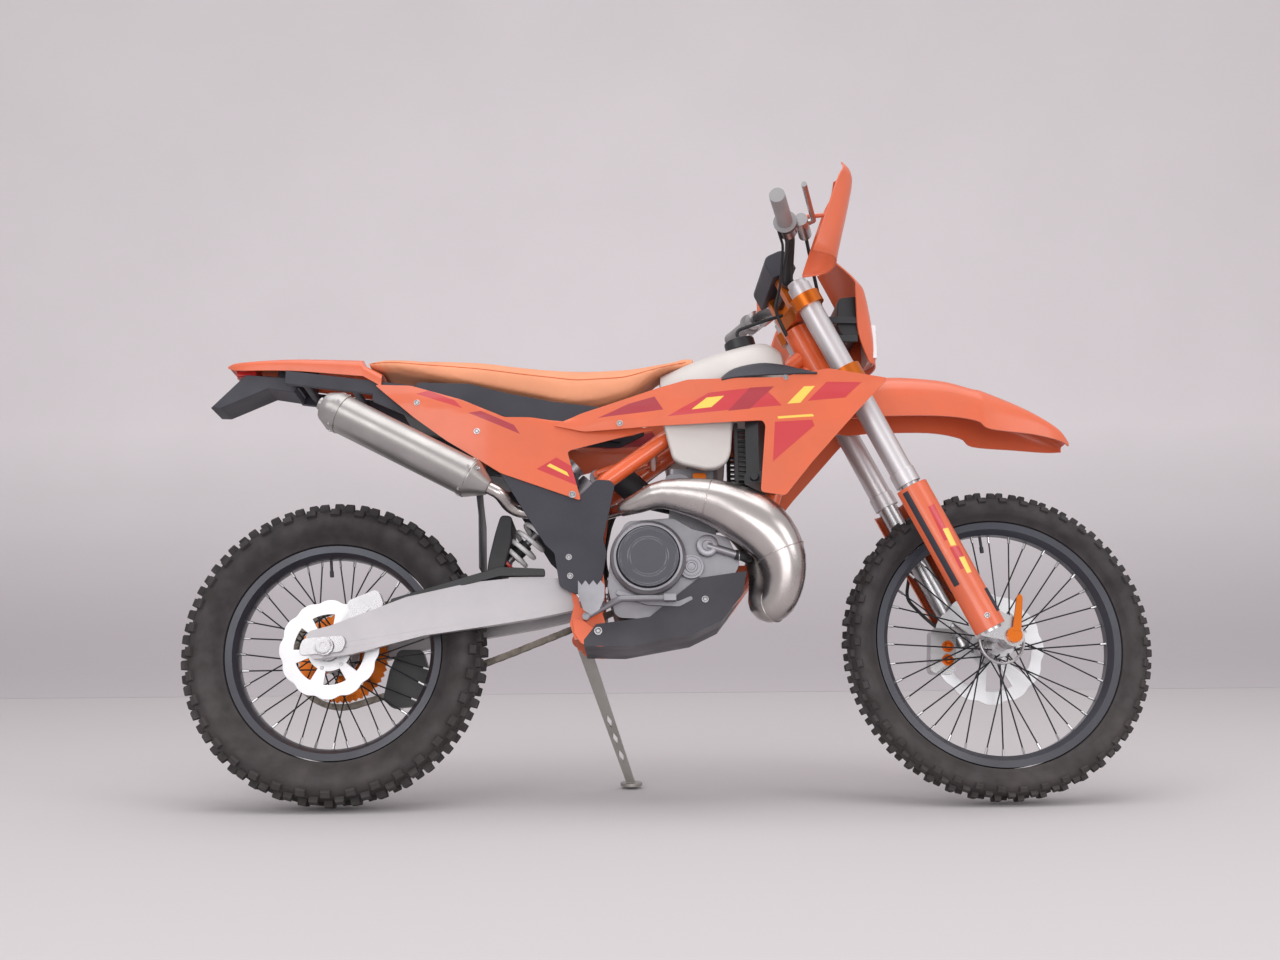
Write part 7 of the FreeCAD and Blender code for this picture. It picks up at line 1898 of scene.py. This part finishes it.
@dataclass(frozen=True)
class Disc(Dressing):
    """A wavy brake disc with windows between its arms, and its rivets.

    Args:
        body: the wheel's body.
        centre: the disc's middle.
        node: the CAD node it stands for.
        outer: crest radius.
        inner: bore radius.
        band: inner radius of the braking band.
        hub: outer radius of the middle.
        arms: arms between the middle and the band.
        waves: dents round the outer edge.
        steps: facets round the disc.
        wave: depth of the dents.
        wall: thickness.
    """

    body: Body
    centre: Point
    node: str
    outer: float
    inner: float
    band: float
    hub: float
    arms: int = 6
    waves: int = 12
    steps: int = 144
    wave: float = 5.0
    wall: float = 4.0

    ARM_SHARE = 0.36
    ARM_MIDDLE = 0.17
    RIVET_INSET = 5.0

    def fit(self, fitter: Fitter) -> None:
        """Mount the disc and its rivets."""
        radii = (self.inner, self.hub, (self.hub + self.band) / 2, self.band, self.band + 5, self.outer)
        points, faces = [], []
        for step in range(self.steps):
            angle = FULL_TURN * step / self.steps
            dent = self.wave * (0.5 - 0.5 * math.cos(self.waves * angle)) ** 2
            for level, radius in enumerate(radii):
                out = radius - dent if level == len(radii) - 1 else radius
                points.append(around(out, angle))
        rows = len(radii)
        arm_steps = self.steps // self.arms
        for step in range(self.steps):
            following = (step + 1) % self.steps
            for level in range(rows - 1):
                if 1 <= level <= 2 and step % arm_steps >= arm_steps * self.ARM_SHARE:
                    continue
                here, there = step * rows + level, following * rows + level
                faces.append((here, here + 1, there + 1, there))
        disc = Bench.shell(f"{self.node}_wave", points, faces)
        Bench.modify(disc, "SOLIDIFY", thickness=self.wall, offset=0.0)
        Bench.soften(disc, 0.5, 1, 50)
        Bench.fit(disc, Matrix.Translation(self.centre))
        fitter.mount(disc, self.body, "disc_steel", self.node)
        rivet = Bench.rod("rivet", Vector((0, 0, -self.wall)), Vector((0, 0, self.wall)), 4.2, 12)
        with Bench.editing(rivet):
            Bench.pick(rivet, lambda centre, normal: abs(normal.z) > END_FACE)
            bpy.ops.mesh.bevel(offset=1.0, segments=1)
        places = []
        for arm in range(self.arms):
            angle = FULL_TURN * (arm + self.ARM_MIDDLE) / self.arms
            places.append(toward(Vector(self.centre) + around(self.hub - self.RIVET_INSET, angle), (0, 1, 0)))
        rivets = Bench.copies(rivet, places, f"{self.node}_rivets")
        Bench.smooth(rivets)
        fitter.mount(rivets, self.body, "bright_steel")


@dataclass(frozen=True)
class Welds(Dressing):
    """Weld beads round the expansion chamber.

    Args:
        beads: centre, the chamber's direction there and its radius.
        bead: half thickness of a bead.
        steps: points round the chamber.
    """

    beads: tuple[tuple[Point, Point, float], ...] = (
        ((990, -153, 536), (-45, -2, 108), 53.2),
        ((831, -148, 654), (-158, 5, 42), 48.0),
        ((972, -126, 423), (31, -32, 9), 37.2),
        ((938, -58, 556), (49, -40, -99), 26.2),
    )
    bead: float = 1.5
    steps: int = 40

    def fit(self, fitter: Fitter) -> None:
        """Mount the beads as one piece."""
        parts = []
        for centre, way, radius in self.beads:
            place = toward(Vector(centre), Vector(way))
            turns = [FULL_TURN * step / self.steps for step in range(self.steps + 1)]
            spots = [tuple(place @ Vector((radius * math.cos(turn), radius * math.sin(turn), 0))) for turn in turns]
            parts.append(Bench.cable("bead", spots, self.bead, 6))
        piece = Bench.joined(parts, "chamber_welds")
        Bench.smooth(piece, ROUND_DEG)
        fitter.mount(piece, Body.FRAME, "chamber_nickel")


@dataclass(frozen=True)
class CanTrim(Dressing):
    """Two bands round the silencer and the rivets in them.

    Args:
        front: the silencer's front end.
        back: its back end.
        wide: half of its section's width.
        tall: half of its section's height.
        bands: near and far end of each band along the silencer.
        rise: how far they stand out.
        steps: facets round the silencer.
        rivets: rivets in each band.
    """

    front: Point = (352.0, -131.0, 690.0)
    back: Point = (-16.0, -131.0, 882.0)
    wide: float = 52.0
    tall: float = 44.0
    bands: tuple[tuple[float, float], ...] = ((46.0, 60.0), (368.0, 388.0))
    rise: float = 1.4
    steps: int = 48
    rivets: int = 10

    def spot(self, along: float, grow: float, turn: float) -> Vector:
        """A place round the can."""
        way = (Vector(self.back) - Vector(self.front)).normalized()
        across = Vector((0, 1, 0))
        up = way.cross(across).normalized()
        out = across * ((self.wide + grow) * math.cos(turn)) + up * ((self.tall + grow) * math.sin(turn))
        return Vector(self.front) + way * along + out

    def fit(self, fitter: Fitter) -> None:
        """Mount the bands and the rivets."""
        turns = [FULL_TURN * step / self.steps for step in range(self.steps)]
        bands, places = [], []
        for near, far in self.bands:
            levels = ((near, -2.0), (near + 0.6, self.rise), (far - 0.6, self.rise), (far, -2.0))
            rings = [[self.spot(along, grow, turn) for turn in turns] for along, grow in levels]
            band = Bench.drawn("band", rings)
            Bench.smooth(band, 30)
            bands.append(band)
            for index in range(self.rivets):
                turn = FULL_TURN * (index + 0.5) / self.rivets
                middle = (near + far) / 2
                spot = self.spot(middle, self.rise, turn)
                places.append(toward(spot, self.spot(middle, 20.0, turn) - spot) @ Matrix.Scale(2.6, 4))
        fitter.mount(Bench.joined(bands, "silencer_bands"), Body.FRAME, "silencer_alloy")
        rivets = Bench.copies(Fasteners.master(), places, "silencer_rivets")
        Bench.smooth(rivets)
        fitter.mount(rivets, Body.FRAME, "bright_steel")


@dataclass(frozen=True)
class TopPads(Dressing):
    """Dark textured pads that close the gap from the shrouds' top edge to the tank.

    Args:
        rows: place along the bike, outer place and height, and inner place and height of each section.
        wall: thickness.
    """

    rows: tuple[tuple[float, float, float, float, float], ...] = (
        (868, 168, 926, 122, 940), (900, 173, 930, 108, 968), (960, 180, 932, 104, 982), (1010, 182, 933, 128, 970),
        (1045, 184, 934, 154, 952), (1080, 183, 934, 172, 940),
    )
    wall: float = 4.0

    def fit(self, fitter: Fitter) -> None:
        """Mount both pads."""
        parts = []
        for side in BOTH:
            rings = []
            for x, outer, low, inner, top in self.rows:
                line = []
                for step in range(7):
                    share = step / 6
                    rise = math.sin(share * math.pi / 2)
                    line.append(Vector((x, side * (outer + (inner - outer) * share), low + (top - low) * rise)))
                rings.append(line)
            skin = Bench.drawn("pad", eased(rings, 4), closed=False)
            Bench.walled(skin, (0, 0, 1), self.wall)
            Bench.soften(skin, 1.0, 2, SHEET_DEG)
            parts.append(skin)
        fitter.mount(Bench.joined(parts, "top_pads"), Body.FRAME, "guard_plastic")


@dataclass(frozen=True)
class GuardTrim(Dressing):
    """Groove and pad on the front shells of the fork, in places along the steering axis.

    Args:
        offset: how far the fork legs are ahead of the steering axis.
        half: their distance from the bike's middle.
        radius: the shells' radius.
        rise: how far the strips stand out.
    """

    offset: float = 22.0
    half: float = 104.0
    radius: float = 39.0
    rise: float = 1.1

    SUNK = 0.4

    def strip(self, side: int, low: float, top: float, start_deg: float, end_deg: float) -> bpy.types.Object:
        """A strip that lies on the shell between two angles."""
        rings = []
        for level in (low, (low + top) / 2, top):
            line = []
            for step in range(7):
                angle = math.radians(start_deg + (end_deg - start_deg) * step / 6)
                x = self.offset + (self.radius + self.rise) * math.cos(angle)
                line.append((x, side * (self.half - (self.radius + self.rise) * math.sin(angle)), level))
            rings.append(line)
        sheet = Bench.drawn("strip", rings, closed=False)
        Bench.walled(sheet, (0, side, 0), self.rise + self.SUNK)
        Bench.soften(sheet, 0.4, 2, SHEET_DEG)
        return sheet

    def fit(self, fitter: Fitter) -> None:
        """Mount the grooves and the pads."""
        parts = []
        for side in BOTH:
            parts.append(self.strip(side, 150, 384, -142, -122))
            parts.append(self.strip(side, 62, 118, -52, -18))
        trim = Bench.joined(parts, "fork_guard_trim")
        Bench.fit(trim, head_place())
        fitter.mount(trim, Body.STEERING, "guard_plastic")


def ring_of(centre: tuple[float, float], radius: float, count: int, size: float, start: float) -> tuple[Screw, ...]:
    """Screws evenly round one of the engine's covers.

    Args:
        centre: the cover's middle.
        radius: distance of the screws from it.
        count: how many screws.
        size: half width of their heads.
        start: share of a pitch by which the ring is shifted.

    Returns:
        The screws.
    """
    turns = [FULL_TURN * (index + start) / count for index in range(count)]
    x, z = centre
    return tuple(
        Screw("engine_covers_finished", x + radius * math.cos(turn), z + radius * math.sin(turn), size=size)
        for turn in turns
    )


DETAILS: tuple[Dressing, ...] = (
    Turned("clutch_face", Body.FRAME, "gloss_cover", (702, -140.4, 531),
           ((-2, 67), (3.4, 67), (4.6, 65), (4.6, 61), (3.0, 59.5), (3.0, 45), (3.8, 44), (3.8, 40), (3.0, 39),
            (3.0, 3), (3.2, 0), (-2, 0))),
    Turned("clutch_lip", Body.FRAME, "cast_alloy", (702, -128, 531),
           ((-6, 66), (4, 66), (11.5, 70), (11.5, 75), (4, 82), (-6, 84))),
    Turned("round_cover_rings", Body.FRAME, "cast_alloy", (797, -120, 512),
           ((-4, 28), (2.5, 27), (2.5, 22), (0.8, 21), (0.8, 14), (3.4, 13), (3.4, 9), (1, 8), (1, 0), (-4, 0))),
    Turned("pump_cap", Body.FRAME, "cast_alloy", (833, -117, 559),
           ((-6, 25), (3, 24), (5.5, 19), (5.5, 12), (3.2, 11), (3.2, 0), (-6, 0))),
    Turned("ignition_face", Body.FRAME, "gloss_cover", (800, 103.6, 505),
           ((-2, 56), (2.4, 56), (3.6, 54), (3.6, 49), (2.2, 47.5), (2.2, 0), (-2, 0))),
    Turned("countershaft_nut", Body.FRAME, "bright_steel", (628, 86, 480),
           ((-2, 11), (5, 11), (7, 8), (7, 0), (-2, 0)), 6),
    Turned("rear_axle_nuts", Body.FRAME, "bright_steel", (0, 127, 342),
           ((0, 21), (3, 21), (3, 16.5), (9.5, 16.5), (9.5, 7), (6, 7), (6, 0), (0, 0)), 12, mirrored=True),
    Turned("pivot_nuts", Body.FRAME, "bright_steel", (560, 110, 458),
           ((-2, 17), (3, 17), (3, 12), (7, 12), (7, 6), (4, 6), (4, 0), (-2, 0)), 12, mirrored=True),
    Plates("axle_blocks", Body.FRAME, "bright_steel",
           (((117, 122), ((-52, 322), (38, 330), (46, 352), (40, 366), (-46, 360), (-54, 342))),), 8, BOTH),
    Plates("arm_sliders", Body.FRAME, "black_parts",
           (((80, 98), ((136, 436), (136, 449), (375, 519), (474, 514), (474, 498), (375, 498))),), 5, RIGHT, 1.5),
    Plates("flap_side", Body.FRAME, "black_rubber",
           (((-62, 62), ((372, 645), (398, 642), (397, 586), (372, 488), (340, 488), (346, 542), (360, 604))),),
           10, LEFT, 3.0),
    Turned("front_hub_rim", Body.FRONT_WHEEL, "bright_steel", (1488, -40, 351),
           ((-3, 46), (3, 46), (4.5, 49), (3, 52), (-3, 52), (-4.5, 49))),
    Plates("axle_lever", Body.STEERING, "anodised",
           (((128, 134), ((1483, 360), (1498, 436), (1506, 442), (1511, 434), (1502, 358))),), 4, RIGHT, 1.2),
    Plates("seat_side_inserts", Body.FRAME, "dark_plastic",
           (((88, 93), ((176, 926), (290, 900), (372, 868), (470, 846), (640, 842), (700, 872), (690, 905),
                        (600, 884), (500, 898), (382, 922), (300, 944), (182, 948))),), 6, BOTH),
    Plates("case_brackets", Body.FRAME, "frame_paint",
           (((109, 114), ((535, 400), (560, 396), (592, 372), (640, 352), (640, 344), (596, 338), (556, 344),
                          (540, 366))),),
           6, BOTH),
    Plates("lower_case_rib", Body.FRAME, "cast_alloy",
           (((104, 116), ((630, 452), (700, 428), (770, 424), (800, 440), (796, 448), (766, 436), (702, 440),
                          (634, 464))),),
           5),
    Plates("throttle_block", Body.FRAME, "cast_alloy",
           (((64, 100), ((742, 722), (770, 730), (796, 722), (796, 700), (770, 692), (744, 698))),
            ((70, 92), ((690, 700), (742, 714), (744, 702), (694, 688)))), 8),
    Plates("throttle_accent", Body.FRAME, "anodised",
           (((70, 104), ((804, 728), (834, 728), (834, 708), (804, 706))),), 6),
    Plates("connector_block", Body.STEERING, "black_parts",
           (((-80, 80), ((1146, 1150), (1196, 1156), (1196, 1064), (1160, 1046), (1140, 1080))),), 10, LEFT, 2.0),
    Pipes("pump_hose", Body.FRAME, "black_rubber",
          (((894, -116, 539), (908, -114, 536), (918, -106, 533), (924, -92, 533), (922, -70, 540)),), 11.0),
    Pipes("pump_clamp", Body.FRAME, "bright_steel",
          (((902, -128, 537), (902, -119, 549), (902, -107, 546), (902, -105, 533), (902, -114, 525), (902, -126, 527),
            (902, -128, 537)),), 1.6),
    Pipes("clutch_line", Body.FRAME, "black_rubber",
          (((640, 96, 505), (610, 108, 520), (600, 112, 600), (640, 100, 720), (760, 96, 800)),), 3.6),
    Pipes("plug_lead", Body.FRAME, "black_rubber",
          (((805, 0, 744), (805, 0, 772), (840, 10, 800), (880, 20, 812)),), 4.2),
    Fasteners("body_screws", Body.FRAME, "bright_steel", (
        Screw("side_panel_shells", 184, 896, BOTH), Screw("side_panel_shells", 322, 824, BOTH),
        Screw("side_panel_shells", 536, 676, BOTH, 6.5), Screw("silencer_finished", 330, 725, RIGHT, 5),
        Screw("shroud_shells", 642, 834, BOTH), Screw("shroud_shells", 1010, 925, BOTH, 5),
        Screw("frame_guards_finished", 528, 536, BOTH),
        Screw("frame_guards_finished", 531, 494, BOTH), Screw("skid_plate_finished", 592, 372, BOTH, 7),
        Screw("skid_plate_finished", 826, 440, BOTH, 6),
    )),
    Fasteners("case_screws", Body.FRAME, "bright_steel",
              ring_of((702, 531), 75, 6, 4.2, 0.25)
              + ring_of((797, 512), 24.5, 3, 3.0, 0.6)),
    Fasteners("leg_screws", Body.STEERING, "bright_steel", (
        Screw("fork_guards_finished", 1426, 392, BOTH, 5),
    )),
    Disc(Body.REAR_WHEEL, (0, -70, 342), "rear_disc", 110, 27, 78, 48),
    Disc(Body.FRONT_WHEEL, (1488, 62, 351), "front_disc", 130, 20, 100, 44),
    Plates("radiator_louvres", Body.FRAME, "black_parts",
           tuple(((112, 127), ((904, level), (952, level - 2), (952, level + 3), (904, level + 5)))
                 for level in range(708, 828, 11)), 1, BOTH, 0.5),
    Plates("radiator_rims", Body.FRAME, "black_parts",
           (((112, 130), ((950, 836), (960, 836), (950, 700), (940, 700))),
            ((112, 130), ((896, 836), (905, 836), (905, 700), (896, 700)))), 3, BOTH),
    Fasteners("caliper_caps", Body.STEERING, "anodised", (
        Screw("front_caliper_finished", 1389, 353, RIGHT, 11), Screw("front_caliper_finished", 1387, 322, RIGHT, 11))),
    Welds(),
    CanTrim(),
    TopPads(),
    GuardTrim(),
)


# ---------------------------------------------------------------- studio


@dataclass
class Studio:
    """Pale floor and backdrop, soft light, and the camera at the photograph's angle.

    Args:
        lens: focal length.
        shift_y: how far the lens is shifted up.
        camera_at: where the camera stands.
        forward: which way it looks over the floor.
        pitch_deg: how far it looks up.
        roll_deg: how far it is turned about its view.
        backdrop: the wall's colour.
        foot_colour: the wall's colour near the floor.
        ramp: the wall's profile as distances behind the bike and heights.
        wall_ends: where the wall ends to the sides.
        floor_size: the floor's size.
        floor_colour: its colour.
        foot_span: heights between which the wall's colour changes.
        sky: colour of the even light.
        sky_strength: its strength.
        softboxes: each lamp's name, place, aim, size and power.
    """

    lens: float = 38.88
    shift_y: float = 0.0466
    camera_at: Point = (-0.0836, -3.286, 0.5421)
    forward: tuple[float, float] = (0.00646, 1.0)
    pitch_deg: float = 0.89
    roll_deg: float = 0.46
    backdrop: Colour = (240, 234, 237)
    foot_colour: Colour = (190, 184, 188)
    ramp: tuple[tuple[float, float], ...] = (
        (2.4, 0.0005), (2.6, 0.012), (3.2, 0.06), (4.0, 0.16), (4.7, 0.34), (5.2, 0.62), (5.5, 1.0), (5.6, 1.6),
        (5.6, 8.0),
    )
    wall_ends: tuple[float, float] = (-12, 12)
    floor_size: tuple[float, float] = (24, 14)
    floor_colour: Colour = (196, 191, 193)
    foot_span: tuple[float, float] = (0.05, 1.4)
    sky: tuple[float, float, float, float] = (1.0, 0.985, 0.99, 1.0)
    sky_strength: float = 0.68
    softboxes: tuple[tuple[str, Point, Point, tuple[float, float], float], ...] = (
        ("top_softbox", (0.0, -0.4, 4.0), (0, 0, 0.6), (4.5, 3.0), 86.0),
        ("front_softbox", (-2.4, -3.6, 2.6), (0, 0, 0.6), (2.4, 1.8), 36.0),
        ("right_softbox", (3.2, -2.6, 2.2), (0, 0, 0.6), (1.8, 1.8), 26.0),
        ("low_softbox", (0.4, -4.4, 0.8), (0.1, 0, 0.5), (3.6, 1.3), 55.0),
    )

    def camera(self) -> None:
        """Set the camera as the photograph was taken."""
        data = bpy.data.cameras.new("camera")
        data.sensor_width = 36.0
        data.lens = self.lens
        data.shift_y = self.shift_y
        data.clip_end = 100.0
        camera = Bench.linked("camera", data)
        ahead = Vector((*self.forward, 0)).normalized()
        ahead = (ahead + Vector((0, 0, math.tan(math.radians(self.pitch_deg))))).normalized()
        turn = ahead.to_track_quat("-Z", "Y").to_matrix().to_4x4()
        roll = Matrix.Rotation(-math.radians(self.roll_deg), 4, "Z")
        camera.matrix_world = Matrix.Translation(Vector(self.camera_at)) @ turn @ roll
        bpy.context.scene.camera = camera

    def backdrop_material(self, name: str, colour: Colour, foot: Colour) -> bpy.types.Material:
        """A matt pale surface, a little cloudy, of another shade near the floor."""
        sheet = Sheet(name)
        cloud = sheet.effect(Effects.mottle(), Scale=1.5).outputs["Cloud"]
        darker = tuple(part - 3 for part in colour)
        height = sheet.add("ShaderNodeSeparateXYZ")
        sheet.join(sheet.add("ShaderNodeTexCoord").outputs["Object"], height.inputs["Vector"])
        share = sheet.add("ShaderNodeMapRange")
        sheet.join(height.outputs["Z"], share.inputs["Value"])
        share.inputs["From Min"].default_value, share.inputs["From Max"].default_value = self.foot_span
        pale = sheet.blend(cloud, colour, darker)
        sheet.join(sheet.blend(share.outputs["Result"], foot, pale), sheet.shader.inputs["Base Color"])
        sheet.shader.inputs["Roughness"].default_value = 0.85
        sheet.shader.inputs["Specular IOR Level"].default_value = 0.2
        return sheet.material

    def stage(self) -> None:
        """A floor that curves up into a wall, with soft shadows only."""
        Bench.free()
        bpy.ops.mesh.primitive_plane_add(size=1, location=(0, 0, 0), scale=(1, 1, 1))
        floor = Bench.active("studio_floor")
        floor.data.transform(Matrix.Diagonal((*self.floor_size, 1, 1)) @ Matrix.Translation((0, -0.1, 0)))
        floor.data.materials.append(self.backdrop_material("studio_floor", self.floor_colour, self.floor_colour))
        points = [(x, y, z) for x in self.wall_ends for y, z in self.ramp]
        count = len(self.ramp)
        faces = [(row, row + count, row + count + 1, row + 1) for row in range(count - 1)]
        wall = Bench.shell("studio_wall", points, faces)
        Bench.smooth(wall, ROUND_DEG)
        wall.data.materials.append(self.backdrop_material("studio_wall", self.backdrop, self.foot_colour))

    def lamps(self) -> None:
        """Large soft lamps above and at the camera's side, and an even world."""
        world = bpy.data.worlds.new("studio")
        bpy.context.scene.world = world
        world.use_nodes = True
        shade = world.node_tree.nodes["Background"]
        shade.inputs["Color"].default_value = self.sky
        shade.inputs["Strength"].default_value = self.sky_strength
        for name, spot, aim, size, power in self.softboxes:
            data = bpy.data.lights.new(name, "AREA")
            data.shape = "RECTANGLE"
            data.size, data.size_y = size
            data.energy = power
            lamp = Bench.linked(name, data)
            way = Vector(aim) - Vector(spot)
            lamp.matrix_world = Matrix.Translation(spot) @ way.to_track_quat("-Z", "Y").to_matrix().to_4x4()

    def build(self) -> None:
        """Set up the whole studio."""
        bpy.context.scene.view_settings.view_transform = "Standard"
        self.camera()
        self.stage()
        self.lamps()


def main() -> None:
    """Build the studio and every dressed piece, in order."""
    logging.basicConfig(level=logging.INFO, format="%(message)s")
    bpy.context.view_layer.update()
    stance = Stance.from_joints(frame["joints"])
    Studio().build()
    paint = Paintshop(stance)
    paint.dress_nodes(frame["nodes"])
    bodies = frame["record"]["behaviour"]["bodies"]
    carriers = {node: Body(name) for name, carried in bodies.items() for node in carried}
    fitter = Fitter(stance, paint, carriers)
    dressings = [REAR_WHEEL, FRONT_WHEEL, Chain(), Spring(), Seat(), FRONT_FENDER, REAR_FENDER, SHROUD, SIDE_PANEL]
    dressings += [Mask(), HandGuards(), Tank(), *SOFTENED, *DETAILS]
    for dressing in dressings:
        dressing.fit(fitter)


if __name__ == "__main__":
    main()
